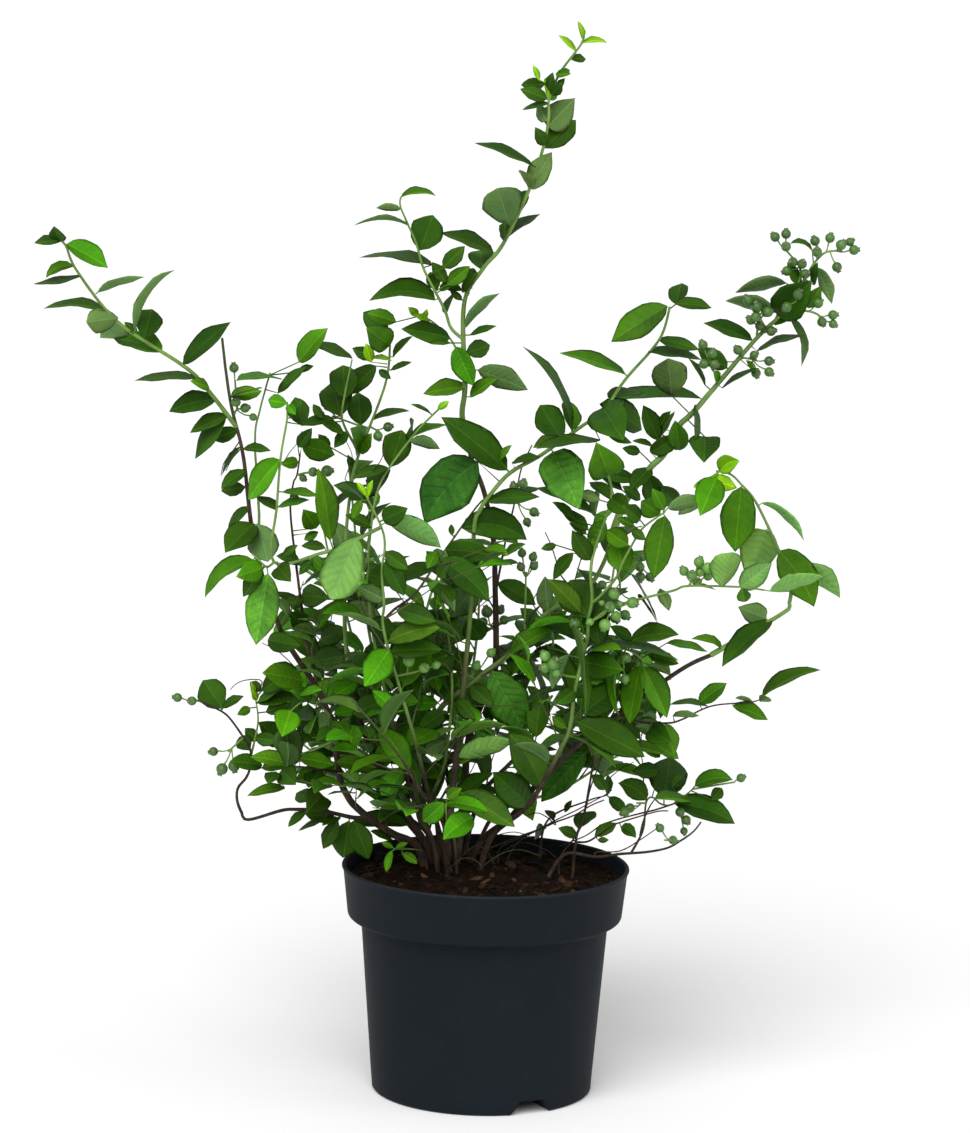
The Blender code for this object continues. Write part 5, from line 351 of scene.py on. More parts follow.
# Leaves set by rule, by stem: the shares of the stem between which they stand and how many would fill it; then
# the number of each that is there, with its lean and roll where they aren't 0.
GROWN_LEAVES = """
shoot_inner_left: 0.16 0.62 9; 0 -18; 2; 3; 4; 5 -9 -32; 6; 8 9
shoot_mid_left: 0.12 0.7 8; 0; 1 0 -16; 2; 3 9 16; 4; 5 0 -32; 7 9
shoot_left: 0.12 0.5 5; 1 0 32; 2 0 16; 3; 4 -18
shoot_centre: 0.2 1 6; 0 0 -16; 1; 2 0 50; 3 -28; 4 0 -16; 5 0 16
shoot_arching: 0.06 0.4 6; 0; 1
shoot_right: 0.2 0.75 6; 0; 1 18 -16; 2; 3 0 50; 4 0 16
shoot_right_inner: 0.2 1 3; 0 0 -32; 1 9 32; 2
twig_low_right: 0.45 1 4; 0; 1; 2; 3
shoot_low_left: 0.1 0.8 3; 1; 2 0 -32
shoot_mid_left_low: 0.2 0.9 3; 1 0 16; 2 0 50
shoot_back_left: 0.2 1 12; 0; 1; 2; 3; 4; 5; 6; 7; 8 9; 9; 11 9 16
shoot_back_mid: 0.2 1 12; 0 9 -16; 1; 2; 3; 4; 5; 6; 7; 8; 9; 11 28
shoot_back_right: 0.2 1 12; 0; 1 0 -16; 2 -9; 3; 4; 5; 6; 7; 9 18; 10; 11 0 16
shoot_back_low_right: 0.25 1 8; 0; 2; 3 9 -16; 4; 5; 6
shoot_back_low_left: 0.25 1 8; 0 0 -16; 2; 3; 4; 6; 7
shoot_front_mid: 0.3 1 6; 0 9; 1 0 -16; 2 9 16; 3; 4; 5 -9
shoot_back_high: 0.2 1 10; 0 0 16; 2; 3; 4; 5; 6; 7; 8; 9
shoot_back_inner: 0.2 1 11; 0 -28; 1; 2 9; 3 -9; 4; 5; 6; 7 9; 8; 10
"""

# Fine side twigs set by rule, by stem: shares and count as above; then the number of each that is there, its
# turn about the stem in degrees, and which of the five leaves it carries, as the sum of 1, 2, 4, 8 and 16.
SPRIGS = """
cane_left: 0.3 0.97 7; 0 52 30; 1 319 29; 2 45 15; 3 52 3; 4 268 14; 5 353 12; 6 287 9
cane_inner_left: 0.25 1 7; 0 208 29; 1 63 31; 2 353 23; 3 52 31; 5 353 14; 6 261 7
stem_tall: 0.25 0.8 8; 0 130 31; 1 345 31; 2 353 31; 3 338 30; 4 190 15
shoot_thick: 0.2 0.8 7; 0 26 14; 1 89 26; 2 301 9; 3 130 30; 4 268 3; 5 279 28; 6 83 26
cane_right_low: 0.3 0.95 7; 0 78 17; 1 89 29; 2 97 31; 3 312 30; 4 320 27
shoot_left: 0.15 0.7 7; 0 130 10; 1 293 6; 2 19 6; 3 78 6; 4 320 12
shoot_inner_left: 0.2 0.75 9; 0 260 29; 1 63 23; 2 353 27; 3 286 31; 4 12 14; 6 313 3
shoot_mid_left: 0.15 0.8 8; 1 241 17; 2 45 12; 3 78 3
shoot_centre: 0.2 1 7; 1 241 24; 2 353 17; 3 130 29; 4 64 12; 5 71 21; 6 157 18
shoot_arching: 0.1 0.5 6; 0 208 21
shoot_right: 0.15 0.9 9; 1 137 22; 2 353 26; 3 52 31
shoot_right_inner: 0.15 1 7; 3 260 18; 4 294 26; 5 253 24; 6 261 24
twig_low_right: 0.3 1 5; 1 293 14; 2 71 23; 3 208 10; 4 90 27
shoot_low_left: 0.15 0.9 6; 4 142 14
shoot_mid_left_low: 0.2 0.95 6; 0 260 31; 1 267 20; 3 234 21; 5 71 21
shoot_low_right: 0.15 0.8 5; 1 115 26
shoot_back_left: 0.15 1 9; 0 130 31; 1 11 15; 2 353 31; 3 182 27; 4 116 7; 5 201 15; 6 313 19
shoot_back_mid: 0.15 1 9; 0 78 26; 1 215 31; 2 353 15; 3 156 30; 4 320 15; 5 279 29; 6 339 5
shoot_back_right: 0.15 1 9; 0 26 26; 1 163 28; 2 301 30; 3 286 31; 4 216 13; 5 227 28
shoot_back_low_right: 0.2 1 7; 0 182 26; 2 327 7; 3 312 15; 4 346 27; 5 71 29; 6 5 10
shoot_back_low_left: 0.2 1 7; 0 312 11; 1 345 22; 3 182 29; 4 242 31; 5 175 31; 6 183 30
shoot_back_high: 0.15 1 9; 0 26 15; 1 241 24; 2 71 5; 3 156 22; 4 190 29; 5 327 23; 6 183 31; 7 142 31
shoot_back_inner: 0.15 1 9; 0 0 31; 1 115 29; 2 71 15; 3 338 7; 4 242 6; 5 123 15; 6 31 18
shoot_front_mid: 0.3 0.9 3; 0 0 11; 1 115 14; 2 123 15
twig_centre: 0.2 1 5; 1 293 25; 2 301 12
shoot_left_bright: 0.2 0.8 3; 1 163 12
"""

# Berry trusses: the node where that has another name, the stalk's line, then each berry's middle, radius and
# the place where its own stalk leaves, all in tenths of a millimetre.
TRUSSES = """
berries_far_left: -1982 -688 5393; -1967 -688 5427; -1957 -688 5450; -1976 -688 5664;
 -1984 -688 5754 37 -1972 -688 5623; -1962 -748 5502 37 -1958 -688 5460; -1897 -688 5451 37 -1962 -688 5438;
 -1835 -688 5383 30 -1962 -688 5438
berries_inner_left: shoot_inner_left; -993 561 5155; -1281 561 5252; -1376 561 5258 39 -1243 561 5239;
 -1314 561 5330 39 -1243 561 5239
berries_mid_left: shoot_inner_left; -985 562 5176; -902 562 5133; -916 502 5108 39 -939 562 5152;
 -840 562 5174 39 -939 562 5152
berries_left_small: twig_inner_left; -1556 691 4760; -1493 691 4778; -1408 691 4787;
 -1507 661 4741 31 -1545 691 4763; -1427 631 4795 39 -1472 691 4780; -1319 691 4797 47 -1451 691 4782
berries_centre: 263 -13 3577; 264 -13 3616; 266 -13 4133; 231 -13 4281 35 265 -13 4092;
 317 -13 4252 35 265 -13 4092; 225 -73 4181 35 265 -13 4092; 326 -43 4186 35 265 -13 4092
berries_upper_centre: 171 524 4619; 185 524 4606; 212 524 4582; 161 494 4728 39 194 524 4598;
 231 464 4757 39 194 524 4598; 323 524 4528 39 194 524 4598; 270 524 4448 35 194 524 4598
berries_stem: 40 182 3621; 1 182 3669; -5 182 3676; -31 152 3784 46 -2 182 3672; -61 182 3699 38 -2 182 3672;
 71 272 3782 38 -2 182 3672; 104 302 3698 38 -2 182 3672
berries_light: -105 -125 3298; -140 -125 3313; -200 -125 3337; -209 -125 3432 50 -160 -125 3321;
 -108 -125 3403 38 -150 -125 3317; 7 -35 3492 38 -150 -125 3317; -294 -125 3406 42 -160 -125 3321
berries_light_left: shoot_left; -710 -787 3430; -571 -787 3465; -496 -787 3492; -618 -787 3549 45 -631 -787 3450;
 -502 -847 3508 41 -539 -787 3476; -412 -787 3522 34 -539 -787 3476
berries_ribbed: shoot_thick; 448 68 3804; 489 68 3587; 483 68 3502; 477 68 3412 77 486 68 3545
berries_right_mid: 929 300 4336; 940 300 4285; 1009 300 3972; 923 300 3751; 954 240 3925 46 1001 300 3953;
 925 240 3829 42 964 300 3857; 996 270 3842 35 979 300 3895; 976 300 3733 42 938 300 3790;
 891 300 3667 46 938 300 3790; 1114 300 3863 42 1001 300 3953; 867 300 3993 38 989 300 4063;
 1054 300 3758 42 957 300 3838; 863 300 3850 35 964 300 3857
berries_dark_mid: 929 300 4336; 951 300 4322; 1144 300 4197; 1189 300 4137; 1182 270 4227 35 1111 300 4219;
 1159 240 4152 38 1144 300 4197; 1164 300 4063 42 1163 300 4172; 1242 300 4065 38 1163 300 4172
berries_low_mid: shoot_right; 737 -660 3718; 682 -660 3764; 642 -660 3840 45 714 -660 3738
berries_pair_right: shoot_right_inner; 993 -589 3649; 1028 -589 3494; 1039 -649 3591 38 998 -589 3629;
 1037 -589 3409 38 1018 -589 3536
berries_light_right: 1487 -1025 4211; 1496 -1025 4228; 1523 -1025 4280; 1447 -1025 4324 37 1502 -1025 4238;
 1505 -1085 4305 37 1502 -1025 4238; 1558 -1025 4395 41 1502 -1025 4238; 1625 -1055 4356 44 1502 -1025 4238;
 1569 -995 4315 37 1502 -1025 4238; 1550 -965 4233 37 1502 -1025 4238; 1632 -965 4281 37 1502 -1025 4238
berries_top_right: 2346 589 6317; 2350 589 6363; 2362 589 6491; 2217 589 6661; 2159 589 6730 39 2243 589 6630;
 2244 589 6755 39 2243 589 6630; 2243 529 6662 40 2256 589 6615; 2261 589 6466 40 2355 589 6499;
 2301 529 6542 39 2335 589 6522; 2372 529 6528 39 2360 589 6470; 2398 529 6450 40 2355 589 6416
berries_top_far_right: 2464 599 6516; 2483 600 6545; 2562 599 6620; 2690 599 6632; 2589 599 6730 39 2562 599 6620;
 2675 569 6680 42 2637 599 6627; 2473 599 6704 39 2522 599 6583; 2780 599 6640 40 2647 599 6628;
 2651 599 6504 40 2594 599 6623; 2487 539 6623 40 2491 600 6553; 2749 629 6700 35 2647 599 6628
berries_upper_right: 2259 581 6169; 2277 581 6168; 2466 581 6149; 2554 581 6101; 2511 581 6220 42 2435 581 6152;
 2631 581 6129 39 2519 581 6120; 2542 521 6078 39 2519 581 6120; 2634 581 6058 35 2519 581 6120;
 2348 521 6278 45 2298 581 6165; 2273 521 6174 39 2288 581 6167
berries_upper_mid: 2037 567 5933; 2038 567 5964; 2044 567 6094; 2007 567 6156; 1961 567 6234 39 2028 567 6121;
 2022 507 6178 39 2028 567 6121; 2105 567 6143 42 2042 567 6064; 1989 567 6077 39 2041 567 6034;
 2057 507 6038 39 2039 567 5994; 2145 507 6000 40 2038 567 5974
berries_right_pair: 1913 552 5784; 1935 552 5781; 2045 552 5765; 1890 492 5847 39 1945 552 5779;
 2018 522 5807 35 1975 552 5775; 2139 552 5759 39 2005 552 5771; 2142 552 5673 39 2005 552 5771;
 2040 552 5662 39 2005 552 5771; 1700 712 5756 39 1945 552 5779
berries_low_right: twig_over_rim; 1508 -295 2084; 1383 -295 2089; 1349 -295 2184 35 1425 -295 2088;
 1450 -355 2104 35 1487 -295 2085
berries_low_right_upper: shoot_low_right; 1477 92 2307; 1518 92 2264; 1537 92 2169; 1517 32 2245 39 1502 92 2281;
 1565 32 2182 39 1527 92 2222; 1555 92 2080 31 1529 92 2211
berries_low_mid_right: shoot_low_right; 1249 73 2302; 1171 73 2301; 1125 73 2260 39 1216 73 2301;
 1083 -17 2246 39 1216 73 2301
berries_right_end: shoot_low_right; 1617 100 2417; 1945 100 2480; 1991 100 2513 36 1905 100 2473
berries_low_left: twig_low_left; -1891 -464 2862; -2008 -464 2749; -2120 -464 2750 36 -1979 -464 2777;
 -2052 -464 2614 46 -1979 -464 2777; -1960 -464 2639 46 -1979 -464 2777
berries_low_far_left: twig_low_left; -2221 -593 3166; -2312 -593 3190; -2393 -593 3192 36 -2271 -593 3179;
 -2277 -653 3179 36 -2231 -593 3169
truss_0: more_dark; 2121 572 6020; 2096 530 6036; 2071 488 6071; 2045 455 6135; 1953 432 6246 41 2045 455 6135;
 2025 432 6193 44 2045 455 6135; 2112 432 6156 41 2045 455 6135; 2019 432 6115 42 2045 455 6135
truss_1: more_dark; 1778 535 5619; 1734 499 5648; 1690 463 5696; 1669 434 5757; 1611 415 5888 39 1669 434 5757;
 1684 415 5819 41 1669 434 5757; 1623 415 5740 39 1669 434 5757; 1702 415 5741 39 1672 439 5747
truss_2: more_dark; 2288 584 6218; 2304 496 6204; 2319 409 6209; 2324 339 6264; 2339 292 6314 47 2324 339 6264;
 2249 292 6211 41 2324 339 6264; 2392 292 6378 39 2324 339 6264
truss_3: more_light; 926 -771 3986; 917 -807 3998; 908 -843 4031; 908 -872 4011; 927 -891 4116 42 908 -843 4031;
 900 -891 4016 42 908 -872 4011; 947 -891 3947 39 908 -872 4011; 1066 -891 4050 42 908 -867 4015;
 865 -891 3876 46 908 -872 4011; 838 -891 4045 23 908 -867 4015; 975 -891 4040 24 908 -872 4011;
 751 -891 3897 30 908 -872 4011
truss_4: more_light; 677 -606 3417; 591 -666 3437; 505 -726 3477; 477 -774 3516; 417 -806 3613 42 477 -774 3516;
 487 -806 3553 53 477 -774 3516; 419 -806 3520 42 477 -774 3516; 511 -806 3484 38 482 -766 3510
"""

# Fine dead twigs, dry roots and stalks: radius in mm and woodiness, then their lines in tenths of a
# millimetre from the stem or soil that carries them.
TWIGS = """
0: 0.8 0.95; -140 200 1606; -140 200 1786; 149 175 1943; 423 150 2059; 547 125 2124; 695 100 2189; 810 75 2269;
 918 50 2324
1: 0.6 0.95; 111 250 1697; 111 250 1877; 346 233 1999; 548 217 2120; 696 200 2200; 812 183 2270; 913 167 2332;
 982 150 2385
2: 0.7 0.95; 1463 91 2295; 1323 113 2240; 1191 134 2200; 1012 156 2143; 896 178 2088; 780 199 2000; 585 221 1910
3: 0.6 0.95; 864 -59 1890; 863 -59 1930; 1049 -102 1952; 1202 -146 2053; 1323 -189 2153
4: 0.7 0.8; 586 180 1642; 586 180 1822; 693 176 1987; 767 172 2175; 810 168 2378; 861 164 2540; 897 160 2654
5: 0.5 0.9; 956 464 2327; 896 464 2334; 989 451 2436; 1066 437 2505; 1159 424 2558
6: 0.6 0.9; 532 592 2058; 556 592 1991; 491 576 2058; 410 559 2101; 330 542 2086
7: 0.6 0.9; 687 152 3940; 549 152 4073; 499 159 4206; 458 165 4322; 409 172 4423
8: 0.5 0.8; 406 52 3773; 326 52 3871; 356 57 3958; 417 62 4006
9: 0.7 0.95; 1205 -49 2065; 1224 -82 2183; 1274 -116 2319; 1318 -149 2391
10: 0.5 0.9; -1935 -666 5193; -1992 -673 5111; -2052 -680 5026; -2073 -686 4927
11: 0.5 0.9; -1922 -661 5140; -1992 -671 5057; -2036 -681 4965
12: 0.5 0.9; -1429 -350 3393; -1466 -350 3367; -1560 -350 3459; -1653 -350 3536; -1762 -350 3588
13: 0.5 0.9; -1816 -250 3152; -1763 -250 3272; -1886 -267 3280; -1963 -283 3250; -2007 -300 3205
14: 0.5 0.7; -264 100 1609; -264 100 1709; -157 90 1875; -63 80 1928; 17 70 1875; 66 60 1790
15: 0.4 0.6; -120 -50 1566; -120 -50 1666; 18 -8 1820; 158 35 1894; 284 78 1903; 427 120 1849
16: 0.5 0.8; 51 300 1652; 51 300 1752; 206 280 1889; 332 260 1920; 475 240 1871; 555 220 1813
17: 0.4 0.7; 154 140 1641; 154 140 1741; 206 133 1889; 298 127 1989; 424 120 2010
18: 0.4 0.6; -309 -80 1601; -309 -80 1701; -233 -93 1834; -124 -107 1872; -28 -120 1813
19: 0.5 0.8; -126 450 1632; -126 450 1812; 31 433 1916; 205 417 1972; 348 400 1947
20: 0.5 0.9; -633 -360 1982; -638 -360 2013; -701 -353 2073; -765 -347 2150; -798 -340 2243
21: 0.4 0.9; -1596 -1236 5122; -1578 -1236 5110; -1527 -1223 5192; -1476 -1210 5259; -1441 -1196 5348
22: 0.4 0.9; -1136 853 4691; -1181 853 4706; -1141 791 4836; -1124 728 4924; -1172 666 5043; -1234 603 5152
23: 0.5 0.9; -888 -332 4796; -981 -332 4856; -921 -332 4950; -869 -332 5029; -832 -332 5138
24: 0.4 0.9; 30 166 3925; -56 166 3852; -133 166 3779
25: 0.5 0.9; -1706 -521 3973; -1620 -521 3986; -1528 -528 3990; -1435 -535 3961; -1342 -541 3910
26: 0.5 0.9; -861 228 2518; -817 228 2540; -882 184 2707; -978 141 2874; -1073 98 3024
27: 0.5 0.9; -772 695 2738; -798 655 2641; -883 615 2541; -936 575 2434
28: 0.5 0.9; -636 602 2414; -634 602 2435; -676 572 2570; -725 542 2705
"""

MM = 0.001
TENTH = 0.0001
UP = Vector((0.0, 0.0, 1.0))

# The photograph's view: its middle, height and focal length in picture points, and how the camera stood.
VIEW_CENTRE = (485.0, 566.5)
VIEW_HEIGHT = 1133
VIEW_FOCAL = 4400.0
VIEW_STAND = Vector((-0.0054, -3.38, 0.9436))
PITCH = math.radians(8.86)
ROLL = math.radians(1.2)
PITCH_SINE, PITCH_COSINE = math.sin(PITCH), math.cos(PITCH)
ROLL_SINE, ROLL_COSINE = math.sin(ROLL), math.cos(ROLL)

# Pot and soil sizes in metres, as in the solids. A notch runs from NOTCH_INNER outward along a spoke of the base.
POT_HEIGHT = 0.180
RIM_RADIUS = 0.113
COLLAR_RADIUS = 0.108
LEDGE = POT_HEIGHT - 0.042
BODY_TOP_RADIUS = 0.0974
BASE_RADIUS = 0.0865
WALL = 0.0018
FLOOR_OF_POT = 0.0030
STEP_IN = 0.0032
GAP = 0.0003
FOOT_ROUND, COLLAR_ROUND, LIP_ROUND = 0.0034, 0.0040, 0.0016
NOTCH_TURNS = (-63.0, 57.0, 177.0)
NOTCH_INNER = 0.044
NOTCH_HEIGHT = 0.011
NOTCH_FOOT = 0.035
NOTCH_TOP = 0.020
BELOW_FLOOR = 0.010
POT_STEPS = 120
SOIL_FOOT = 0.016
SOIL_EDGE = 0.168
SOIL_CAP = SOIL_EDGE + 0.004
SOIL_CROWN = 0.177
SOIL_REACH = 0.104
SCRAP_REACH = 0.103
LUMP = 0.0011
SOIL_STEPS = 132
SOIL_ROWS = 44
CROWN_CENTRE = (-0.030, 0.014)
CROWN_REACH = 0.085

# Leaves: sizes in metres, their width for their length, and how much fuller they are drawn.
LEAF_LONGEST = 0.060
LONG_LEAF = 0.048
SMALL_LEAF = 0.026
STALK_LONGEST = 0.03
LEAF_RATIO = 0.50
LEAF_WIDTHS = (LEAF_RATIO, 0.62)
LONG_LEAF_WIDTHS = (0.44, 0.6)
FORESHORTENED = 0.94
FULLNESS = 1.07

# How they lie: the picture points by which a leaf has to rise to point away from the eye, the most that one
# leans, in degrees and in radians, how much of the table's sway shows, how far down one may face before it is
# turned over, and how far their middles bow as a share of their length.
HARDLY_RISING = 4
STEEPEST = 62
LEAN_LIMIT = 1.12
SWAY = 0.5
LOWEST_FACING = -0.35
SEEN_BOW, SWAYED_BOW, GROWN_BOW = 0.030, 0.02, 0.07

# Leaves and side twigs set by rule: the turn from each to the next in radians, a thing's own turn by its stem,
# and how level a course has to be for its side to be level too.
GOLDEN_TURN = 2.399963
STEM_TURN = 0.7
LEAST_LEVEL = 0.2

# What chance gives, as the least of it and how much may be added: folds, brightness and warmth of a green,
# pitches in degrees, lengths in metres and widths for a length.
LEAF_FOLD, LEAF_BRIGHT, LEAF_WARM = (0.14, 0.40), (0.80, 0.42), (0.90, 0.22)
BERRY_BRIGHT = (0.75, 0.5)
GROWN_PITCH, GROWN_LENGTH = (52, 26), (0.036, 0.016)
SPRIG_PITCH, SPRIG_LENGTH = (38, 30), (0.035, 0.045)
SPRIG_LEAF_PITCH, SPRIG_LEAF_LENGTH, SPRIG_LEAF_RATIO = (46, 26), (0.021, 0.021), (0.44, 0.12)

# Degrees over which chance tilts or rolls a blade, and how far a course is drawn down by the leaf's weight.
SEEN_TILT, GROWN_TILT, SPRIG_TILT, SPRIG_ROLL = 10.0, 50.0, 70.0, 50.0
GROWN_DROOP, SPRIG_DROOP = 0.12, 0.10

# Leaves set by rule: the length of their stalks, and a grown one's width for its length.
GROWN_STALK, SPRIG_STALK = 0.0035, 0.0025
GROWN_RATIO = 0.48

# How near to the end of a stem's solid a leaf may grow, and how deep into the soil a rooted stem goes.
END_CLEAR = 0.002
SUNK = 0.012

# Radii of side twigs, of a truss's stalk at its root and tip, and along a berry's stalk, in metres; how near to
# the berry's middle its stalk ends, in radii, and how far it sags for its length.
SPRIG_RADIUS = 0.0006
TRUSS_RADII = (0.0009, 0.0007)
BERRY_STALK = (0.0006, 0.0005, 0.0007)
STALK_END = 0.9
STALK_SAG = 0.12

# A side twig: its line in steps, how much it bends and rises at each, where its leaves stand as shares of it, and
# the pitch of the last; then how woody it and the trusses are.
SPRIG_STEPS = 4
SPRIG_BEND, SPRIG_RISE = 0.30, 0.32
SPRIG_PLACES = (0.30, 0.52, 0.74, 0.92, 1.0)
SPRIG_END_PITCH = 12.0
SPRIG_WOOD = 0.62
TRUSS_WOOD = 0.15
BERRY_STALK_WOOD = 0.1

# How finely blades and berries are made: rings along and sides round.
LEAF_RINGS, YOUNG_LEAF_RINGS, LEAF_SIDES = 12, 8, 8
BERRY_RINGS, BERRY_SIDES = 13, 15

# Leaf greens, linear, and how far veins and puckers stand out on each: dark, middle, bright, light,
# underside, pale, olive, emerald, light emerald and vivid.
LEAF_TONES = {
    "D": (0.019, 0.066, 0.003, 0.40), "M": (0.038, 0.130, 0.003, 0.50), "B": (0.046, 0.205, 0.003, 0.55),
    "L": (0.150, 0.360, 0.006, 0.60), "G": (0.060, 0.140, 0.024, 0.60), "P": (0.092, 0.255, 0.034, 1.00),
    "O": (0.034, 0.092, 0.005, 0.50), "E": (0.022, 0.098, 0.008, 1.45), "F": (0.054, 0.205, 0.018, 1.40),
    "V": (0.060, 0.290, 0.020, 1.40),
}
UNDERSIDES = "GP"
GROWN_TONES = "DDMDGDM"
SPRIG_TONES = "DBDMODBDMDB"

# Green of a berry, linear, and the pieces whose berries are lighter than the rest: partly a paler green of their own
# and partly painted light, brightened to make up for the shade they hang in.
BERRY_GREEN = (0.050, 0.128, 0.019)
PALE_AND_LIT_BERRIES = {
    "fruit_berries_light": 1.9, "fruit_berries_right_mid": 1.6, "fruit_shoot_left": 2.0,
    "fruit_berries_light_right": 1.8, "fruit_shoot_right_inner": 1.6, "fruit_more_light": 1.8,
}
# Berries that are the scene's own and stand for no node.
MORE_TRUSSES = ("more_light", "more_dark")

# How woody each stem is at its root and at its tip: 1 is brown bark, 0 is green skin.
WOODINESS = {
    "cane_left": (1.0, 0.9), "cane_inner_left": (1.0, 0.8), "cane_right_low": (1.0, 0.9), "stem_tall": (1.0, 0.75),
    "twig_left": (0.9, 0.6), "shoot_thick": (0.75, 0.15), "shoot_top": (0.45, 0.0), "twig_low_right": (1.0, 0.9),
    "twig_low_right_thin": (1.0, 0.9), "twig_right_thin": (1.0, 0.8), "twig_back_right": (1.0, 0.9),
    "twig_over_rim": (1.0, 0.9), "twig_low_left": (1.0, 0.8), "twig_centre": (0.8, 0.4),
    "twig_inner_left": (0.95, 0.8), "twig_dark_centre": (0.9, 0.6), "shoot_low_left": (0.9, 0.4),
    "shoot_low_right": (0.9, 0.3), "shoot_front_mid": (1.0, 0.6),
}

# Stems that are stouter or finer than their solids, and by how much.
FULLER = {
    "shoot_right_top": 1.75, "shoot_arching": 1.25, "shoot_top": 1.3, "shoot_far_left": 1.35, "twig_over_rim": 1.3,
    "shoot_right": 1.2, "shoot_top_left": 1.2, "shoot_right_tip": 1.3, "twig_left": 1.15, "shoot_inner_left": 1.1,
    "cane_right_low": 0.9, "shoot_thick": 0.85, "cane_left": 0.9, "stem_tall": 0.95,
}


def photo_ray(px, py):
    """Direction, from the camera, of a picture point."""
    u = px - VIEW_CENTRE[0]
    v = py - VIEW_CENTRE[1]
    across = u * ROLL_COSINE + v * ROLL_SINE
    rise = u * ROLL_SINE - v * ROLL_COSINE
    return Vector((across, VIEW_FOCAL * PITCH_COSINE + rise * PITCH_SINE,
                   -VIEW_FOCAL * PITCH_SINE + rise * PITCH_COSINE)).normalized()


def photo_point(px, py, depth):
    """The point at this depth behind the pot's axis that shows at a picture point."""
    ray = photo_ray(px, py)
    return VIEW_STAND + ray * ((depth - VIEW_STAND.y) / ray.y)


def to_picture(place):
    """Picture point at which a place shows."""
    off = place - VIEW_STAND
    forward = off.y * PITCH_COSINE - off.z * PITCH_SINE
    rise = (off.y * PITCH_SINE + off.z * PITCH_COSINE) / forward * VIEW_FOCAL
    across = off.x / forward * VIEW_FOCAL
    return (VIEW_CENTRE[0] + (across * ROLL_COSINE + rise * ROLL_SINE),
            VIEW_CENTRE[1] + (across * ROLL_SINE - rise * ROLL_COSINE))


def draw(*seed):
    """A repeatable number from 0 to 1 for a named thing."""
    total = 17.0
    for item in seed:
        for place, letter in enumerate(str(item)):
            total += math.sin(total * 12.9898 + ord(letter) * (78.233 + place)) * 43.7585
    return abs(math.sin(total * 91.17) * 4371.33) % 1.0


def held(value, low=0.0, high=1.0):
    """A value kept between two others."""
    return max(low, min(high, value))


def within(span, luck):
    """What chance gives: the least of a span and a share of what may be added."""
    least, more = span
    return least + more * luck


def soil_height(x, y):
    """Top of the soil: mounded to the crown, with small lumps."""
    reach = math.hypot(x - CROWN_CENTRE[0], y - CROWN_CENTRE[1]) / CROWN_REACH
    mound = max(0.0, 1.0 - reach * reach)
    edge = held((SOIL_REACH - math.hypot(x, y)) / 0.02)
    lumps = math.sin(x * 171.0 + 1.3) * math.cos(y * 143.0 - 0.4) + 0.6 * math.sin(x * 310.0 - y * 270.0)
    return SOIL_EDGE + (SOIL_CROWN - SOIL_EDGE) * mound + LUMP * lumps * edge


def value_of(word):
    """A word of a table, as a number where it is one."""
    for kind in (int, float):
        try:
            return kind(word)
        except ValueError:
            pass
    return word


def table(text):
    """A table's rows by name."""
    found = {}
    for line in text.strip().splitlines():
        if ":" in line:
            name, line = line.split(":")
            found[name] = []
        found[name] += [[value_of(word) for word in row.split()] for row in line.split(";") if row.strip()]
    return found


def by_rule(rows, digits):
    """Things that stand by rule: each one's number, its place along the stem as a share, and its other words."""
    low, high, count = rows[0]
    for number, *rest in rows[1:]:
        yield number, round(low + (high - low) * (number + 0.5) / count, digits), rest


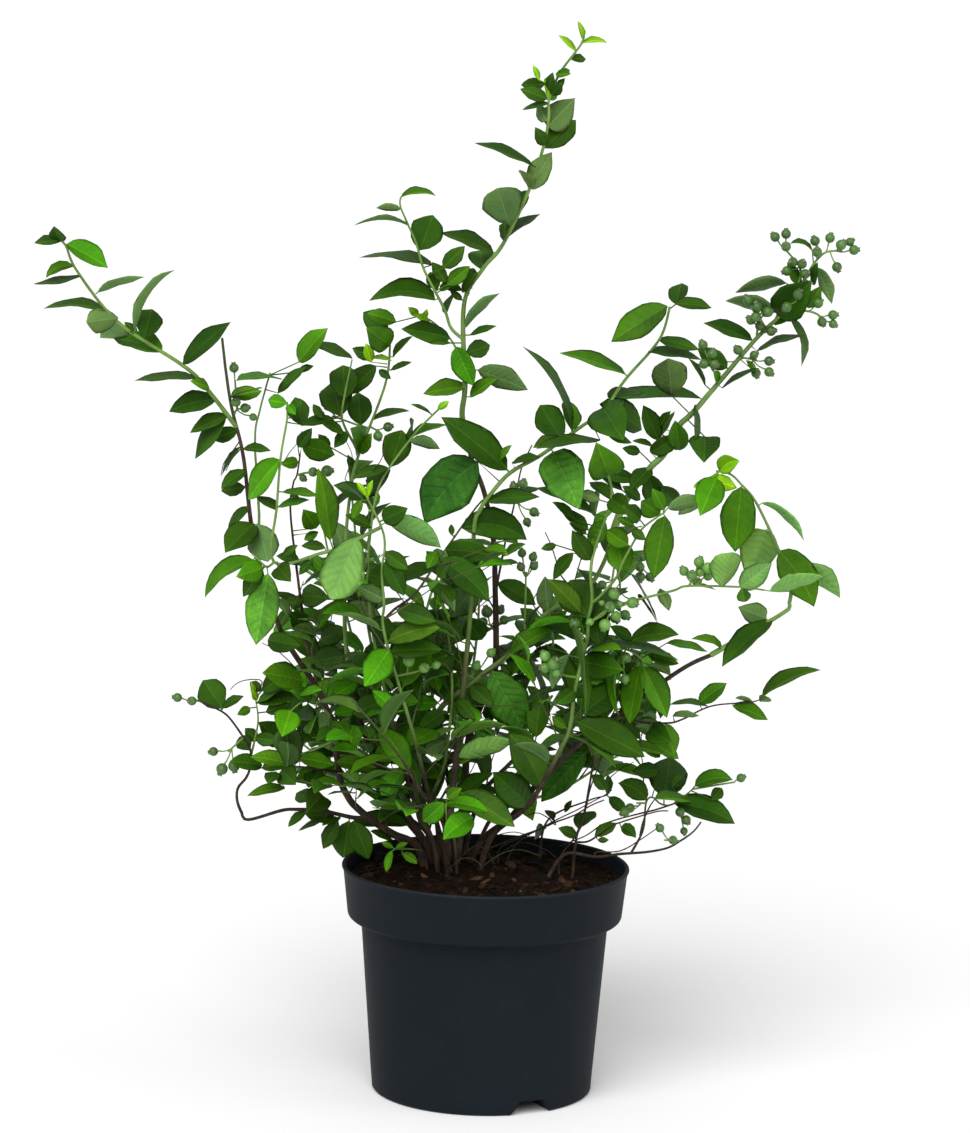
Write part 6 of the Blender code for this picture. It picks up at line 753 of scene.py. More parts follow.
class Stem:
    """A cane, shoot or twig: its line, its radii, and where leaves leave it."""

    def __init__(self, name, rows, order):
        thick, thin, lead, end, *node = rows[0]
        self.name = name
        self.node = node[0] if node else name
        self.order = order
        self.behind = end == "back"
        self.clear = lead * TENTH + END_CLEAR
        self.points = [Vector(point) * TENTH for point in rows[1:]]
        steps = [(high - low).length for low, high in zip(self.points, self.points[1:])]
        walked = list(accumulate(steps, initial=0.0))
        self.shares = [length / walked[-1] for length in walked]
        self.radii = [(thick + (thin - thick) * share ** 0.8) * MM for share in self.shares]
        self.rooted = self.points[0].z < SOIL_CROWN + 0.004 and self.points[0].xy.length < 0.1

    def at(self, index, share):
        """A place on the stem and the radius there."""
        index = min(index, len(self.points) - 2)
        place = self.points[index].lerp(self.points[index + 1], share)
        return place, self.radii[index] * (1 - share) + self.radii[index + 1] * share

    def direction(self, index):
        index = min(index, len(self.points) - 2)
        return (self.points[index + 1] - self.points[index]).normalized()

    def near(self, px, py):
        """The place on the stem that shows nearest to a picture point: how far off, vertex, share."""
        seen = [to_picture(point) for point in self.points]
        best = (math.inf, 0, 0.0)
        for index, (ax, ay) in enumerate(seen[:-1]):
            dx = seen[index + 1][0] - ax
            dy = seen[index + 1][1] - ay
            share = held(((px - ax) * dx + (py - ay) * dy) / max(dx * dx + dy * dy, 1e-9))
            away = math.hypot(ax + dx * share - px, ay + dy * share - py)
            if away < best[0]:
                best = (away, index, share)
        return best

    def inside(self, index, share):
        """A place on the stem that is clear of both ends of its own solid."""
        place = self.at(index, share)[0]
        if (place - self.points[-1]).length < END_CLEAR:
            place = self.points[-1] - self.direction(len(self.points)) * END_CLEAR
        if not self.rooted and (place - self.points[0]).length < self.clear:
            length = (self.points[1] - self.points[0]).length
            if length > self.clear:
                place = self.points[0] + self.direction(0) * self.clear
            else:
                place = self.points[1] + self.direction(1) * max(0.0, self.clear - length)
        return place

    def leaving(self, share, turn, pitch):
        """Where a thing leaves the stem: its root, the radius there, its course and the way outward."""
        count = len(self.points) - 1
        index = min(int(share * count), count - 1)
        root, around = self.at(index, share * count - index)
        along = self.direction(index)
        first = along.orthogonal().normalized()
        second = along.cross(first).normalized()
        outward = first * math.cos(turn) + second * math.sin(turn)
        course = (along * math.cos(pitch) + outward * math.sin(pitch)).normalized()
        return root, around, course, outward

    def tube(self):
        """The stem's points, radii and woodiness, begun inside the soil where it is rooted."""
        points, radii, shares = list(self.points), list(self.radii), list(self.shares)
        if self.rooted:
            points.insert(0, points[0] - UP * SUNK)
            radii.insert(0, radii[0])
            shares.insert(0, 0.0)
        fuller = FULLER.get(self.name, 1.0)
        return points, [radius * fuller for radius in radii], [self.wood(share) for share in shares]

    def wood(self, share):
        """How woody the stem is at a share of its length."""
        if self.name in WOODINESS:
            low, high = WOODINESS[self.name]
            return low + (high - low) * share
        if self.rooted:
            return held((0.50 - share) / 0.25)
        return max(0.0, 0.25 - share)


class Leaf:
    """One blade: where it grows from, its middle line, its width and the way it faces."""

    def __init__(self, root, base, tip, facing, width, bow, tone, key, spread=1.0):
        self.root, self.base, self.tip, self.facing = root, base, tip, facing
        self.width, self.bow, self.tone, self.key, self.spread = width, bow, tone, key, spread
        self.length = (tip - base).length

    def luck(self, word):
        return draw(self.key, word)

    def fold(self):
        """How far the halves fold up from the midrib: less on a leaf that is seen from its edge."""
        return within(LEAF_FOLD, self.luck("fold")) * self.spread

    def broad(self):
        """0 for a leaf of usual shape, up to 1 for a broad one, which is widest nearer its stalk."""
        return held((self.width / self.length - 0.50) / 0.12)

    def tint(self):
        """The leaf's own green: its tone, lighter or darker and yellower or bluer by chance."""
        red, green, blue = LEAF_TONES[self.tone][:3]
        bright = within(LEAF_BRIGHT, self.luck("bright"))
        warm = within(LEAF_WARM, self.luck("warm"))
        return (red * bright * warm, green * bright, blue * bright * (2.0 - warm), 1.0)


def seen_leaf(stem, spec, number):
    """A leaf that shows between the given picture points."""
    bx, by, tx, ty, width, tone, lean_more, roll_more, sway_x, sway_y = (*spec, 0, 0, 0, 0)[:10]

    def luck(word):
        return draw(stem.name, number, word)

    away, index, share = stem.near(bx, by)
    root = stem.inside(index, share)
    size = (root - VIEW_STAND).length / VIEW_FOCAL
    seen_length = math.hypot(tx - bx, ty - by) * size
    seen_width = width * size
    # A leaf that shows short for its width leans toward the eye or away from it.
    full = max(seen_length, seen_width / LEAF_RATIO * FORESHORTENED)
    full = min(full, max(LEAF_LONGEST, seen_length))
    lean = min(math.acos(min(1.0, seen_length / full)), math.radians(STEEPEST))
    sign = -1.0 if ty > by - HARDLY_RISING else 1.0
    if stem.behind:
        sign = -sign
    if luck("lean") < 0.25:
        sign = -sign
    lean = lean * sign + math.radians(lean_more) + math.radians(SEEN_TILT * (luck("tilt") - 0.5))
    reach = min(away * size, STALK_LONGEST)
    base = photo_point(bx, by, root.y + 0.35 * reach * math.sin(lean))
    tip = photo_point(tx, ty, base.y + seen_length * math.tan(held(lean, -LEAN_LIMIT, LEAN_LIMIT)))
    along = tip - base
    length = along.length
    along.normalize()
    narrowest, widest = LONG_LEAF_WIDTHS if length > LONG_LEAF else LEAF_WIDTHS
    true_width = min(max(seen_width, narrowest * length), widest * length)
    # One that shows narrow for its length is rolled about its midrib.
    to_eye = (VIEW_STAND - base).normalized()
    flat = (to_eye - along * to_eye.dot(along)).normalized()
    cross = along.cross(flat).normalized()
    roll = math.acos(min(1.0, seen_width / true_width)) + math.radians(roll_more)
    if cross.z < 0 or (abs(cross.z) < 0.15 and luck("roll") < 0.5):
        cross = -cross
    if tone in UNDERSIDES:
        facing = cross * math.sin(roll) - flat * math.cos(roll)
    else:
        facing = flat * math.cos(roll) + cross * math.sin(roll)
        if facing.z < LOWEST_FACING:
            facing = flat * math.cos(roll) - cross * math.sin(roll)
    true_width *= FULLNESS
    bow = facing * (SEEN_BOW * length)
    if sway_x or sway_y:
        middle = photo_point((bx + tx) * 0.5 + sway_x * SWAY, (by + ty) * 0.5 + sway_y * SWAY,
                             (base.y + tip.y) * 0.5)
        bow = middle - (base + tip) * 0.5 + facing * (SWAYED_BOW * length)
    return Leaf(root, base, tip, facing.normalized(), true_width, bow, tone, stem.name + str(number),
                min(1.0, 0.25 + seen_width / true_width))


def faced(course, outward, tilt):
    """The way a blade on a course faces: as far up as it can, then tilted to a side by degrees."""
    side = course.cross(UP)
    if side.length < LEAST_LEVEL:
        side = course.cross(outward)
    side.normalize()
    facing = side.cross(course).normalized()
    tilt = math.radians(tilt)
    return (facing * math.cos(tilt) + side * math.sin(tilt)).normalized()


def grown_leaf(stem, number, share, lean_more=0, roll_more=0):
    """A leaf set by rule: each a golden turn round the stem from the last, rising and arching out."""
    def luck(word):
        return draw(stem.name, number, word)

    turn = number * GOLDEN_TURN + stem.order * STEM_TURN + math.radians(roll_more)
    pitch = math.radians(within(GROWN_PITCH, luck("pitch")) + lean_more * 0.6)
    root, around, course, outward = stem.leaving(share, turn, pitch)
    course.z -= GROWN_DROOP
    course.normalize()
    length = within(GROWN_LENGTH, luck("long"))
    base = root + course * (around + GROWN_STALK)
    facing = faced(course, outward, GROWN_TILT * (luck("tilt") - 0.5))
    tone = GROWN_TONES[int(luck("tone") * len(GROWN_TONES))]
    return Leaf(root, base, base + course * length, facing, GROWN_RATIO * length, facing * (GROWN_BOW * length),
                tone, stem.name + str(100 + number))


def sprig_line(stem, number, share, turn):
    """A fine side twig set by rule: the points of its line, arching up from its stem."""
    pitch = math.radians(within(SPRIG_PITCH, draw(stem.name, number, "sprig")))
    root, _, course, _ = stem.leaving(share, math.radians(turn), pitch)
    length = within(SPRIG_LENGTH, draw(stem.name, number, "reach"))
    points = [root]
    for step in range(1, SPRIG_STEPS + 1):
        aside = [draw(stem.name, number, step, axis) - 0.5 for axis in "xy"]
        course = (course + Vector((*aside, SPRIG_RISE)) * SPRIG_BEND).normalized()
        points.append(points[-1] + course * (length / SPRIG_STEPS))
    return points


def sprig_leaf(stem, number, points, place):
    """One of a fine twig's leaves: they stand to either side in turn, and the last one ends the twig."""
    def luck(word):
        return draw(stem.name, number, place, word)

    share = SPRIG_PLACES[place] * SPRIG_STEPS
    index = min(int(share), SPRIG_STEPS - 1)
    root = points[index].lerp(points[index + 1], share - index)
    along = (points[index + 1] - points[index]).normalized()
    side = along.cross(UP)
    if side.length < LEAST_LEVEL:
        side = along.orthogonal()
    side.normalize()
    swing = -1.0 if place % 2 else 1.0
    last = place == len(SPRIG_PLACES) - 1
    pitch = math.radians(SPRIG_END_PITCH if last else within(SPRIG_LEAF_PITCH, luck("pitch")))
    roll = math.radians(SPRIG_ROLL * (luck("roll") - 0.5))
    outward = (side * swing * math.cos(roll) + along.cross(side) * math.sin(roll)).normalized()
    course = (along * math.cos(pitch) + outward * math.sin(pitch) - UP * SPRIG_DROOP).normalized()
    length = within(SPRIG_LEAF_LENGTH, luck("long"))
    base = root + course * SPRIG_STALK
    tip = base + course * length
    facing = faced(course, outward, SPRIG_TILT * (luck("tilt") - 0.5))
    key = "%s%d_%d" % (stem.name, number, place)
    tone = SPRIG_TONES[int(draw(key, "tone") * len(SPRIG_TONES))]
    return Leaf(root, base, tip, facing, length * within(SPRIG_LEAF_RATIO, luck("wide")),
                facing * (GROWN_BOW * (tip - base).length), tone, key)


# Node trees.


def through(name, swapped=False):
    """A method that sends what flows here, and what else it is given, through a node."""
    def method(self, *others):
        return self.made(name, *others, self) if swapped else self.made(name, self, *others)
    return method


class Flow:
    """A number on its way through a tree, so that sums read as sums."""

    def __init__(self, nodes, socket):
        self.nodes = nodes
        self.socket = socket

    def made(self, name, *parts):
        return self.nodes.sum_up(name, *parts)

    __add__ = through("ADD")
    __radd__ = through("ADD", swapped=True)
    __sub__ = through("SUBTRACT")
    __rsub__ = through("SUBTRACT", swapped=True)
    __mul__ = through("MULTIPLY")
    __truediv__ = through("DIVIDE")
    __pow__ = through("POWER")
    sine = through("SINE")
    cosine = through("COSINE")
    absolute = through("ABSOLUTE")
    fraction = through("FRACT")
    at_least = through("MAXIMUM")
    at_most = through("MINIMUM")
    below = through("LESS_THAN")


class Arrow(Flow):
    """A vector on its way through a tree."""

    def made(self, name, *parts):
        return self.nodes.vector(name, *parts)

    __mul__ = through("SCALE")
    cross = through("CROSS_PRODUCT")
    unit = through("NORMALIZE")

    def toward(self, other, share):
        """Part of the way from this vector to another."""
        return self * (1.0 - share) + other * share


class Nodes:
    """A node tree in the making, for a shape or a finish."""

    def link(self, value, socket):
        if isinstance(value, Flow):
            value = value.socket
        if isinstance(value, bpy.types.NodeSocket):
            self.tree.links.new(value, socket)
        else:
            socket.default_value = value

    def node(self, kind, **given):
        """A new node: words with a capital are its inputs, the others its settings."""
        node = self.tree.nodes.new(kind)
        for word, value in given.items():
            if word.islower():
                setattr(node, word, value)
        for word, value in given.items():
            if not word.islower():
                self.link(value, node.inputs[word.replace("_", " ")])
        return node

    def add(self, kind, out=0, **given):
        """What flows out of a new node."""
        return Flow(self, self.node(kind, **given).outputs[out])

    def join(self, x, y, z):
        """A vector of three numbers."""
        return self.add("ShaderNodeCombineXYZ", X=x, Y=y, Z=z)

    def parts(self, vector):
        """The three numbers of a vector."""
        node = self.node("ShaderNodeSeparateXYZ", Vector=vector)
        return [Flow(self, output) for output in node.outputs]

    def sum_up(self, operation, *parts):
        node = self.node("ShaderNodeMath", operation=operation)
        for part, socket in zip(parts, node.inputs):
            self.link(part, socket)
        return Flow(self, node.outputs[0])


class Bench(Nodes):
    """A Geometry Nodes tree in the making, with named inputs for its sizes."""

    def __init__(self, name, **sizes):
        self.tree = bpy.data.node_groups.new(name, "GeometryNodeTree")
        face = self.tree.interface
        for way in ("INPUT", "OUTPUT"):
            face.new_socket("Geometry", in_out=way, socket_type="NodeSocketGeometry")
        self.sizes = {}
        for label, value in sizes.items():
            kind = "NodeSocketInt" if isinstance(value, int) else "NodeSocketFloat"
            self.sizes[face.new_socket(label, in_out="INPUT", socket_type=kind).identifier] = value
        self.given = self.tree.nodes.new("NodeGroupInput")
        self.start = self.given.outputs["Geometry"]

    def size(self, label):
        return Flow(self, self.given.outputs[label])

    def vector(self, operation, *parts):
        node = self.node("ShaderNodeVectorMath", operation=operation)
        for place, part in enumerate(parts):
            self.link(part, node.inputs["Scale" if operation == "SCALE" and place == 1 else place])
        return Arrow(self, node.outputs["Vector"])

    def read(self, name):
        """A number that the points carry."""
        return self.add("GeometryNodeInputNamedAttribute", "Attribute", data_type="FLOAT", Name=name)

    def read_arrow(self, name):
        """A vector that the points carry."""
        node = self.node("GeometryNodeInputNamedAttribute", data_type="FLOAT_VECTOR", Name=name)
        return Arrow(self, node.outputs["Attribute"])

    def store(self, geometry, name, value, kind="FLOAT", domain="POINT"):
        return self.add("GeometryNodeStoreNamedAttribute", data_type=kind, domain=domain, Geometry=geometry,
                        Name=name, Value=value)

    def drift(self, scale, reach):
        """A small way to either side that changes from place to place."""
        place = self.add("GeometryNodeInputPosition")
        rough = self.node("ShaderNodeTexNoise", Vector=place, Scale=scale, Detail=1.0)
        return (Arrow(self, rough.outputs["Color"]) - (0.5, 0.5, 0.5)) * reach

    def chance(self, seed, low=0.0, high=1.0):
        """A number, or a vector, drawn between low and high for each copy."""
        kind, first, out = ("FLOAT_VECTOR", 0, 0) if isinstance(low, tuple) else ("FLOAT", 2, 1)
        node = self.node("FunctionNodeRandomValue", data_type=kind, Seed=seed)
        self.link(low, node.inputs[first])
        self.link(high, node.inputs[first + 1])
        return Flow(self, node.outputs[out])

    def sheet(self, rings, sides):
        """A flat grid to be bent round, with each point's ring and its turn round the middle."""
        grid = self.add("GeometryNodeMeshGrid", Size_X=1.0, Size_Y=1.0, Vertices_X=rings, Vertices_Y=sides + 1)
        grid = self.store(grid, "grid_place", self.add("GeometryNodeInputPosition"), "FLOAT_VECTOR")
        x, y = self.parts(self.read_arrow("grid_place"))[:2]
        return grid, (x + 0.5) * float(rings - 1), (y + 0.5) * (2.0 * math.pi)

    def move(self, geometry, **given):
        return self.add("GeometryNodeSetPosition", Geometry=geometry, **given)

    def merge(self, geometry, distance):
        return self.add("GeometryNodeMergeByDistance", Geometry=geometry, Distance=distance)

    def copies(self, points, shape, **given):
        return self.add("GeometryNodeInstanceOnPoints", Points=points, Instance=shape, **given)

    def real(self, copies):
        return self.add("GeometryNodeRealizeInstances", Geometry=copies)

    def finish(self, geometry, material):
        geometry = self.add("GeometryNodeSetMaterial", Geometry=self.real(geometry), Material=material)
        self.link(geometry, self.tree.nodes.new("NodeGroupOutput").inputs[0])
        return self


# What grows from points and lines.


def stem_tree(bark):
    """Round tapered stems along lines, knuckled at random along them, with closed ends."""
    bench = Bench("stems", Step=0.003, Knuckle=0.09, Wander=0.00035, Sides=8)
    line = bench.add("GeometryNodeMeshToCurve", Mesh=bench.start)
    line = bench.add("GeometryNodeCurveSplineType", Curve=line, spline_type="CATMULL_ROM")
    line = bench.add("GeometryNodeResampleCurve", Curve=line, Length=bench.size("Step"), mode="LENGTH")
    line = bench.move(line, Offset=bench.drift(90.0, bench.size("Wander")))
    place = bench.add("GeometryNodeInputPosition")
    fine = bench.add("ShaderNodeTexNoise", Vector=place, Scale=160.0, Detail=2.0)
    radius = bench.read("thickness") * (1.0 + (fine - 0.5) * 2.0 * bench.size("Knuckle"))
    ring = bench.add("GeometryNodeCurvePrimitiveCircle", Resolution=bench.size("Sides"), Radius=1.0)
    tube = bench.add("GeometryNodeCurveToMesh", Curve=line, Profile_Curve=ring, Scale=radius, Fill_Caps=True)
    return bench.finish(tube, bark)


def leaf_tree(leaf_skin, rings):
    """Blades on stalks from points that say where each grows, ends and faces: a closed thin lens each."""
    bench = Bench("leaves", Blade=0.00030, Stalk=0.00055, Rib=0.00030, Wave=0.06, Curl=0.06, Point=0.34,
                  Uneven=0.035)
    grid, ring, turn = bench.sheet(rings, LEAF_SIDES)
    real = bench.real(bench.copies(bench.start, grid))
    root, base, tip, facing, bow = map(bench.read_arrow, ("root", "base", "tip", "facing", "bow"))
    width, fold, luck, broad = map(bench.read, ("width", "fold", "luck", "broad"))
    # Rings 0 and 1 are the stalk's, and the others share out the blade, closer together at its ends.
    on_stalk = ring.below(1.5)
    at_root = ring.below(0.5)
    even = ((ring - 2.0) / float(rings - 3)).at_least(0.0)
    share = even * 0.55 + (1.0 - (even * math.pi).cosine()) * 0.225
    control = (base + tip) * 0.5 + bow * 2.0
    low = base.toward(control, share)
    high = control.toward(tip, share)
    middle = low.toward(high, share).toward(root.toward(base, 0.03), on_stalk).toward(root, at_root)
    course = (high - low).unit().toward((base - root).unit(), on_stalk)
    side = course.cross(facing).unit()
    rise = side.cross(course)
    # The outline swells from the stalk, nearer to it on a broad leaf, and the last factor makes its widest 1.
    outline = share ** 0.55 * (1.0 - share ** (2.2 - broad * 0.5)) * (broad * 0.218 + 1.87)
    outline = outline * (1.0 - share ** 6.0 * bench.size("Point"))
    stalk = bench.size("Stalk") * (1.0 - at_root)
    taper = (1.0 - share * 14.0).at_least(0.0)
    half = (width * 0.5 * outline).at_least(stalk * taper)
    thick = stalk * taper + bench.size("Blade") * (1.0 - taper) * (1.0 - share ** 8.0)
    # Across the blade x goes from -1 to 1, and y is above 0 on top and below 0 underneath.
    x = 0.0 - turn.cosine()
    y = turn.sine()
    wide = x.absolute()
    half = half * ((share * 15.0 + luck * 40.0 + x * 2.0).sine() * bench.size("Uneven") + 1.0)
    ripple = (share * 11.0 + luck * 6.0 + x * 0.8).sine() * bench.size("Wave") * wide * wide
    curl = bench.size("Curl") * wide * wide * (luck - 0.6) * 2.0
    bend = (1.0 - taper) * (fold * wide + ripple + curl)
    rib = bench.size("Rib") * (1.0 - taper) * (1.0 - share) * wide.below(0.1)
    lift = half * bend + thick * y - rib
    real = bench.store(real, "vein_place", bench.join(share, x, half * x * 1000.0), "FLOAT_VECTOR")
    real = bench.store(real, "underside", y.below(-0.01), domain="FACE")
    real = bench.move(real, Position=middle + side * (half * x) + rise * lift)
    return bench.finish(bench.merge(real, 0.000002), leaf_skin)


def berry_tree(skin):
    """Round berries, each with the five-lobed crown of its withered flower, turned to hang from its stalk."""
    bench = Bench("berries", Crown=0.42, Hollow=0.16)
    ball, ring, turn = bench.sheet(BERRY_RINGS, BERRY_SIDES)
    # Rings 0 to 9 are the berry's, 10 and 11 its crown's, and 12 closes the hollow inside.
    body = ring.at_most(9.0) / 9.0 * (math.pi * 0.86)
    past = (ring - 9.0).at_least(0.0)
    first = past.at_most(1.0)
    second = (past - 1.0).at_least(0.0).at_most(1.0)
    third = (past - 2.0).at_least(0.0).at_most(1.0)
    lobes = (turn * 5.0).cosine() * 0.5 + 0.5
    flat = body.sine()
    reach = flat + first * (0.02 + lobes * 0.10) - second * 0.16 - third * (flat - 0.14 + lobes * 0.10)
    crown = bench.size("Crown")
    tall = 0.0 - body.cosine() + first * crown * (0.35 + lobes * 0.55) - second * crown * (0.30 + lobes * 0.50)
    tall = tall - third * bench.size("Hollow")
    ball = bench.store(ball, "crown", first)
    ball = bench.move(ball, Position=bench.join(reach * turn.cosine(), reach * turn.sine(), tall))
    turned = bench.add("FunctionNodeAlignRotationToVector", axis="Z", Vector=bench.read_arrow("hang"))
    berries = bench.copies(bench.start, bench.merge(ball, 0.001), Rotation=turned, Scale=bench.read("radius"))
    return bench.finish(berries, skin)


def chip_tree(bark_chips):
    """Scattered scraps of bark and peat on the soil: rough blocks of every size, half sunk."""
    bench = Bench("chips", Density=24000.0, Smallest=0.0010, Largest=0.0075, Seed=7)
    spread = bench.add("GeometryNodeDistributePointsOnFaces", Mesh=bench.start, Density=bench.size("Density"),
                       Seed=bench.size("Seed"))
    block = bench.add("GeometryNodeMeshIcoSphere", Radius=1.0, Subdivisions=2)
    length = bench.size("Smallest") + (bench.size("Largest") - bench.size("Smallest")) * bench.chance(3) ** 3.4
    size = bench.join(length, length * bench.chance(5, 0.35, 0.8), length * bench.chance(6, 0.18, 0.55))
    turn = bench.chance(9, (-0.5, -0.5, 0.0), (0.5, 0.5, 6.283))
    chips = bench.copies(spread, block, Rotation=turn, Scale=size)
    chips = bench.real(bench.store(chips, "shade", bench.chance(11), domain="INSTANCE"))
    return bench.finish(bench.move(chips, Offset=bench.drift(420.0, 0.0016)), bark_chips)


# Finishes.


class Paint(Nodes):
    """A material in the making."""

    def __init__(self, name):
        self.material = bpy.data.materials.new(name)
        self.material.use_nodes = True
        self.tree = self.material.node_tree
        self.shader = self.tree.nodes["Principled BSDF"]
        self.spot = self.add("ShaderNodeTexCoord", "Object")

    def read(self, name, out="Fac"):
        """What the mesh carries under a name."""
        return self.add("ShaderNodeAttribute", out, attribute_name=name)

    def noise(self, scale, detail=3.0, roughness=0.55, place=None):
        return self.add("ShaderNodeTexNoise", Vector=place or self.spot, Scale=scale, Detail=detail,
                        Roughness=roughness)

    def mix(self, share, low, high, kind="MIX"):
        node = self.node("ShaderNodeMix", data_type="RGBA", blend_type=kind)
        for place, value in ((0, share), (6, low), (7, high)):
            if isinstance(value, tuple):
                value = value + (1.0,)
            self.link(value, node.inputs[place])
        return Flow(self, node.outputs[2])

    def times(self, colour, by):
        return self.mix(1.0, colour, by, "MULTIPLY")

    def clamp(self, value, low, high, new_low=0.0, new_high=1.0):
        """A value between low and high, spread between two others."""
        return self.add("ShaderNodeMapRange", Value=value, From_Min=low, From_Max=high, To_Min=new_low,
                        To_Max=new_high)

    def ranged(self, value, low, high, first, second):
        """A colour between two, as a value goes from low to high."""
        return self.mix(self.clamp(value, low, high), first, second)

    def bump(self, height, strength, distance):
        node = self.node("ShaderNodeBump", Height=height, Strength=strength, Distance=distance)
        self.link(node.outputs["Normal"], self.shader.inputs["Normal"])

    def finish(self, colour, rough, gloss):
        for label, value in (("Base Color", colour), ("Roughness", rough), ("Specular IOR Level", gloss)):
            self.link(value, self.shader.inputs[label])
        return self.material


def leaf_finish():
    """Waxy leaf green by leaf, with paler midrib and side veins, a matt paler underside, faint blotches, and one half
    of each blade painted lighter and the other darker as painted shade on its fold.
    """
    paint = Paint("leaf_green")
    tint = paint.read("tint", "Color")
    relief = paint.read("relief")
    # Side veins slant from the midrib, the blade puffs up between them, and a fine net fills it.
    along, over, aside = paint.parts(paint.read("vein_place", "Vector"))
    across = over.absolute()
    slope = along * 8.0 - across * 1.55 + across * across * 0.35 + (paint.noise(140.0, 1.0) - 0.5) * 0.35
    line = (slope.fraction() - 0.5).absolute()
    faint = paint.clamp(across, 0.55, 1.0, 1.0, 0.15)
    vein = paint.clamp(line, 0.42, 0.5) * faint * relief
    quilt = 1.0 - line * line * 4.0
    rib = paint.clamp(aside.absolute(), 0.70, 0.25)
    cells = paint.add("ShaderNodeTexVoronoi", "Distance", Vector=paint.spot, Scale=420.0,
                      feature="DISTANCE_TO_EDGE")
    net = paint.clamp(cells, 0.16, 0.0) * relief
    lines = (vein * 0.75).at_least(net * 0.30).at_least(rib)
    blotch = paint.noise(55.0, 3.0, 0.6)
    body = paint.ranged(blotch, 0.35, 0.7, tint, paint.times(tint, (1.35, 1.22, 1.1)))
    # Painted shade: by chance one half of the blade, beside the midrib, is painted lighter and the other darker, as
    # light falls on a folded leaf. The blade is also darker towards its stalk, lighter towards its tip and lighter
    # between its side veins.
    half = paint.clamp(over, -0.12, 0.12, -1.0, 1.0) * (paint.read("luck") - 0.5)
    light = paint.clamp(along, 0.0, 1.0, 0.86, 1.16) + half * 0.42 + (quilt - 0.5) * faint * relief * 0.16
    light = light + (blotch - 0.5) * relief * 0.7
    body = paint.times(body, paint.join(light, light, light))
    veined = paint.mix(lines * 0.7, body, paint.times(body, (2.2, 1.75, 2.6)))
    pale = paint.mix(0.10, paint.times(body, (1.25, 1.12, 1.6)), (0.19, 0.32, 0.12))
    pale = paint.mix(lines * 0.4, pale, (0.24, 0.40, 0.15))
    under = paint.read("underside")
    rough = paint.clamp(paint.noise(320.0, 2.0), 0.3, 0.7, 0.36, 0.52) + under * 0.16
    fine = paint.noise(900.0, 2.0)
    paint.bump(fine * 0.2 - lines * 0.5 + quilt * faint * relief * 1.2 + blotch * 0.8, 0.6, 0.0005)
    paint.shader.inputs["IOR"].default_value = 1.45
    return paint.finish(paint.mix(under, veined, pale), rough, 0.09)


def bark_finish():
    """Brown flaking bark on old wood, turning to smooth green skin on young shoots."""
    paint = Paint("bark_and_green_stem")
    wood = paint.read("wood")
    stretched = paint.add("ShaderNodeMapping", Vector=paint.spot, Scale=(1.0, 1.0, 0.22))
    flakes = paint.noise(700.0, 4.0, 0.65, stretched)
    broad = paint.noise(60.0)
    brown = paint.ranged(flakes, 0.35, 0.65, (0.009, 0.0055, 0.0035), (0.048, 0.027, 0.014))
    brown = paint.ranged(broad, 0.5, 0.75, brown, (0.085, 0.053, 0.030))
    green = paint.ranged(broad, 0.35, 0.65, (0.080, 0.165, 0.024), (0.160, 0.280, 0.050))
    colour = paint.ranged(wood + (broad - 0.5) * 0.5, 0.25, 0.75, green, brown)
    paint.bump(flakes * wood + broad * 0.2, 0.8, 0.0005)
    return paint.finish(colour, paint.clamp(wood, 0.0, 1.0, 0.45, 0.85), 0.35)


def berry_finish():
    """Unripe berry: bluish green under a thin pale bloom, its crown darker and dry at the lip."""
    paint = Paint("berry_green")
    blotch = paint.noise(180.0)
    tint = paint.read("tint", "Color")
    skin = paint.ranged(blotch, 0.3, 0.7, tint, paint.times(tint, (1.3, 1.2, 1.35)))
    lip = paint.ranged(paint.noise(600.0, 2.0), 0.3, 0.7, (0.085, 0.090, 0.045), (0.150, 0.190, 0.080))
    paint.bump(paint.noise(900.0, 2.0), 0.15, 0.0002)
    return paint.finish(paint.mix(paint.read("crown") * 0.85, skin, lip),
                        paint.clamp(blotch, 0.3, 0.7, 0.30, 0.46), 0.45)


def plastic_finish():
    """Slate-black moulded plastic: satin, faintly mottled, lighter along its lips, with a painted highlight and scuffs
    along the rim and scuffs along the foot.
    """
    paint = Paint("slate_plastic")
    broad = paint.noise(9.0)
    fine = paint.noise(1500.0, 2.0)
    height = paint.parts(paint.spot)[2]
    colour = paint.ranged(broad, 0.3, 0.7, (0.0064, 0.0092, 0.0124), (0.0084, 0.0118, 0.0156))
    # Painted highlight with scuffs: a lighter, mottled band along the rolled rim; along the foot, lighter scuffs.
    top = paint.clamp(height, POT_HEIGHT - 0.0022, POT_HEIGHT - 0.0006)
    lip = top.at_least(paint.clamp(height, 0.0022, 0.0004))
    rim_highlight_and_scuff = lip * paint.clamp(paint.noise(130.0), 0.3, 0.7, 0.35, 0.65)
    colour = paint.mix(rim_highlight_and_scuff * 0.30, colour, (0.060, 0.068, 0.076))
    dust = paint.clamp(paint.noise(48.0, 5.0, 0.7), 0.56, 0.78)
    colour = paint.mix(dust * 0.04, colour, (0.10, 0.095, 0.085))
    paint.bump(fine * 0.5 + paint.noise(22.0, 2.0) * 0.5, 0.10, 0.0004)
    return paint.finish(colour, paint.clamp(broad, 0.3, 0.7, 0.54, 0.62) + dust * 0.08, 0.06)


def soil_finish():
    """Dark damp peat, crumbly, with redder and paler crumbs."""
    paint = Paint("peat")
    crumbs = paint.noise(300.0, 5.0, 0.7)
    colour = paint.ranged(crumbs, 0.35, 0.68, (0.0028, 0.0019, 0.0012), (0.024, 0.012, 0.006))
    colour = paint.ranged(paint.noise(60.0), 0.55, 0.75, colour, (0.038, 0.018, 0.010))
    paint.bump(crumbs, 1.0, 0.0018)
    return paint.finish(colour, 0.95, 0.05)


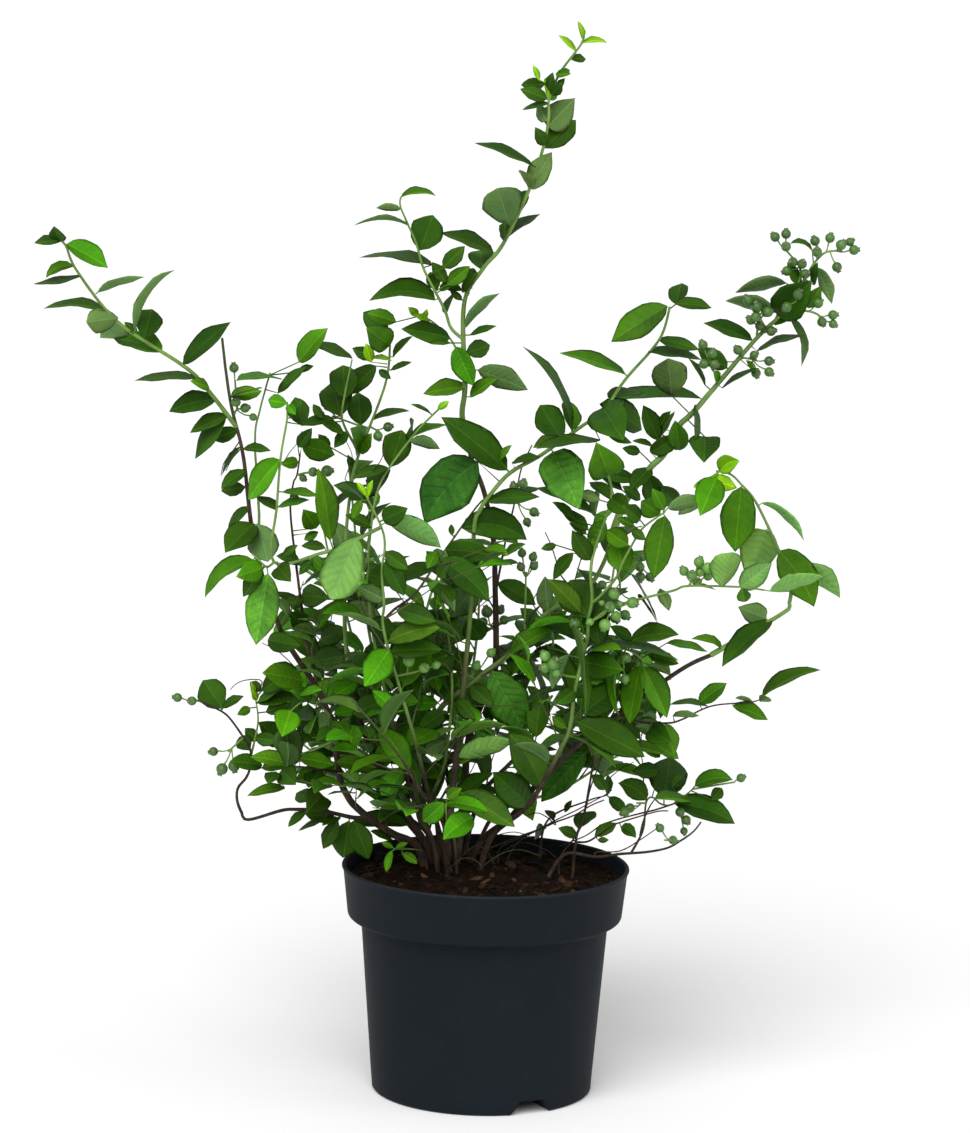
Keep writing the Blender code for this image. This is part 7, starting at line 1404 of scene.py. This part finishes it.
def chip_finish():
    """Bark and peat scraps, from nearly black through red-brown to tan."""
    paint = Paint("bark_chips")
    grain = paint.noise(500.0, 4.0, 0.65)
    ramp = paint.node("ShaderNodeValToRGB", Fac=paint.read("shade"))
    stops = ramp.color_ramp.elements
    stops[0].color = (0.0030, 0.0022, 0.0018, 1.0)
    stops[1].position = 1.0
    stops[1].color = (0.110, 0.060, 0.033, 1.0)
    for position, colour in ((0.50, (0.010, 0.006, 0.004)), (0.72, (0.034, 0.015, 0.008)),
                             (0.92, (0.075, 0.034, 0.017))):
        stops.new(position).color = colour + (1.0,)
    brown = Flow(paint, ramp.outputs["Color"])
    paint.bump(grain, 0.8, 0.0008)
    return paint.finish(paint.ranged(grain, 0.3, 0.7, brown, paint.times(brown, (0.45, 0.42, 0.40))), 0.85, 0.12)


# Pieces.


def stand(name, data):
    """An object in the scene for a mesh, lamp or camera."""
    item = bpy.data.objects.new(name, data)
    bpy.context.scene.collection.objects.link(item)
    return item


def settle(item):
    """Keeps what an object's modifier makes as its plain mesh."""
    bpy.context.view_layer.update()
    graph = bpy.context.evaluated_depsgraph_get()
    result = bpy.data.meshes.new_from_object(item.evaluated_get(graph), depsgraph=graph)
    item.modifiers.clear()
    old = item.data
    item.data = result
    bpy.data.meshes.remove(old)
    result.name = item.name
    return item


def grown(name, mesh, bench):
    """What a tree makes of a mesh."""
    item = stand(name, mesh)
    modifier = item.modifiers.new("growth", "NODES")
    modifier.node_group = bench.tree
    for identifier, value in bench.sizes.items():
        modifier[identifier] = value
    return settle(item)


def outward(item, merge=0.0):
    """Merges doubles where asked, turns every face outward and shades smoothly."""
    shell = bmesh.new()
    shell.from_mesh(item.data)
    if merge:
        bmesh.ops.remove_doubles(shell, verts=shell.verts, dist=merge)
    bmesh.ops.recalc_face_normals(shell, faces=shell.faces)
    shell.to_mesh(item.data)
    shell.free()
    item.data.shade_smooth()
    return item


FIELD_KINDS = {1: ("FLOAT", "value"), 3: ("FLOAT_VECTOR", "vector"), 4: ("FLOAT_COLOR", "color")}


def from_points(name, places, tree, edges=(), **fields):
    """What a tree makes of points, or lines, that carry what it needs to know of each."""
    mesh = bpy.data.meshes.new(name)
    mesh.from_pydata(places, edges, [])
    for field, values in fields.items():
        rows = [tuple(value) if hasattr(value, "__len__") else (value,) for value in values]
        kind, member = FIELD_KINDS[len(rows[0])]
        attribute = mesh.attributes.new(field, kind, "POINT")
        attribute.data.foreach_set(member, [part for row in rows for part in row])
    return outward(grown(name, mesh, tree))


def sharpen(item, angle):
    """Shades smoothly, apart from edges sharper than an angle in degrees."""
    item.data.shade_smooth()
    item.data.set_sharp_from_angle(angle=math.radians(angle))


def put(item, slot, *nodes):
    """Sets a piece on the one body, with its slot and the solids it stands for."""
    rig.ride(item, "root")
    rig.slot(item, slot)
    if nodes:
        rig.replaces(item, *nodes)


def from_shell(name, shell):
    """An object for a shape in the making, with every face turned outward."""
    bmesh.ops.recalc_face_normals(shell, faces=shell.faces)
    mesh = bpy.data.meshes.new(name)
    shell.to_mesh(mesh)
    shell.free()
    return stand(name, mesh)


def arc(x, y, radius, start, stop, steps):
    """Points of a round corner in a half outline."""
    angles = [math.radians(start + (stop - start) * step / steps) for step in range(steps + 1)]
    return [(x + radius * math.cos(angle), y + radius * math.sin(angle)) for angle in angles]


def turned(name, outline, steps):
    """A closed shape turned round the upright axis from a half outline that starts and ends on it."""
    shell = bmesh.new()
    angles = [2.0 * math.pi * step / steps for step in range(steps)]
    rings = []
    for radius, height in outline:
        spokes = angles if radius >= 1e-6 else angles[:1]
        rings.append([shell.verts.new((radius * math.cos(angle), radius * math.sin(angle), height))
                      for angle in spokes])
    for low, high in zip(rings, rings[1:]):
        for step in range(steps):
            after = (step + 1) % steps
            if len(low) == 1:
                shell.faces.new((low[0], high[after], high[step]))
            elif len(high) == 1:
                shell.faces.new((low[step], low[after], high[0]))
            else:
                shell.faces.new((low[step], low[after], high[after], high[step]))
    return from_shell(name, shell)


def wedge(name, turn, inner, outer, low, high, foot, top):
    """A notch-shaped block: wide at the foot, narrow at the top, lying along a spoke of the base."""
    angle = math.radians(turn)
    spoke = Vector((math.cos(angle), math.sin(angle), 0.0))
    across = Vector((-math.sin(angle), math.cos(angle), 0.0))
    shell = bmesh.new()
    corners = []
    for reach in (inner, outer):
        for half, height in ((-foot, low), (foot, low), (top, high), (-top, high)):
            corners.append(shell.verts.new(spoke * reach + across * (half * 0.5) + UP * height))
    for face in ((0, 1, 2, 3), (7, 6, 5, 4), (4, 5, 1, 0), (5, 6, 2, 1), (6, 7, 3, 2), (7, 4, 0, 3)):
        shell.faces.new([corners[place] for place in face])
    return from_shell(name, shell)


def cut(item, other, operation):
    """Joins or cuts a piece with a helper block, which then goes."""
    modifier = item.modifiers.new("cut", "BOOLEAN")
    modifier.object = other
    modifier.operation = operation
    modifier.solver = "MANIFOLD"
    settle(item)
    bpy.data.objects.remove(other, do_unlink=True)


def build_pot(plastic):
    """A pot with a stepped collar, a rolled lip and three notches under the foot, each housed inside."""
    outline = [
        (0.0, 0.0),
        *arc(BASE_RADIUS - 0.0030, FOOT_ROUND, FOOT_ROUND, -90, -12, 6),
        (BASE_RADIUS + 0.0004, 0.0060),
        (BODY_TOP_RADIUS - 0.0006, LEDGE - 0.0060), (BODY_TOP_RADIUS - 0.0002, LEDGE - 0.0018),
        (BODY_TOP_RADIUS + 0.0010, LEDGE), (BODY_TOP_RADIUS + 0.0034, LEDGE + 0.0004),
        *arc(COLLAR_RADIUS - COLLAR_ROUND, LEDGE + 0.0044, COLLAR_ROUND, -80, 0, 6),
        (RIM_RADIUS - 0.0014, POT_HEIGHT - 0.0046),
        *arc(RIM_RADIUS - LIP_ROUND, POT_HEIGHT - LIP_ROUND, LIP_ROUND, -35, 175, 10),
        (COLLAR_RADIUS - WALL, LEDGE + 0.0050), (COLLAR_RADIUS - STEP_IN, LEDGE + 0.0024),
        (BODY_TOP_RADIUS - WALL, LEDGE + 0.0004), (BASE_RADIUS - WALL, 0.0040),
        (BASE_RADIUS - WALL - 0.0012, FLOOR_OF_POT), (0.0, FLOOR_OF_POT),
    ]
    pot = turned("nursery_pot", outline, POT_STEPS)
    core = [(0.0, -BELOW_FLOOR), (BASE_RADIUS - 0.0008, -BELOW_FLOOR), (BASE_RADIUS - 0.0008, 0.0042),
            (BASE_RADIUS + 0.0008, 0.030), (0.0, 0.030)]
    for number, turn in enumerate(NOTCH_TURNS):
        housing = wedge("housing_%d" % number, turn, NOTCH_INNER - WALL, 0.100, 0.0005, NOTCH_HEIGHT + WALL,
                        NOTCH_FOOT + 2 * WALL, NOTCH_TOP + 2 * WALL)
        cut(housing, turned("core_%d" % number, core, POT_STEPS), "INTERSECT")
        cut(pot, housing, "UNION")
    for number, turn in enumerate(NOTCH_TURNS):
        low_width = NOTCH_FOOT + (NOTCH_FOOT - NOTCH_TOP) * BELOW_FLOOR / NOTCH_HEIGHT
        notch = wedge("notch_%d" % number, turn, NOTCH_INNER, 0.110, -BELOW_FLOOR, NOTCH_HEIGHT, low_width,
                      NOTCH_TOP)
        cut(pot, notch, "DIFFERENCE")
    outward(pot, 0.00001)
    pot.data.materials.clear()
    pot.data.materials.append(plastic)
    sharpen(pot, 32)
    put(pot, "plastic", "pot")


def build_soil(peat, chips):
    """The filled inside of the pot, lumpy on top, with scraps of bark over it."""
    inner = COLLAR_RADIUS - WALL
    collar_top = inner + (RIM_RADIUS - STEP_IN - COLLAR_RADIUS + WALL) * 0.68
    outline = [(0.0, SOIL_FOOT), (BASE_RADIUS - WALL - GAP, SOIL_FOOT),
               (BODY_TOP_RADIUS - WALL - GAP, LEDGE + 0.0007), (COLLAR_RADIUS - STEP_IN - GAP, LEDGE + 0.0028),
               (inner - GAP, LEDGE + 0.0052),
               (collar_top - GAP, SOIL_EDGE - 0.0012), (collar_top - 0.0010, SOIL_EDGE + 0.0006)]
    outline += [((collar_top - 0.0022) * (1.0 - row / SOIL_ROWS), SOIL_CAP) for row in range(SOIL_ROWS + 1)]
    soil = turned("soil_fill", outline, SOIL_STEPS)
    for vertex in soil.data.vertices:
        if vertex.co.z > SOIL_EDGE + 0.003:
            x, y = vertex.co.x, vertex.co.y
            crumb = noise.noise(Vector((x, y, 0.3)) * 130.0) * LUMP
            crumb += noise.noise(Vector((x, y, 1.7)) * 330.0) * 0.0008
            vertex.co.z = soil_height(x, y) + crumb + 0.0003
    soil.data.materials.append(peat)
    sharpen(soil, 50)
    put(soil, "soil", "soil")
    cap = bmesh.new()
    cap.from_mesh(soil.data)
    low = [face for face in cap.faces if face.normal.z < 0.25 or face.calc_center_median().z < SOIL_EDGE
           or face.calc_center_median().xy.length > SCRAP_REACH]
    bmesh.ops.delete(cap, geom=low, context="FACES")
    mesh = bpy.data.meshes.new("soil_top")
    cap.to_mesh(mesh)
    cap.free()
    put(grown("bark_scraps", mesh, chip_tree(chips)), "soil")


def build_foliage(name, leaves, tree, node):
    """Leaves of a node as one piece."""
    given = {field: [getattr(leaf, field) for leaf in leaves]
             for field in ("root", "base", "tip", "facing", "bow", "width")}
    item = from_points(name, [(0.0, 0.0, 0.0)] * len(leaves), tree, **given,
                       fold=[leaf.fold() for leaf in leaves], luck=[leaf.luck("luck") for leaf in leaves],
                       broad=[leaf.broad() for leaf in leaves], tint=[leaf.tint() for leaf in leaves],
                       relief=[LEAF_TONES[leaf.tone][3] for leaf in leaves])
    put(item, "leaf", node)


def build_tubes(name, lines, tree):
    """Lines, each with its points, radii and woodiness, as one set of round tubes."""
    places, radii, wood, edges = [], [], [], []
    for points, around, brown in lines:
        edges += [(len(places) + step, len(places) + step + 1) for step in range(len(points) - 1)]
        places += points
        radii += around
        wood += brown
    return from_points(name, places, tree, edges, thickness=radii, wood=wood)


def build_berries(name, berries, tree):
    """A node's berries, each a little lighter or darker by chance."""
    tints = []
    for number in range(len(berries)):
        # Pale trusses are brightened beyond the usual green, partly their own paler colour and partly painted light
        # against the shade they hang in.
        bright = within(BERRY_BRIGHT, draw(name, number, "bright")) * PALE_AND_LIT_BERRIES.get(name, 1.0)
        tints.append((*(part * bright for part in BERRY_GREEN), 1.0))
    centres, radii, hang = zip(*berries)
    put(from_points(name, centres, tree, hang=hang, radius=radii, tint=tints), "berry")


class Dressing:
    """What one node of the solids is dressed with."""

    def __init__(self):
        self.stems, self.leaves, self.stalks, self.berries = [], [], [], []

    def hang_truss(self, rows):
        """A truss: its own stalk, and its berries on theirs, which sag a little."""
        points = [Vector(row) * TENTH for row in rows if len(row) == 3]
        thick, thin = TRUSS_RADII
        self.stalks.append((points, [thick] * (len(points) - 1) + [thin], [TRUSS_WOOD] * len(points)))
        for row in rows[len(points):]:
            centre = Vector(row[:3]) * TENTH
            radius = row[3] * TENTH
            leave = Vector(row[4:]) * TENTH
            axis = (centre - leave).normalized()
            self.berries.append((centre, radius, axis))
            neck = centre - axis * (radius * STALK_END)
            sag = (leave + neck) * 0.5 - UP * (STALK_SAG * (neck - leave).length)
            self.stalks.append(([leave, sag, neck], BERRY_STALK, [BERRY_STALK_WOOD] * 3))


def build_bush(bark, leaf_skin, berry_skin):
    """Every node's stems, leaves and berries."""
    stems = {name: Stem(name, rows, order) for order, (name, rows) in enumerate(table(STEMS).items())}
    nodes = defaultdict(Dressing)
    for stem in stems.values():
        nodes[stem.node].stems.append(stem.tube())
    for name, rows in table(LEAVES).items():
        nodes[stems[name].node].leaves += [seen_leaf(stems[name], row, number) for number, row in enumerate(rows)]
    for name, rows in table(GROWN_LEAVES).items():
        nodes[stems[name].node].leaves += [grown_leaf(stems[name], number, share, *turns)
                                           for number, share, turns in by_rule(rows, 4)]
    for name, rows in table(SPRIGS).items():
        stem = stems[name]
        for number, share, (turn, kept) in by_rule(rows, 3):
            points = sprig_line(stem, number, share, turn)
            radii = [SPRIG_RADIUS * (1.15 - 0.15 * step) for step in range(SPRIG_STEPS + 1)]
            nodes[stem.node].stalks.append((points, radii, [SPRIG_WOOD] * len(points)))
            nodes[stem.node].leaves += [sprig_leaf(stem, number, points, place)
                                        for place in range(len(SPRIG_PLACES)) if kept >> place & 1]
    for name, rows in table(TRUSSES).items():
        node = rows.pop(0)[0] if len(rows[0]) == 1 else name
        nodes[node].hang_truss(rows)
    stem_tubes = stem_tree(bark)
    big_leaves = leaf_tree(leaf_skin, LEAF_RINGS)
    small_leaves = leaf_tree(leaf_skin, YOUNG_LEAF_RINGS)
    berry_balls = berry_tree(berry_skin)
    build_twigs(stem_tubes)
    for node, group in nodes.items():
        tubes = build_tubes("stem_" + node, group.stems + group.stalks, stem_tubes)
        put(tubes, "bark" if group.stems else "berry", *([] if node in MORE_TRUSSES else [node]))
        large = [leaf for leaf in group.leaves if leaf.length >= SMALL_LEAF]
        small = [leaf for leaf in group.leaves if leaf.length < SMALL_LEAF]
        if large:
            build_foliage("leaves_" + node, large, big_leaves, node)
        if small:
            build_foliage("young_leaves_" + node, small, small_leaves, node)
        if group.berries:
            build_berries("fruit_" + node, group.berries, berry_balls)


def build_twigs(tree):
    """Fine dead twigs, dry roots over the soil and bare stalks."""
    lines = []
    for rows in table(TWIGS).values():
        radius, brown = rows.pop(0)
        radii = [radius * MM * (1.1 - 0.45 * step / (len(rows) - 1)) for step in range(len(rows))]
        lines.append(([Vector(row) * TENTH for row in rows], radii, [brown] * len(rows)))
    put(build_tubes("fine_twigs", lines, tree), "bark")


# Studio.


def add_sun(name, toward, spread, power):
    """Even light from one side of the studio, soft as from a wide screen."""
    lamp = bpy.data.lights.new(name, "SUN")
    lamp.energy = power
    lamp.angle = math.radians(spread)
    stand(name, lamp).rotation_euler = Vector(toward).to_track_quat("Z", "Y").to_euler()


def build_studio():
    """A pale floor under even light, and the photograph's camera."""
    scene = bpy.context.scene
    scene.view_settings.view_transform = "Standard"
    scene.world = bpy.data.worlds.new("studio_air")
    scene.world.use_nodes = True
    air = scene.world.node_tree.nodes["Background"].inputs
    air["Color"].default_value = (1.0, 1.0, 1.0, 1.0)
    air["Strength"].default_value = 0.50
    mesh = bpy.data.meshes.new("studio_floor")
    mesh.from_pydata([(-30.0, -12.0, 0.0), (30.0, -12.0, 0.0), (30.0, 60.0, 0.0), (-30.0, 60.0, 0.0)], [],
                     [(0, 1, 2, 3)])
    mesh.materials.append(Paint("pale_floor").finish((0.97, 0.97, 0.97, 1.0), 0.9, 0.1))
    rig.stage(stand("studio_floor", mesh))
    add_sun("key", (-0.26, -0.95, 0.85), 55.0, 2.8)
    add_sun("side", (0.96, -0.30, 0.25), 40.0, 0.60)
    camera = bpy.data.cameras.new("photo_view")
    camera.sensor_fit = "VERTICAL"
    camera.sensor_height = 36.0
    camera.lens = VIEW_FOCAL * camera.sensor_height / VIEW_HEIGHT
    camera.clip_end = 100.0
    scene.camera = stand("photo_view", camera)
    forward = photo_ray(*VIEW_CENTRE)
    right = (photo_ray(VIEW_CENTRE[0] + 100.0, VIEW_CENTRE[1]) - forward).normalized()
    above = right.cross(forward).normalized()
    turn = Matrix((forward.cross(above), above, -forward)).transposed()
    scene.camera.matrix_world = Matrix.Translation(VIEW_STAND) @ turn.to_4x4()


def plain(box):
    return [list(map(float, corner)) for corner in box]


build_pot(plastic_finish())
build_soil(soil_finish(), chip_finish())
build_bush(bark_finish(), leaf_finish(), berry_finish())
build_studio()
with open("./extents.json", "w") as sheet:
    json.dump({"cad": plain(solid_box), "visual": plain(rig.bounds())}, sheet)
